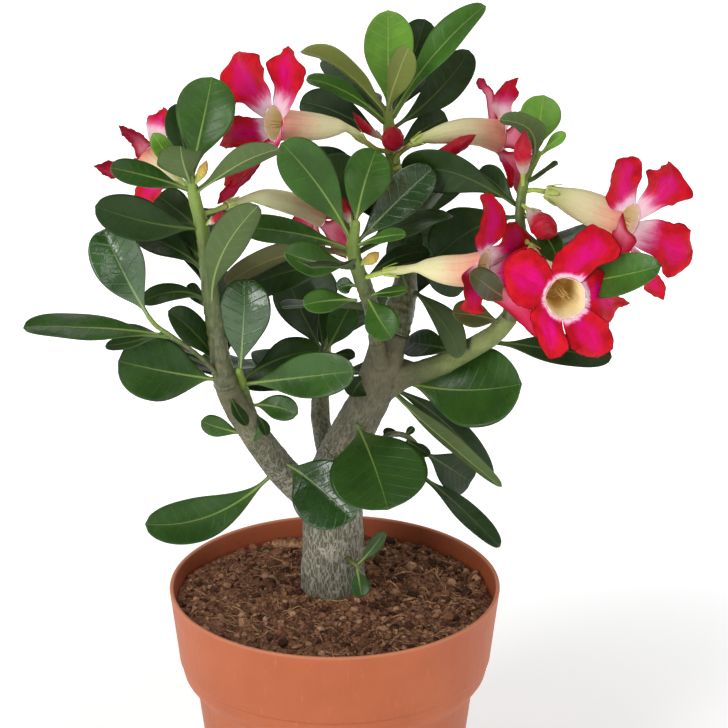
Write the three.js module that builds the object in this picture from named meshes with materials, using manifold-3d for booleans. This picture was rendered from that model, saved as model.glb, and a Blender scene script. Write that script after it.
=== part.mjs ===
// Potted desert rose (adenium): a plastic pot filled with potting soil and one
// branching plant with single leaves, leafy green shoots, open flowers and buds.
// Millimetres, +Z up. The origin is the centre of the pot's flat underside.
import * as THREE from 'three';
import { mergeVertices } from 'three/addons/utils/BufferGeometryUtils.js';
import Module from 'manifold-3d';

const wasm = await Module();
wasm.setup();

// ---- driving dimensions ----
const POT_HEIGHT = 115;          // underside to rim
const RIM_R = 65;                // outer radius at the rim
const BAND_BOTTOM_Z = 85;        // lower edge of the rim band
const BAND_BOTTOM_R = 61.2;
const SHOULDER_Z = 72;           // lower end of the curved shoulder
const SHOULDER_R = 54.6;
const BASE_R = 45.8;             // outer radius at the underside
const WALL = 1.6;
const FLOOR_T = 2.4;             // thickness of the pot's floor
const DRAIN_R = 3.5;             // drain holes in the floor
const DRAIN_RING_R = 28;
const DRAIN_COUNT = 4;
const SOIL_Z = 108;              // mean level of the soil
const SOIL_BUMP = 1.3;           // height of its bumps
const GAP = 0.3;                 // clearance between neighbouring pieces
const LEAF_T = 0.9;              // blade thickness
const PETAL_T = 0.9;
const TUBE_WALL = 1.1;           // wall of a flower's tube
const TRUNK_FOOT_Z = 97;         // how deep the trunk stands in the soil

const COLOUR = {
  pot: '#c8704f', soil: '#5a3826', wood: '#857c66', shoot: '#6f8a3a', corolla: '#cf1f4a',
  bud: '#c32038', L: '#6f9e46', M: '#46802f', N: '#3b6b2b', D: '#2a4a20', G: '#3f7038', O: '#7c8a5c', R: '#5d5130',
};

// Stem centre lines as [x, y, z, radius]: the grey woody part, then the green growth.
const STEMS = {
  T: { wood: [[-0.8,8.0,103.85,12.7],[-0.77,8.0,112.78,12.5],[-0.74,8.0,121.71,12.23],[-0.72,8.0,130.64,11.97],[-0.69,8.0,139.57,11.83],[-0.72,7.96,148.5,11.43],[-0.22,8.27,157.41,10.41],[0.95,9.0,166.23,8.21]],
     green: [] },
  S: { wood: [[-1.03,11.0,162.36,5.09],[-3.81,18.26,167.69,4.13],[-5.39,25.38,173.63,3.76],[-5.88,31.22,181.01,3.58]],
     green: [[-5.88,31.22,181.01,3.58],[-4.93,39.29,190.37,3.08],[-3.19,48.0,198.93,1.79]] },
  M: { wood: [[-0.24,9.0,159.82,8.61],[2.97,8.99,168.51,8.39],[6.99,8.08,176.82,8.19],[10.82,6.34,185.08,8.0],[14.42,4.47,193.42,7.64],[17.34,3.18,202.11,7.39],[19.67,2.74,211.07,7.11],[22.26,4.31,219.78,6.57]],
     green: [[22.26,4.31,219.78,6.57],[25.35,7.54,228.36,5.66],[27.32,11.03,237.14,4.56],[27.38,14.59,246.11,3.72],[26.19,17.7,255.2,3.31],[24.97,20.2,264.46,3.13],[23.76,22.34,273.82,2.92],[22.55,24.04,283.27,2.67],[21.26,24.85,292.82,2.37],[20.65,26.0,302.4,1.72]] },
  R: { wood: [[19.23,4.0,196.71,5.41],[26.19,1.7,202.21,4.76],[33.99,-1.35,205.97,4.39],[41.65,-4.11,210.21,4.21],[48.52,-7.14,215.5,4.05],[55.3,-10.17,220.9,3.9],[61.73,-13.14,226.74,3.71],[66.66,-15.44,234.04,3.45]],
     green: [[66.66,-15.44,234.04,3.35],[69.27,-15.92,244.48,2.62],[70.28,-14.76,255.18,2.21],[70.42,-12.66,265.78,2.0],[70.09,-10.35,276.33,1.85],[72.02,-8.31,286.71,1.75],[76.5,-8.0,296.51,1.34]] },
  L: { wood: [[-4.98,7.0,145.69,7.06],[-10.59,3.82,152.3,6.55],[-16.03,0.42,158.96,6.19],[-20.66,-3.44,165.95,5.94],[-24.5,-7.67,173.21,5.73],[-28.25,-11.68,180.65,5.49],[-31.95,-15.26,188.32,5.21],[-35.48,-18.96,196.02,4.94],[-38.71,-22.81,203.77,4.68],[-40.8,-27.1,211.67,4.45]],
     green: [[-40.8,-27.1,211.67,4.45],[-42.2,-30.07,221.13,3.87],[-43.34,-31.91,230.93,3.46],[-44.49,-33.44,240.79,3.32],[-45.53,-34.73,250.68,3.14],[-46.42,-35.74,260.63,2.9],[-47.19,-37.35,270.5,2.65],[-48.56,-38.39,280.38,2.47],[-50.63,-39.03,290.18,2.35],[-52.05,-41.0,299.89,1.68]] },
  A: { wood: [],
     green: [[-27.62,-14.0,182.63,1.92],[-29.49,-14.8,188.82,1.81],[-31.2,-16.22,194.93,1.75],[-32.68,-18.44,200.87,1.75],[-34.02,-21.0,206.71,1.76],[-35.19,-24.03,212.36,1.72],[-35.95,-28.0,217.46,1.51]] },
  B: { wood: [],
     green: [[-41.95,-30.5,213.61,1.06],[-44.77,-33.16,219.13,0.94],[-48.02,-35.87,224.37,0.86],[-51.92,-38.63,229.12,0.82],[-56.27,-41.01,233.69,0.8],[-60.86,-43.22,238.1,0.81],[-65.24,-45.88,242.49,0.91],[-68.09,-49.0,247.67,0.87]] },
  C: { wood: [[19.22,3.0,201.31,3.09],[18.41,-1.8,208.29,2.96],[17.23,-6.2,215.07,2.87],[16.07,-9.69,221.84,2.83]],
     green: [[16.07,-9.69,221.84,2.83],[15.67,-13.39,230.69,2.85],[14.14,-16.89,238.99,2.97],[11.88,-19.96,247.46,2.97],[8.88,-22.29,256.79,2.7],[7.4,-24.29,265.93,2.4],[8.53,-26.0,275.3,1.67]] },
  K: { wood: [],
     green: [[19.67,5.0,175.63,1.28],[23.59,9.38,175.01,1.17],[27.93,13.16,172.52,1.08],[31.49,15.25,168.62,1.03],[33.88,16.05,163.99,1.04],[34.7,16.01,158.86,0.99],[33.92,15.0,154.14,0.78]] },
  P: { wood: [],
     green: [[4.03,2.0,125.95,1.06],[5.96,-5.84,127.86,0.88],[8.78,-13.5,128.97,0.61]] }
};

// Leaves: [name, node, stem, base, bend point, tip, width, face normal, tone]
const LEAVES = [
  ["top_1","leaf_top_1","M",[20.74,26.81,300.97],[20.69,38.82,317.64],[20.65,39.82,337.87],19.3,[0.133,-0.935,0.33],"L"],
  ["top_2","shoot_top","M",[20.94,25.11,302.53],[22.85,19.7,315.66],[28.39,13.4,331.12],11.3,[0.583,0.794,0.173],"O"],
  ["top_3","shoot_top","M",[21.22,26.54,299.17],[29.22,46.22,312.44],[35.02,54.89,329.63],16.1,[0.127,-0.754,0.644],"D"],
  ["top_4","leaf_top_4","M",[21.92,25.27,298.3],[37.83,26.82,328.04],[57.58,28.22,343.0],15.3,[-0.661,-0.5,0.56],"M"],
  ["top_5","leaf_top_5","M",[22.08,25.71,294.73],[42.08,40.8,303.91],[51.82,44.6,320.4],15.1,[0.329,-0.901,0.282],"D"],
  ["top_6","leaf_top_6","M",[19.92,25.32,301.89],[5.47,17.52,325.47],[-11.7,9.12,331.69],15.0,[0.276,0.691,0.668],"O"],
  ["top_7","shoot_top","M",[19.71,24.97,297.06],[3.34,23.17,314.53],[-10.46,21.07,316.01],9.1,[0.51,-0.48,0.714],"M"],
  ["top_8","shoot_top","M",[19.82,25.98,298.1],[8.06,34.52,313.62],[-4.63,43.62,316.7],11.8,[0.088,-0.662,0.744],"D"],
  ["top_9","shoot_top","M",[20.81,25.63,289.09],[3.0,44.06,297.15],[-13.33,51.5,297.11],14.1,[-0.376,-0.688,0.621],"D"],
  ["top_10","shoot_top","M",[23.38,25.11,286.31],[34.33,32.7,293.49],[43.51,41.0,294.52],10.8,[0.382,-0.758,0.529],"D"],
  ["right_1","leaf_right_1","R",[76.27,-7.23,296.65],[76.96,1.6,304.47],[78.88,3.2,315.96],15.4,[-0.026,-0.878,0.478],"L"],
  ["right_2","shoot_right","R",[77.22,-7.96,296.11],[82.21,-8.0,300.85],[86.79,-8.0,304.78],5.5,[-0.525,-0.626,0.577],"L"],
  ["right_3","shoot_right","R",[73.98,-8.71,293.27],[79.98,-12.13,310.7],[61.8,-16.33,313.1],12.2,[0.223,0.856,0.466],"O"],
  ["right_4","shoot_right","R",[72.73,-9.21,285.91],[79.19,-12.58,291.59],[83.57,-16.78,296.03],4.5,[-0.729,-0.153,0.667],"D"],
  ["right_5","leaf_right_5","R",[68.72,-9.99,276.89],[43.79,-1.61,293.09],[25.8,-1.12,286.95],18.2,[-0.217,-0.974,-0.068],"D"],
  ["right_6","shoot_right","R",[68.9,-9.5,276.75],[61.52,-3.07,283.06],[54.55,4.06,285.52],11.3,[-0.356,-0.743,0.567],"D"],
  ["right_7","leaf_right_7","R",[69.16,-10.11,272.36],[53.98,9.3,264.7],[39.14,13.85,246.68],22.1,[-0.61,-0.792,-0.026],"D"],
  ["right_8","shoot_right","R",[71.2,-13.09,269.37],[73.71,-16.69,263.67],[80.42,-27.13,260.24],6.6,[0.274,-0.392,0.878],"R"],
  ["right_9","shoot_right","R",[71.38,-11.47,273.85],[82.44,-17.15,266.44],[83.12,-32.16,262.55],9.0,[-0.446,-0.61,0.655],"N"],
  ["right_10","leaf_right_10","R",[71.72,-17.0,246.31],[96.31,-66.0,266.89],[118.52,-71.0,275.78],15.5,[-0.794,-0.5,0.345],"M"],
  ["right_11","shoot_right","R",[67.25,-18.0,241.04],[58.5,-50.0,257.95],[50.2,-55.0,267.33],10.5,[0.833,-0.519,-0.191],"R"],
  ["right_12","shoot_right","R",[63.38,-15.5,231.48],[54.61,-20.33,237.11],[44.49,-25.93,239.73],10.8,[0.574,-0.591,0.567],"R"],
  ["right_13","leaf_right_13","R",[59.85,-11.19,222.03],[82.19,-12.95,219.47],[105.73,-14.35,217.16],14.9,[0.041,-0.619,0.785],"D"],
  ["right_14","leaf_right_14","R",[46.63,-7.61,216.72],[37.61,-8.35,219.44],[27.41,16.37,210.46],12.3,[-0.663,-0.361,0.656],"D"],
  ["right_15","leaf_right_15","R",[26.91,2.52,199.62],[49.72,1.26,194.09],[71.58,-17.29,207.27],31.7,[-0.418,-0.741,0.525],"N"],
  ["mid_1","leaf_mid_1","C",[8.12,-24.55,273.81],[10.2,-22.26,287.75],[15.97,-10.07,298.8],17.5,[0.169,-0.875,0.454],"M"],
  ["mid_2","leaf_mid_2","C",[6.29,-25.0,268.98],[-4.75,-27.0,292.97],[-19.03,-27.0,307.4],18.8,[0.363,-0.912,0.192],"G"],
  ["mid_3","leaf_mid_3","C",[6.06,-23.83,264.16],[-14.38,-23.09,272.24],[-34.88,-27.44,274.25],12.9,[0.242,-0.586,0.774],"N"],
  ["mid_4","leaf_mid_4","C",[7.01,-23.51,258.63],[-5.23,-30.57,259.95],[-18.02,-38.27,268.82],12.7,[0.582,-0.685,0.438],"M"],
  ["mid_5","leaf_mid_5","C",[8.35,-23.47,266.22],[20.85,-14.52,277.83],[37.38,-4.72,289.81],15.7,[0.159,-0.859,0.487],"G"],
  ["mid_6","shoot_middle","C",[8.55,-24.87,266.01],[18.72,-30.62,272.86],[26.98,-36.92,275.01],5.9,[-0.612,-0.452,0.649],"M"],
  ["mid_7","shoot_middle","C",[9.07,-18.97,242.14],[-1.61,-24.7,245.08],[-11.26,-31.0,244.95],9.5,[0.489,-0.708,0.51],"M"],
  ["mid_8","shoot_middle","C",[12.63,-20.0,244.25],[16.37,-28.0,238.94],[21.96,-34.0,232.88],13.0,[-0.259,-0.707,0.658],"M"],
  ["mid_9","leaf_mid_9","M",[29.41,9.17,235.82],[42.99,-1.87,229.59],[48.28,-17.18,218.32],11.8,[0.615,0.692,-0.379],"D"],
  ["mid_10","shoot_middle","C",[7.3,-21.79,256.59],[-14.46,-13.9,255.6],[-33.3,-5.5,241.85],15.3,[-0.462,-0.795,0.393],"D"],
  ["mid_11","shoot_middle","C",[6.3,-23.23,262.11],[-17.1,-18.69,267.02],[-40.55,-13.79,246.69],12.8,[-0.0,0.853,0.523],"R"],
  ["mid_12","shoot_middle","C",[8.32,-20.97,248.57],[4.76,-23.04,250.87],[1.4,-25.68,249.28],6.4,[0.548,-0.747,0.376],"G"],
  ["mid_13","shoot_top","M",[27.63,18.72,254.35],[34.26,23.11,249.77],[41.0,28.71,239.39],13.1,[0.505,-0.855,-0.12],"D"],
  ["mid_14","shoot_top","M",[29.45,14.82,244.45],[38.86,18.2,242.15],[49.49,22.4,229.35],13.1,[0.409,-0.909,0.086],"D"],
  ["back_1","shoot_back","S",[-4.97,42.33,195.78],[-14.86,40.28,215.63],[-19.78,37.48,232.71],17.9,[0.43,-0.901,0.054],"D"],
  ["back_2","shoot_back","S",[-3.41,42.72,196.41],[1.85,39.5,207.89],[6.8,35.3,220.12],11.8,[-0.267,-0.946,-0.181],"N"],
  ["back_3","shoot_back","S",[-4.83,43.8,196.91],[-5.55,48.52,203.43],[-7.55,52.72,210.73],11.9,[-0.02,-0.842,0.539],"D"],
  ["back_4","shoot_back","S",[-3.15,40.96,193.88],[3.01,38.23,197.56],[7.96,34.66,197.1],5.5,[-0.49,-0.498,0.715],"D"],
  ["back_5","leaf_back_5","M",[13.9,1.29,203.19],[7.65,-1.05,200.28],[6.89,-5.26,196.84],10.0,[0.201,-0.784,0.587],"D"],
  ["left_1","leaf_left_1","L",[-43.57,-28.53,213.77],[-61.28,-33.79,218.23],[-80.4,-37.36,224.97],24.9,[0.33,-0.848,0.416],"N"],
  ["left_2","leaf_left_2","A",[-33.68,-22.61,209.49],[-12.56,-31.45,215.84],[8.14,-40.55,222.25],17.4,[-0.459,-0.808,0.37],"N"],
  ["left_3","leaf_left_3","A",[-35.24,-27.0,217.05],[-33.2,-36.0,238.91],[-32.95,-26.0,253.41],19.4,[0.1,-0.995,0.021],"G"],
  ["left_4","shoot_left","L",[-43.47,-27.92,218.71],[-49.7,-26.63,232.13],[-61.44,-35.37,244.26],12.0,[0.638,-0.734,0.235],"D"],
  ["left_5","twig_upper_left","A",[-34.2,-23.18,211.86],[-19.54,-18.6,220.54],[-5.21,-13.7,219.77],13.4,[0.009,-0.658,0.753],"D"],
  ["left_6","twig_upper_left","A",[-31.24,-17.89,198.67],[-22.66,-22.43,201.61],[-13.49,-27.33,199.16],9.9,[-0.416,-0.756,0.505],"N"],
  ["left_7","shoot_left","L",[-39.35,-27.34,207.1],[-37.01,-30.79,201.87],[-32.55,-36.39,198.11],5.2,[0.168,-0.629,0.759],"D"],
  ["left_8","twig_upper_left","A",[-30.52,-16.89,194.86],[-26.03,-20.11,192.35],[-25.79,-24.01,188.64],4.3,[0.068,-0.631,0.773],"D"],
  ["left_9","sprout_branch","L",[-33.8,-14.82,185.47],[-45.14,-19.47,190.2],[-50.4,-24.37,195.0],8.0,[0.565,-0.806,0.178],"M"],
  ["left_10","sprout_branch","L",[-31.68,-17.08,185.44],[-31.89,-17.81,185.33],[-27.75,-21.04,190.26],5.7,[-0.764,-0.638,0.099],"L"],
  ["left_11","leaf_left_11","L",[-23.56,-4.88,164.85],[-46.06,-13.01,143.73],[-72.75,-22.11,150.92],17.4,[0.175,-0.871,0.459],"N"],
  ["left_12","leaf_left_12","B",[-60.05,-42.4,236.55],[-87.39,-46.07,242.93],[-114.26,-49.57,243.14],12.7,[0.169,-0.492,0.854],"N"],
  ["left_13","twig_far_left","B",[-62.5,-43.71,238.94],[-73.88,-40.4,233.05],[-85.14,-36.9,230.83],6.0,[-0.424,-0.598,0.68],"D"],
  ["left_14","leaf_left_14","B",[-67.79,-48.0,246.88],[-76.93,-54.0,266.17],[-83.93,-42.0,279.25],19.4,[0.08,-0.972,0.22],"G"],
  ["left_15","shoot_left","L",[-47.0,-34.9,248.23],[-58.44,-38.68,256.92],[-70.57,-42.88,250.42],8.2,[0.283,-0.641,0.713],"D"],
  ["left_16","shoot_left","L",[-46.22,-32.73,243.88],[-51.6,-29.04,247.19],[-53.61,-24.21,251.12],5.2,[-0.207,-0.731,0.651],"D"],
  ["left_17","leaf_left_17","L",[-51.71,-40.18,300.15],[-47.48,-30.0,315.21],[-44.03,-27.0,332.87],21.6,[0.052,-0.93,0.363],"M"],
  ["left_18","shoot_left","L",[-51.99,-39.46,298.06],[-55.05,-27.56,307.98],[-57.8,-25.82,322.1],11.0,[0.026,-0.867,0.498],"D"],
  ["left_19","shoot_left","L",[-51.85,-41.23,296.59],[-54.45,-53.17,308.42],[-55.19,-47.01,313.16],18.1,[-0.326,0.911,0.252],"O"],
  ["left_20","shoot_left","L",[-50.04,-39.88,292.8],[-33.85,-52.23,310.77],[-18.88,-65.16,318.69],11.8,[0.153,0.792,0.59],"O"],
  ["left_21","shoot_left","L",[-52.89,-40.67,298.55],[-60.53,-43.47,308.29],[-64.91,-46.27,317.88],7.3,[0.331,-0.941,-0.067],"L"],
  ["left_22","shoot_left","L",[-52.46,-39.83,293.5],[-66.73,-45.78,301.59],[-80.41,-52.08,306.5],10.6,[0.533,-0.677,0.507],"N"],
  ["left_23","leaf_left_23","L",[-49.51,-38.71,278.26],[-66.33,-44.57,280.78],[-86.32,-50.87,291.45],16.2,[0.401,-0.855,0.33],"D"],
  ["left_24","shoot_left","L",[-49.01,-37.21,277.15],[-57.22,-30.55,282.48],[-64.94,-22.92,285.23],12.8,[-0.23,-0.661,0.715],"D"],
  ["left_25","shoot_left","L",[-48.03,-35.56,260.94],[-59.98,-35.35,271.86],[-72.95,-25.05,270.59],11.7,[0.008,-0.666,0.746],"D"],
  ["left_26","shoot_left","L",[-47.85,-35.16,264.51],[-54.0,-29.92,268.04],[-59.97,-23.6,272.03],10.4,[-0.304,-0.723,0.621],"D"],
  ["left_27","leaf_left_27","L",[-44.91,-36.18,248.29],[-45.28,-47.91,271.87],[-27.05,-50.78,291.8],14.6,[0.018,0.95,0.311],"O"],
  ["low_1","leaf_low_1","L",[-18.61,-8.5,170.13],[-6.09,-24.0,169.47],[7.3,-33.0,157.63],28.5,[-0.343,-0.688,0.639],"G"],
  ["low_2","leaf_low_2","M",[8.41,-1.5,183.93],[15.7,-24.0,177.83],[20.62,-37.0,163.65],38.0,[-0.023,-0.502,0.865],"N"],
  ["low_3","leaf_low_3","M",[20.76,2.7,198.09],[37.0,-2.0,182.46],[64.95,-7.5,159.95],9.2,[0.421,0.871,0.254],"O"],
  ["low_4","leaf_low_4","M",[20.78,4.5,197.34],[43.02,10.0,184.91],[61.79,13.0,154.6],10.5,[0.369,-0.913,0.172],"D"],
  ["low_5","twig_right","K",[35.07,16.5,164.22],[45.59,21.33,155.05],[54.05,29.0,145.71],17.0,[0.584,-0.81,0.051],"D"],
  ["low_6","twig_right","K",[33.94,16.0,154.13],[47.44,17.0,143.3],[65.38,14.0,124.23],9.8,[0.423,-0.759,0.495],"D"],
  ["low_7","twig_right","K",[28.09,14.58,170.08],[32.63,11.91,167.94],[37.28,8.41,166.06],4.6,[-0.083,-0.628,0.774],"D"],
  ["low_8","twig_right","K",[26.79,14.72,171.58],[22.64,13.23,173.98],[18.93,14.46,174.09],3.6,[0.199,-0.821,0.536],"D"],
  ["low_9","twig_right","K",[27.46,15.54,171.22],[29.14,16.63,172.72],[31.11,18.03,174.25],3.2,[0.006,-0.778,0.629],"N"],
  ["sprout_1","sprout_base","P",[9.09,-13.33,129.4],[14.22,-13.5,134.77],[19.64,-13.5,143.96],5.5,[-0.354,-0.902,0.246],"N"],
  ["sprout_2","sprout_base","P",[8.72,-13.55,128.42],[9.75,-17.0,123.76],[10.72,-20.5,118.99],7.8,[-0.03,-0.808,0.589],"N"],
  ["x_S_0","shoot_back","S",[-3.59,36.44,187.54],[15.9,33.89,194.02],[35.38,31.35,191.59],17.9,[-0.103,0.001,0.995],"D"],
  ["x_M_1","shoot_top","M",[27.53,18.82,254.31],[38.14,35.09,268.37],[48.76,51.36,273.87],21.2,[0.089,-0.555,0.827],"D"],
  ["x_S_2","shoot_back","S",[-2.54,47.06,197.4],[9.87,65.11,202.04],[22.28,83.16,203.02],18.8,[-0.123,-0.07,0.99],"D"],
  ["x_S_3","shoot_back","S",[-7.2,35.66,187.12],[-30.26,29.68,195.54],[-53.32,23.7,197.95],23.8,[0.185,0.165,0.969],"D"],
  ["x_S_4","shoot_back","S",[-5.93,38.02,191.05],[-17.98,21.92,199.34],[-30.03,5.83,205.0],19.6,[0.387,0.107,0.916],"D"],
  ["x_L_5","shoot_left","L",[-45.76,-33.27,253.07],[-46.59,-12.75,264.6],[-47.43,7.76,269.25],20.6,[0.123,-0.36,0.925],"D"],
  ["x_M_6","shoot_top","M",[22.11,6.33,228.52],[1.13,-0.96,234.13],[-19.86,-8.25,234.88],20.2,[0.051,0.273,0.961],"D"],
  ["x_M_7","shoot_top","M",[25.27,18.93,253.99],[14.01,36.29,261.76],[2.75,53.64,265.33],18.7,[0.049,-0.282,0.958],"D"],
  ["x_S_8","shoot_back","S",[-7.81,32.19,181.87],[-27.07,37.39,186.04],[-46.34,42.59,187.71],18.1,[0.095,-0.194,0.976],"D"],
  ["x_M_9","shoot_top","M",[24.62,20.47,259.54],[12.87,38.87,268.25],[1.12,57.26,271.01],22.9,[0.137,-0.214,0.967],"D"],
  ["x_R_10","shoot_right","R",[71.56,-13.8,254.75],[86.34,-1.62,259.5],[101.12,10.56,261.92],19.0,[-0.303,0.089,0.949],"D"],
  ["x_M_11","shoot_top","M",[23.34,20.26,263.65],[6.79,25.22,278.06],[-9.76,30.18,285.22],18.1,[0.543,-0.015,0.84],"D"],
  ["x_M_12","shoot_top","M",[27.86,16.72,254.98],[39.47,13.58,273.5],[51.07,10.44,284.02],19.4,[-0.764,0.114,0.635],"D"],
  ["x_L_13","shoot_left","L",[-41.76,-27.74,220.51],[-38.78,-7.84,228.06],[-35.81,12.06,230.72],19.9,[-0.431,-0.163,0.887],"D"],
  ["x_M_14","shoot_top","M",[24.49,9.44,224.0],[32.57,32.88,237.73],[40.66,56.32,244.5],25.7,[0.093,-0.426,0.9],"D"],
  ["x_C_15","shoot_middle","C",[7.01,-22.9,265.39],[2.58,-9.41,280.79],[-1.84,4.08,292.19],19.1,[-0.016,-0.707,0.707],"D"],
  ["x_S_16","shoot_back","S",[-4.75,45.99,196.92],[-9.6,65.59,210.41],[-14.45,85.19,219.46],23.2,[0.166,-0.46,0.872],"D"],
  ["x_R_17","shoot_right","R",[70.46,-14.91,243.01],[86.56,-2.95,247.63],[102.65,9.01,247.53],18.6,[-0.195,0.077,0.978],"D"],
  ["x_A_18","twig_upper_left","A",[-35.7,-22.52,210.56],[-52.36,-15.34,213.67],[-69.02,-8.16,215.04],17.2,[0.164,0.075,0.984],"D"],
  ["x_R_19","shoot_right","R",[67.59,-15.78,244.97],[47.82,-14.16,252.71],[28.06,-12.55,252.13],17.3,[0.178,-0.003,0.984],"D"],
  ["x_M_20","shoot_top","M",[21.07,26.6,299.15],[28.01,51.01,305.28],[34.95,75.42,307.24],24.8,[0.021,-0.169,0.985],"D"],
  ["x_C_21","shoot_middle","C",[8.83,-22.95,262.57],[26.43,-13.43,270.5],[44.03,-3.91,271.03],20.6,[-0.176,-0.109,0.978],"D"],
  ["x_L_22","shoot_left","L",[-42.4,-28.89,225.38],[-40.13,-7.42,236.0],[-37.87,14.04,241.06],21.8,[-0.053,-0.338,0.94],"D"],
  ["x_L_23","shoot_left","L",[-51.66,-39.46,298.09],[-47.48,-15.12,309.78],[-43.3,9.22,310.45],21.9,[-0.373,-0.168,0.912],"D"],
  ["x_L_24","shoot_left","L",[-43.78,-28.3,218.58],[-64.53,-16.28,224.54],[-85.27,-4.26,224.93],21.5,[0.252,0.183,0.95],"D"],
  ["x_L_25","shoot_left","L",[-46.65,-33.67,255.14],[-55.29,-17.95,269.16],[-63.92,-2.24,274.01],17.5,[-0.096,-0.551,0.829],"D"],
  ["x_M_26","shoot_top","M",[20.27,26.53,299.13],[8.79,50.03,303.28],[-2.69,73.54,304.38],23.8,[0.577,0.194,0.793],"D"],
  ["x_L_27","shoot_left","L",[-46.1,-33.11,250.81],[-54.77,-10.09,261.41],[-63.44,12.93,263.22],22.8,[0.372,-0.109,0.922],"D"],
  ["x_C_28","shoot_middle","C",[8.06,-23.94,257.48],[0.39,-44.57,266.44],[-7.28,-65.19,273.09],19.9,[0.052,0.336,0.94],"D"],
  ["x_C_30","shoot_middle","C",[11.12,-20.0,249.49],[22.81,-10.0,258.95],[36.56,0.0,254.37],8.5,[0.29,-0.559,0.777],"D"],
  ["x_M_31","shoot_top","M",[27.96,6.0,237.38],[22.91,1.0,249.93],[30.13,6.0,264.29],13.5,[0.042,-0.999,-0.003],"D"],
  ["x_C_32","shoot_middle","C",[13.0,-20.0,244.25],[19.74,-24.0,247.02],[27.94,-27.0,249.39],4.8,[-0.495,-0.583,0.644],"M"]
];

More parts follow.
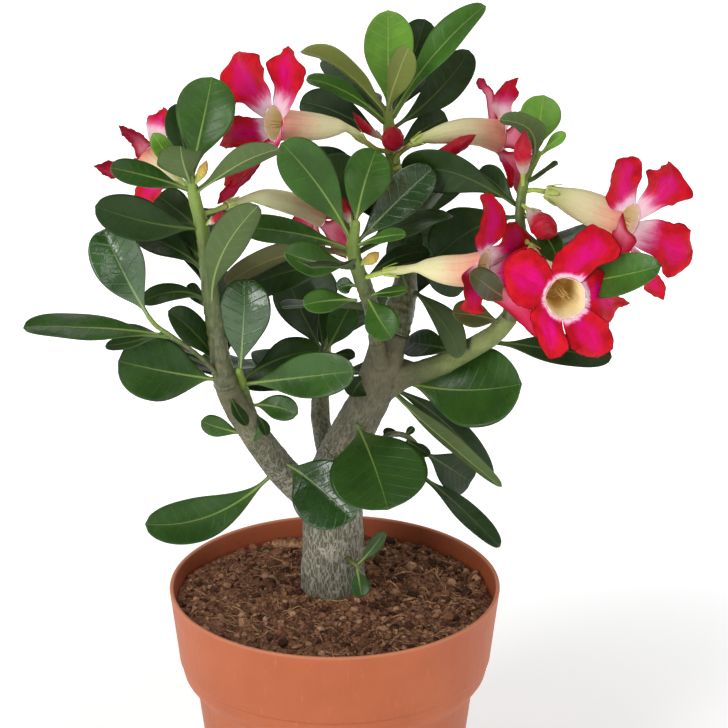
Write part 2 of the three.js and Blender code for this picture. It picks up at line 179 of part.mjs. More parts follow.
// Open flowers: tube centre line with radii, flower stalk, facing axis, five lobes [tip, width, root angle]
const FLOWERS = {
  F1: {"stem":"M","tube":[[11.5,4.0,297.5,1.35],[8.12,1.0,301.7,1.58],[4.76,-1.0,304.36,1.65],[1.4,-3.0,305.44,3.18],[-3.06,-5.0,306.12,4.48],[-9.34,-9.0,307.68,5.4],[-15.96,-13.0,309.43,5.75],[-21.79,-17.0,311.38,6.66]],"ped":[[22.16,24.39,286.21],[16.81,14.2,290.47],[11.5,4.0,297.5]],"axis":[-0.8197,-0.5635,0.1025],"lobes":[[[-34.64,1.33,333.98],22.9,-40.0],[[-16.37,-17.24,342.0],18.1,-112.0],[[-43.0,1.42,296.8],12.2,32.0],[[-41.34,-8.0,284.62],11.7,176.0],[[-43.84,-5.0,275.16],8.4,104.0]]},
  F2: {"stem":"L","tube":[[-39.57,-28.0,283.13,1.85],[-34.51,-24.0,282.86,1.63],[-30.17,-20.0,282.79,1.86],[-26.53,-17.0,281.51,3.17],[-22.19,-12.0,278.7,4.31],[-16.36,-5.0,274.36,5.08],[-10.47,2.0,269.4,5.49],[-4.5,9.0,263.59,6.48]],"ped":[[-49.13,-38.6,283.47],[-44.74,-33.3,282.9],[-39.57,-28.0,283.13]],"axis":[0.8353,0.5032,-0.2214],"lobes":[[[-0.95,3.11,286.25],12.8,-100.0],[[10.75,-5.35,278.89],12.8,-28.0],[[6.99,-12.76,261.6],12.8,44.0],[[-8.52,17.41,243.69],13.1,116.0],[[-14.77,26.81,254.16],10.0,188.0]]},
  F3: {"stem":"C","tube":[[18.97,-25.0,255.83,1.79],[25.67,-27.0,257.39,1.64],[30.87,-28.0,258.57,1.71],[34.58,-29.0,258.96,3.35],[39.03,-30.0,258.94,4.84],[44.19,-32.0,259.31,5.76],[49.33,-34.0,260.07,6.12],[55.55,-36.0,262.03,6.66]],"ped":[[9.42,-21.08,251.66],[14.21,-23.54,253.74],[18.97,-25.0,255.83]],"axis":[0.9121,-0.4054,-0.0608],"lobes":[[[57.21,-31.3,289.62],15.7,-90.0],[[68.47,-13.27,271.59],15.6,-162.0],[[80.57,-16.86,256.73],12.8,126.0],[[76.52,-33.68,232.75],10.6,54.0],[[52.24,-42.0,245.49],19.0,-18.0]]},
  F4: {"stem":"R","tube":[[73.8,-23.0,265.05,1.64],[75.1,-28.0,264.54,1.56],[76.71,-34.0,263.64,1.85],[78.64,-41.0,262.75,3.69],[80.55,-48.0,261.9,5.33],[82.39,-56.0,261.46,6.03],[84.82,-66.0,261.45,7.62]],"ped":[[70.38,-12.5,266.61],[72.1,-17.75,265.62],[73.8,-23.0,265.05]],"axis":[0.1018,-0.9468,0.3054],"lobes":[[[62.04,-64.6,271.4],18.9,-29.0],[[94.53,-57.11,286.97],18.7,-101.0],[[109.97,-46.0,251.64],16.7,187.0],[[96.39,-69.46,239.53],15.5,115.0],[[79.08,-73.17,240.46],14.1,43.0]]},
  F5: {"stem":"R","tube":[[79.71,-9.0,281.8,2.81],[83.43,-10.0,280.96,3.3],[87.18,-10.5,279.55,4.61],[92.0,-12.0,278.11,5.85],[97.55,-14.0,276.45,6.5],[103.38,-17.0,275.16,6.47],[109.95,-20.0,273.88,7.09]],"ped":[[70.72,-9.0,281.8],[74.83,-9.0,282.59],[79.71,-9.0,281.8]],"axis":[0.7607,-0.6373,-0.1234],"lobes":[[[107.82,-24.71,301.16],17.2,-85.0],[[126.1,-5.66,292.92],22.1,-157.0],[[135.86,-7.88,258.15],19.7,131.0],[[124.49,-17.91,241.82],8.0,59.0],[[106.61,-30.0,263.32],9.1,-13.0]]},
  F6: {"stem":"M","tube":[[29.65,10.0,294.23,1.66],[33.06,11.0,295.89,1.74],[37.25,13.0,296.2,2.84],[43.37,16.0,296.57,4.17],[50.3,20.0,296.0,5.14],[56.53,24.0,294.24,5.53],[62.8,28.0,291.25,6.51]],"ped":[[22.82,23.73,281.2],[25.48,15.86,288.88],[29.65,10.0,294.23]],"axis":[0.8956,0.4166,-0.1562],"lobes":[[[70.24,22.54,316.72],13.3,-75.0],[[55.93,49.14,307.65],5.3,-147.0],[[77.88,9.32,302.44],12.1,-3.0],[[74.49,8.02,276.48],11.4,69.0],[[67.29,8.48,277.12],7.5,141.0]]},
  F7: {"stem":"L","tube":[[-53.57,-34.0,292.74,1.47],[-56.26,-31.0,293.62,1.55],[-59.32,-28.0,294.89,2.4],[-62.45,-24.0,295.83,3.51],[-65.59,-20.0,296.77,4.26],[-68.43,-15.0,297.37,5.58]],"ped":[[-51.32,-39.48,293.74],[-53.57,-34.0,292.74]],"axis":[-0.6567,0.6567,0.3707],"lobes":[[[-78.12,-32.0,315.7],6.0,-130.0],[[-62.37,-23.29,320.1],10.9,-58.0],[[-56.24,3.17,295.8],12.8,14.0],[[-70.08,-6.79,275.81],21.2,86.0],[[-87.64,-32.64,300.43],9.7,158.0]]}
};

// Closed buds: foot, tip, radius
const BUDS = {
  B1: {"stem":"M","b":[22.38,24.22,284.59],"t":[22.78,5.0,302.72],"r":4.14,"kind":"red"},
  B2: {"stem":"R","b":[70.94,-8.82,282.84],"t":[70.96,-20.0,310.06],"r":3.41,"kind":"red"},
  B3: {"stem":"R","b":[70.18,-9.94,277.86],"t":[82.5,-33.0,273.55],"r":5.55,"kind":"red"},
  B4: {"stem":"M","b":[23.06,23.41,279.37],"t":[53.78,9.0,298.17],"r":2.64,"kind":"long"},
  B5: {"stem":"C","b":[7.78,-25.0,270.96],"t":[3.68,-18.0,283.06],"r":2.23,"kind":"red"},
  B6: {"stem":"L","b":[-51.32,-39.48,293.74],"t":[-45.53,-46.0,307.44],"r":1.82,"kind":"green"},
  B7: {"stem":"M","b":[21.94,24.52,287.77],"t":[7.36,7.0,307.98],"r":1.88,"kind":"red"},
  B8: {"stem":"L","b":[-48.23,-38.27,278.5],"t":[-38.98,-44.0,286.61],"r":1.83,"kind":"red"},
  B9: {"stem":"C","b":[8.68,-22.3,256.71],"t":[17.07,-30.0,265.7],"r":2.23,"kind":"green"}
};

// ---- helpers ----
const V = (a) => new THREE.Vector3(a[0], a[1], a[2]);

function toSolid(geometry) {
  const g = geometry.clone();
  g.deleteAttribute('normal');
  g.deleteAttribute('uv');
  const m = mergeVertices(g, 1e-4);
  const mesh = new wasm.Mesh({
    numProp: 3,
    vertProperties: new Float32Array(m.attributes.position.array),
    triVerts: new Uint32Array(m.index.array),
  });
  const s = new wasm.Manifold(mesh);
  if (s.volume() >= 0) return s;
  const t = new Uint32Array(m.index.array);
  for (let i = 0; i < t.length; i += 3) [t[i + 1], t[i + 2]] = [t[i + 2], t[i + 1]];
  return new wasm.Manifold(new wasm.Mesh({ numProp: 3, vertProperties: new Float32Array(m.attributes.position.array), triVerts: t }));
}

function toGeometry(solid) {
  const m = solid.getMesh();
  const g = new THREE.BufferGeometry();
  g.setAttribute('position', new THREE.BufferAttribute(new Float32Array(m.vertProperties), 3));
  g.setIndex(new THREE.BufferAttribute(new Uint32Array(m.triVerts), 1));
  g.computeVertexNormals();
  return g;
}

const largest = (s) => s.decompose().sort((a, b) => b.volume() - a.volume())[0];

// frames carried along a polyline without twist
function frames(pts) {
  const n = pts.length;
  const tan = pts.map((p, i) => pts[Math.min(i + 1, n - 1)].clone().sub(pts[Math.max(i - 1, 0)]).normalize());
  const out = [];
  let u = new THREE.Vector3(0.3, 1, 0.1).cross(tan[0]).normalize();
  for (let i = 0; i < n; i++) {
    u = u.sub(tan[i].clone().multiplyScalar(u.dot(tan[i]))).normalize();
    out.push({ t: tan[i], u: u.clone(), v: tan[i].clone().cross(u) });
  }
  return out;
}

// a cylinder bent along a path of [x, y, z, radius], closed by its caps
function limb(path, sides, grow = 0, extend = 0) {
  const pts = path.map(V);
  const n = pts.length;
  const fr = frames(pts);
  if (extend) {
    pts[0].addScaledVector(fr[0].t, -extend);
    pts[n - 1].addScaledVector(fr[n - 1].t, extend);
  }
  const g = new THREE.CylinderGeometry(1, 1, 1, sides, n - 1);
  const pos = g.attributes.position;
  for (let i = 0; i < pos.count; i++) {
    const k = Math.round((pos.getY(i) + 0.5) * (n - 1));
    const x = pos.getX(i), z = pos.getZ(i), r = path[k][3] + grow;
    const p = pts[k].clone().addScaledVector(fr[k].u, Math.round(x * 1e6) / 1e6 * r).addScaledVector(fr[k].v, Math.round(z * 1e6) / 1e6 * r);
    pos.setXYZ(i, p.x, p.y, p.z);
  }
  return toSolid(g);
}

const LEAF_STATIONS = [0, 0.3, 0.56, 0.8, 1];
const LEAF_WIDTHS = [0.12, 0.5, 0.95, 0.9, 0.34];
const SMALL_STATIONS = [0, 0.42, 0.74, 1];
const SMALL_WIDTHS = [0.12, 0.78, 0.97, 0.34];
const PETAL_STATIONS = [0, 0.38, 0.76, 1];
const PETAL_WIDTHS = [0.5, 0.86, 0.96, 0.4];

const bezier = (b, m, t, q) => b.clone().multiplyScalar((1 - q) ** 2).addScaledVector(m, 2 * q * (1 - q)).addScaledVector(t, q * q);

// a box bent into a blade: its middle follows the curve from base over bend to tip, folded a little into a V
function blade(base, bend, tip, width, normal, thick, { grow = 0, stations = LEAF_STATIONS, widths = LEAF_WIDTHS, fold = 0.16, minHalf = 1.3, across = 2 } = {}) {
  const n = stations.length - 1;
  const g = new THREE.BoxGeometry(1, 1, 1, across, n, 1);
  const pos = g.attributes.position;
  const length = base.distanceTo(tip);
  for (let i = 0; i < pos.count; i++) {
    const k = Math.round((pos.getY(i) + 0.5) * n);
    let q = stations[k];
    if (k === n) q += grow / length;
    const p = bezier(base, bend, tip, q);
    const tan = bend.clone().sub(base).multiplyScalar(1 - q).addScaledVector(tip.clone().sub(bend), q).normalize();
    const side = tan.clone().cross(normal).normalize();
    const up = side.clone().cross(tan).normalize();
    const half = Math.max(width * widths[k] / 2, minHalf) + grow;
    const s = Math.round(pos.getX(i) * 2);
    const h = (pos.getZ(i) > 0 ? 1 : -1) * (thick / 2 + grow);
    p.addScaledVector(side, s * half).addScaledVector(up, fold * half * Math.abs(s) + h);
    pos.setXYZ(i, p.x, p.y, p.z);
  }
  return toSolid(g);
}

const leafSolid = (row, grow = 0) => blade(V(row[3]), V(row[4]), V(row[5]), row[6], V(row[7]), LEAF_T,
  row[1].startsWith('leaf_') ? { grow } : { grow, stations: SMALL_STATIONS, widths: SMALL_WIDTHS, across: 1, fold: 0 });

// flower: a thin funnel and five lobes spread from its mouth
function lobeSolid(f, lobe, grow = 0) {
  const n = f.tube.length;
  const mouth = V(f.tube[n - 1]);
  const r = f.tube[n - 1][3];
  const a = V(f.axis).normalize();
  const e1 = a.clone().cross(new THREE.Vector3(0, 0, 1)).normalize();
  const e2 = a.clone().cross(e1);
  const ang = lobe[2] * Math.PI / 180;
  const out = e1.multiplyScalar(Math.cos(ang)).addScaledVector(e2, Math.sin(ang));
  const base = mouth.clone().addScaledVector(out, r - 1.0).addScaledVector(a, -0.6);
  const tip = V(lobe[0]);
  const u = tip.clone().sub(base).normalize();
  const normal = a.clone().addScaledVector(u, -a.dot(u)).normalize();
  const bend = base.clone().add(tip).multiplyScalar(0.5).addScaledVector(normal, 0.12 * base.distanceTo(tip));
  return blade(base, bend, tip, Math.max(lobe[1], 11), normal, PETAL_T, { grow, stations: PETAL_STATIONS, widths: PETAL_WIDTHS, fold: 0, minHalf: 2, across: 1 });
}

const thin = (p) => p.filter((q, i) => i === 0 || i === p.length - 1 || (p.length - 1 - i) % 2 === 0);
function corolla(f) {
  const n = f.tube.length;
  let s = limb(thin(f.tube), 8);
  for (const l of f.lobes) s = s.add(lobeSolid(f, l));
  const inner = f.tube.slice(Math.floor(n / 2)).map((p) => [p[0], p[1], p[2], Math.max(p[3] - TUBE_WALL, 0.8)]);
  return largest(s.subtract(limb(thin(inner), 8, 0, 3)));
}
const corollaFat = (f) => f.lobes.reduce((s, l) => s.add(lobeSolid(f, l, GAP)), limb(thin(f.tube), 8, GAP, GAP));

const BUD_STATIONS = [[0, 0.24], [0.28, 0.4], [0.52, 0.88], [0.72, 1], [0.9, 0.66], [1, 0.26]];
function budPath(b) {
  const p = V(b.b), q = V(b.t);
  return BUD_STATIONS.map(([t, w]) => { const c = p.clone().lerp(q, t); return [c.x, c.y, c.z, Math.max(b.r * w, 0.9)]; });
}

// ---- pot ----
const pieces = [];
const put = (name, solid, colour, roughness = 0.6) => pieces.push({ name, solid, colour, roughness });

const potProfile = [
  [0, 0], [BASE_R - 1.2, 0], [BASE_R, 1.2],
  [SHOULDER_R, SHOULDER_Z], [SHOULDER_R + 4.2, SHOULDER_Z + 5.6], [BAND_BOTTOM_R, BAND_BOTTOM_Z],
  [RIM_R, POT_HEIGHT - 0.6], [RIM_R - 0.5, POT_HEIGHT], [RIM_R - WALL, POT_HEIGHT],
  [BAND_BOTTOM_R - WALL, BAND_BOTTOM_Z], [SHOULDER_R + 4.2 - WALL, SHOULDER_Z + 5.6], [SHOULDER_R - WALL, SHOULDER_Z],
  [BASE_R - WALL + 0.2, FLOOR_T], [0, FLOOR_T],
].map(([r, z]) => new THREE.Vector2(r, z));
const upright = (g) => g.rotateX(Math.PI / 2);
let pot = toSolid(upright(new THREE.LatheGeometry(potProfile, 30)));
for (let i = 0; i < DRAIN_COUNT; i++) {
  const a = (i + 0.5) * 2 * Math.PI / DRAIN_COUNT;
  const hole = upright(new THREE.CylinderGeometry(DRAIN_R, DRAIN_R, 10, 12)).translate(DRAIN_RING_R * Math.cos(a), DRAIN_RING_R * Math.sin(a), 0);
  pot = pot.subtract(toSolid(hole));
}

// ---- stems ----
const woodyKeys = Object.keys(STEMS).filter((k) => STEMS[k].wood.length);
const woodPath = (k) => {
  const p = STEMS[k].wood.map((q) => q.slice());
  if (k === 'T') p.unshift([p[0][0], p[0][1], TRUNK_FOOT_Z, p[0][3] * 0.92]);
  return p;
};
const sidesOf = (k) => (k === 'T' ? 12 : k === 'M' ? 10 : 8);
const union = (list) => list.reduce((a, b) => a.add(b));
const stub = [[-9, 8, 127.8, 1.7], [-16, 7.6, 128.6, 1.4], [-23.2, 7.2, 129, 1.6]];
const trunk = largest(union(woodyKeys.map((k) => limb(woodPath(k), sidesOf(k))).concat([limb(stub, 8)])));
const trunkFat = union(woodyKeys.map((k) => limb(woodPath(k), sidesOf(k), GAP, GAP)).concat([limb(stub, 8, GAP, GAP)]));

// ---- soil ----
const bump = (x, y) => SOIL_BUMP * (Math.sin(x * 0.21 + 1.3) * Math.cos(y * 0.17 + 0.4) + 0.6 * Math.sin(x * 0.33 - y * 0.29));
const soilProfile = [
  [0, FLOOR_T + 0.5], [BASE_R - WALL - 0.5, FLOOR_T + 0.5], [SHOULDER_R - WALL - 0.6, SHOULDER_Z + 0.2],
  [SHOULDER_R + 4.2 - WALL - 0.6, SHOULDER_Z + 5.9], [BAND_BOTTOM_R - WALL - 0.6, BAND_BOTTOM_Z + 0.3],
  [62.0, SOIL_Z - 1.2], [54, SOIL_Z + 0.8], [36, SOIL_Z], [18, SOIL_Z], [0, SOIL_Z],
].map(([r, z]) => new THREE.Vector2(r, z));
const soilGeometry = upright(new THREE.LatheGeometry(soilProfile, 30));
{
  const p = soilGeometry.attributes.position;
  for (let i = 0; i < p.count; i++) {
    const z = p.getZ(i), r = Math.hypot(p.getX(i), p.getY(i));
    if (z > SOIL_Z - 2) p.setZ(i, z + (r < 0.01 ? 0 : bump(Math.round(p.getX(i) * 1e3) / 1e3, Math.round(p.getY(i) * 1e3) / 1e3) * (r > 60 ? 0.4 : 1)));
  }
}
const soil = largest(toSolid(soilGeometry).subtract(limb(woodPath('T'), 12, GAP, GAP)));

// ---- leafy shoots: green stem, flower stalks, small leaves and the smallest buds ----
const greenKeys = Object.keys(STEMS).filter((k) => STEMS[k].green.length);
const greenPath = (k) => STEMS[k].green.filter((q, i, l) => i === 0 || i === l.length - 1 || (l.length - 1 - i) % 2 === 0);
const greenSides = (k) => ('MRCL'.includes(k) ? 7 : 6);
const greenFat = Object.fromEntries(greenKeys.map((k) => [k, limb(greenPath(k), greenSides(k), GAP, GAP)]));
const SHOOT = { M: 'shoot_top', R: 'shoot_right', C: 'shoot_middle', L: 'shoot_left', S: 'shoot_back', A: 'twig_upper_left', B: 'twig_far_left', K: 'twig_right', P: 'sprout_base' };
const stalkPath = (f, cut) => {
  const p = f.ped.map((q, i) => [...q, i === f.ped.length - 1 ? 1.9 : 1.25]);
  const n = p.length, a = V(p[n - 2]), b = V(p[n - 1]);
  const end = b.clone().addScaledVector(b.clone().sub(a).normalize(), -cut);
  p[n - 1] = [end.x, end.y, end.z, 1.9];
  return p;
};
const flowerKeys = Object.keys(FLOWERS);
const budKeys = Object.keys(BUDS);
const OWN_BUDS = { B1: 'bud_top', B2: 'bud_right_upper', B3: 'bud_right', B4: 'bud_behind' };
const flowerFat = Object.fromEntries(flowerKeys.map((k) => [k, corollaFat(FLOWERS[k])]));
const NODE_OF_FLOWER = { F1: 'flower_upper_left', F2: 'flower_middle_left', F3: 'flower_middle_right', F4: 'flower_front', F5: 'flower_right', F6: 'flower_upper_right', F7: 'flower_far_left' };
const ORDER = ['shoot_top', 'shoot_right', 'shoot_middle', 'shoot_left', 'shoot_back', 'twig_upper_left', 'twig_far_left', 'twig_right', 'sprout_base', 'sprout_branch'];

// each finished piece with a slightly fatter copy; later pieces are cut back from the fatter copies
const done = [];
const boxesMeet = (a, b) => [0, 1, 2].every((i) => a.min[i] < b.max[i] && b.min[i] < a.max[i]);
function cutBack(solid, skip = []) {
  let s = solid;
  const box = s.boundingBox();
  for (const d of done) {
    if (skip.includes(d.name)) continue;
    for (const f of d.fat) {
      if (!boxesMeet(box, f.box)) continue;
      if (s.intersect(f.solid).volume() > 1e-6) s = s.subtract(f.solid);
    }
  }
  return largest(s);
}
const finish = (name, solid, fat) => done.push({ name, solid, fat: fat.map((f) => ({ solid: f, box: f.boundingBox() })) });

finish('trunk_and_branches', trunk, [trunkFat]);
for (const k of flowerKeys) {
  const f = FLOWERS[k];
  finish(NODE_OF_FLOWER[k], cutBack(corolla(f)), [flowerFat[k]]);
}
for (const [k, name] of Object.entries(OWN_BUDS)) {
  const b = BUDS[k];
  finish(name, largest(cutBack(limb(budPath(b), 8)).subtract(greenFat[b.stem])), [limb(budPath(b), 8, GAP, GAP)]);
}
for (const node of ORDER) {
  const keys = greenKeys.filter((k) => SHOOT[k] === node);
  const parts = [], fats = [];
  for (const k of keys) { parts.push(limb(greenPath(k), greenSides(k))); fats.push(greenFat[k]); }
  if (node === 'sprout_branch') {
    const row = LEAVES.find((r) => r[1] === node);
    const c = V(row[3]);
    const g = new THREE.SphereGeometry(6.2, 10, 6).translate(c.x, c.y, c.z);
    parts.push(toSolid(g));
  }
  for (const k of flowerKeys) if (SHOOT[FLOWERS[k].stem] === node) {
    parts.push(limb(stalkPath(FLOWERS[k], 0.6), 6)); fats.push(limb(stalkPath(FLOWERS[k], 0.6), 6, GAP, GAP));
  }
  for (const k of budKeys) if (!OWN_BUDS[k] && SHOOT[BUDS[k].stem] === node) {
    parts.push(limb(budPath(BUDS[k]), 6)); fats.push(limb(budPath(BUDS[k]), 6, GAP, GAP));
  }
  for (const row of LEAVES) if (row[1] === node) { parts.push(leafSolid(row)); fats.push(leafSolid(row, GAP)); }
  finish(node, cutBack(union(parts)), fats);
}
for (const row of LEAVES) if (row[1].startsWith('leaf_')) finish(row[1], cutBack(leafSolid(row)), [leafSolid(row, GAP)]);

// ---- assemble ----
put('pot', pot, COLOUR.pot, 0.45);
put('soil', cutBack(soil, ['trunk_and_branches']), COLOUR.soil, 0.95);
const toneOf = (name) => { const r = LEAVES.find((q) => q[1] === name); return r ? COLOUR[r[8]] : COLOUR.M; };
for (const d of done) {
  const colour = d.name.startsWith('trunk') ? COLOUR.wood : d.name.startsWith('flower') ? COLOUR.corolla : d.name.startsWith('bud') ? COLOUR.bud
    : d.name.startsWith('leaf_') ? toneOf(d.name) : COLOUR.shoot;
  put(d.name, d.solid, colour, d.name.startsWith('trunk') ? 0.85 : 0.5);
}

const group = new THREE.Group();
for (const p of pieces) {
  const mesh = new THREE.Mesh(toGeometry(p.solid), new THREE.MeshStandardMaterial({ color: p.colour, roughness: p.roughness, metalness: 0 }));
  mesh.name = p.name;
  group.add(mesh);
}

export default group;
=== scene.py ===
import math

import bpy
import numpy as np
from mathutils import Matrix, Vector


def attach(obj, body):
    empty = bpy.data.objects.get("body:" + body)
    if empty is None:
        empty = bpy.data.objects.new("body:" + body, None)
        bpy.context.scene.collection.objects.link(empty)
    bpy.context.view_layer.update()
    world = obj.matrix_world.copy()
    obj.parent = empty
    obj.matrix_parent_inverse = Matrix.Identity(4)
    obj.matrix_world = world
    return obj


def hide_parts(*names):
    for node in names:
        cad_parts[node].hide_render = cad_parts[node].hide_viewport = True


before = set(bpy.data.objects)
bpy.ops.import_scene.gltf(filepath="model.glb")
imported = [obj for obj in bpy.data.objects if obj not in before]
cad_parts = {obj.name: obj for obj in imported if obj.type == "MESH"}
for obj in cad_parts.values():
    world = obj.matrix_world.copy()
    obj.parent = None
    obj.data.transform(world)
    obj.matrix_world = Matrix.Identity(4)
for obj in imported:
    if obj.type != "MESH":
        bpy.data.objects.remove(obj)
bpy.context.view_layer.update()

# Potted desert rose: a moulded terracotta-coloured pot, coir potting soil, a grey woody trunk with branches,
# green shoots, glossy leaves, red and magenta flowers and twisted flower buds. Lengths in the tables are
# millimetres in the CAD frame; MM turns them into metres.
MM = 0.001

POT = {"wall": 1.6}
STUB = [(-9, 8, 127.8, 1.7), (-16, 7.6, 128.6, 1.4), (-23.2, 7.2, 129.0, 1.6)]
# petal width, paleness near the throat and how far the tips curl back, by flower
WIDE = {'F4': 1.3, 'F1': 1.4, 'F5': 1.22, 'F3': 1.5, 'F6': 1.25, 'F7': 1.25, 'F2': 1.2}
PALE = {'F1': 0.38, 'F2': 1.0, 'F3': 0.3, 'F4': 0.0, 'F5': 0.36, 'F6': 1.0, 'F7': 1.0}
RECURVE = {'F4': 0.6, 'F1': 0.5, 'F5': 0.7}
# stems: woody part and green part, each a line of x, y, z, radius
STEMS = {
    'T': {'wood': [[-0.8, 8.0, 103.85, 12.7], [-0.77, 8.0, 112.78, 12.5], [-0.74, 8.0, 121.71, 12.23], [-0.72, 8.0, 130.64, 11.97], [-0.69, 8.0, 139.57, 11.83], [-0.72, 7.96, 148.5, 11.43], [-0.22, 8.27, 157.41, 10.41], [0.95, 9.0, 166.23, 8.21]], 'green': []},
    'S': {'wood': [[-1.03, 11.0, 162.36, 5.09], [-3.81, 18.26, 167.69, 4.13], [-5.39, 25.38, 173.63, 3.76], [-5.88, 31.22, 181.01, 3.58]], 'green': [[-5.88, 31.22, 181.01, 3.58], [-4.93, 39.29, 190.37, 3.08], [-3.19, 48.0, 198.93, 1.79]]},
    'M': {'wood': [[-0.24, 9.0, 159.82, 8.61], [2.97, 8.99, 168.51, 8.39], [6.99, 8.08, 176.82, 8.19], [10.82, 6.34, 185.08, 8.0], [14.42, 4.47, 193.42, 7.64], [17.34, 3.18, 202.11, 7.39], [19.67, 2.74, 211.07, 7.11], [22.26, 4.31, 219.78, 6.57]], 'green': [[22.26, 4.31, 219.78, 6.57], [25.35, 7.54, 228.36, 5.66], [27.32, 11.03, 237.14, 4.56], [27.38, 14.59, 246.11, 3.72], [26.19, 17.7, 255.2, 3.31], [24.97, 20.2, 264.46, 3.13], [23.76, 22.34, 273.82, 2.92], [22.55, 24.04, 283.27, 2.67], [21.26, 24.85, 292.82, 2.37], [20.65, 26.0, 302.4, 1.72]]},
    'R': {'wood': [[19.23, 4.0, 196.71, 5.41], [26.19, 1.7, 202.21, 4.76], [33.99, -1.35, 205.97, 4.39], [41.65, -4.11, 210.21, 4.21], [48.52, -7.14, 215.5, 4.05], [55.3, -10.17, 220.9, 3.9], [61.73, -13.14, 226.74, 3.71], [66.66, -15.44, 234.04, 3.45]], 'green': [[66.66, -15.44, 234.04, 3.35], [69.27, -15.92, 244.48, 2.62], [70.28, -14.76, 255.18, 2.21], [70.42, -12.66, 265.78, 2.0], [70.09, -10.35, 276.33, 1.85], [72.02, -8.31, 286.71, 1.75], [76.5, -8.0, 296.51, 1.34]]},
    'L': {'wood': [[-4.98, 7.0, 145.69, 7.06], [-10.59, 3.82, 152.3, 6.55], [-16.03, 0.42, 158.96, 6.19], [-20.66, -3.44, 165.95, 5.94], [-24.5, -7.67, 173.21, 5.73], [-28.25, -11.68, 180.65, 5.49], [-31.95, -15.26, 188.32, 5.21], [-35.48, -18.96, 196.02, 4.94], [-38.71, -22.81, 203.77, 4.68], [-40.8, -27.1, 211.67, 4.45]], 'green': [[-40.8, -27.1, 211.67, 4.45], [-42.2, -30.07, 221.13, 3.87], [-43.34, -31.91, 230.93, 3.46], [-44.49, -33.44, 240.79, 3.32], [-45.53, -34.73, 250.68, 3.14], [-46.42, -35.74, 260.63, 2.9], [-47.19, -37.35, 270.5, 2.65], [-48.56, -38.39, 280.38, 2.47], [-50.63, -39.03, 290.18, 2.35], [-52.05, -41.0, 299.89, 1.68]]},
    'A': {'wood': [], 'green': [[-27.62, -14.0, 182.63, 1.92], [-29.49, -14.8, 188.82, 1.81], [-31.2, -16.22, 194.93, 1.75], [-32.68, -18.44, 200.87, 1.75], [-34.02, -21.0, 206.71, 1.76], [-35.19, -24.03, 212.36, 1.72], [-35.95, -28.0, 217.46, 1.51]]},
    'B': {'wood': [], 'green': [[-41.95, -30.5, 213.61, 1.06], [-44.77, -33.16, 219.13, 0.94], [-48.02, -35.87, 224.37, 0.86], [-51.92, -38.63, 229.12, 0.82], [-56.27, -41.01, 233.69, 0.8], [-60.86, -43.22, 238.1, 0.81], [-65.24, -45.88, 242.49, 0.91], [-68.09, -49.0, 247.67, 0.87]]},
    'C': {'wood': [[19.22, 3.0, 201.31, 3.09], [18.41, -1.8, 208.29, 2.96], [17.23, -6.2, 215.07, 2.87], [16.07, -9.69, 221.84, 2.83]], 'green': [[16.07, -9.69, 221.84, 2.83], [15.67, -13.39, 230.69, 2.85], [14.14, -16.89, 238.99, 2.97], [11.88, -19.96, 247.46, 2.97], [8.88, -22.29, 256.79, 2.7], [7.4, -24.29, 265.93, 2.4], [8.53, -26.0, 275.3, 1.67]]},
    'K': {'wood': [], 'green': [[19.67, 5.0, 175.63, 1.28], [23.59, 9.38, 175.01, 1.17], [27.93, 13.16, 172.52, 1.08], [31.49, 15.25, 168.62, 1.03], [33.88, 16.05, 163.99, 1.04], [34.7, 16.01, 158.86, 0.99], [33.92, 15.0, 154.14, 0.78]]},
    'P': {'wood': [], 'green': [[4.03, 2.0, 125.95, 1.06], [5.96, -5.84, 127.86, 0.88], [8.78, -13.5, 128.97, 0.61]]},
}
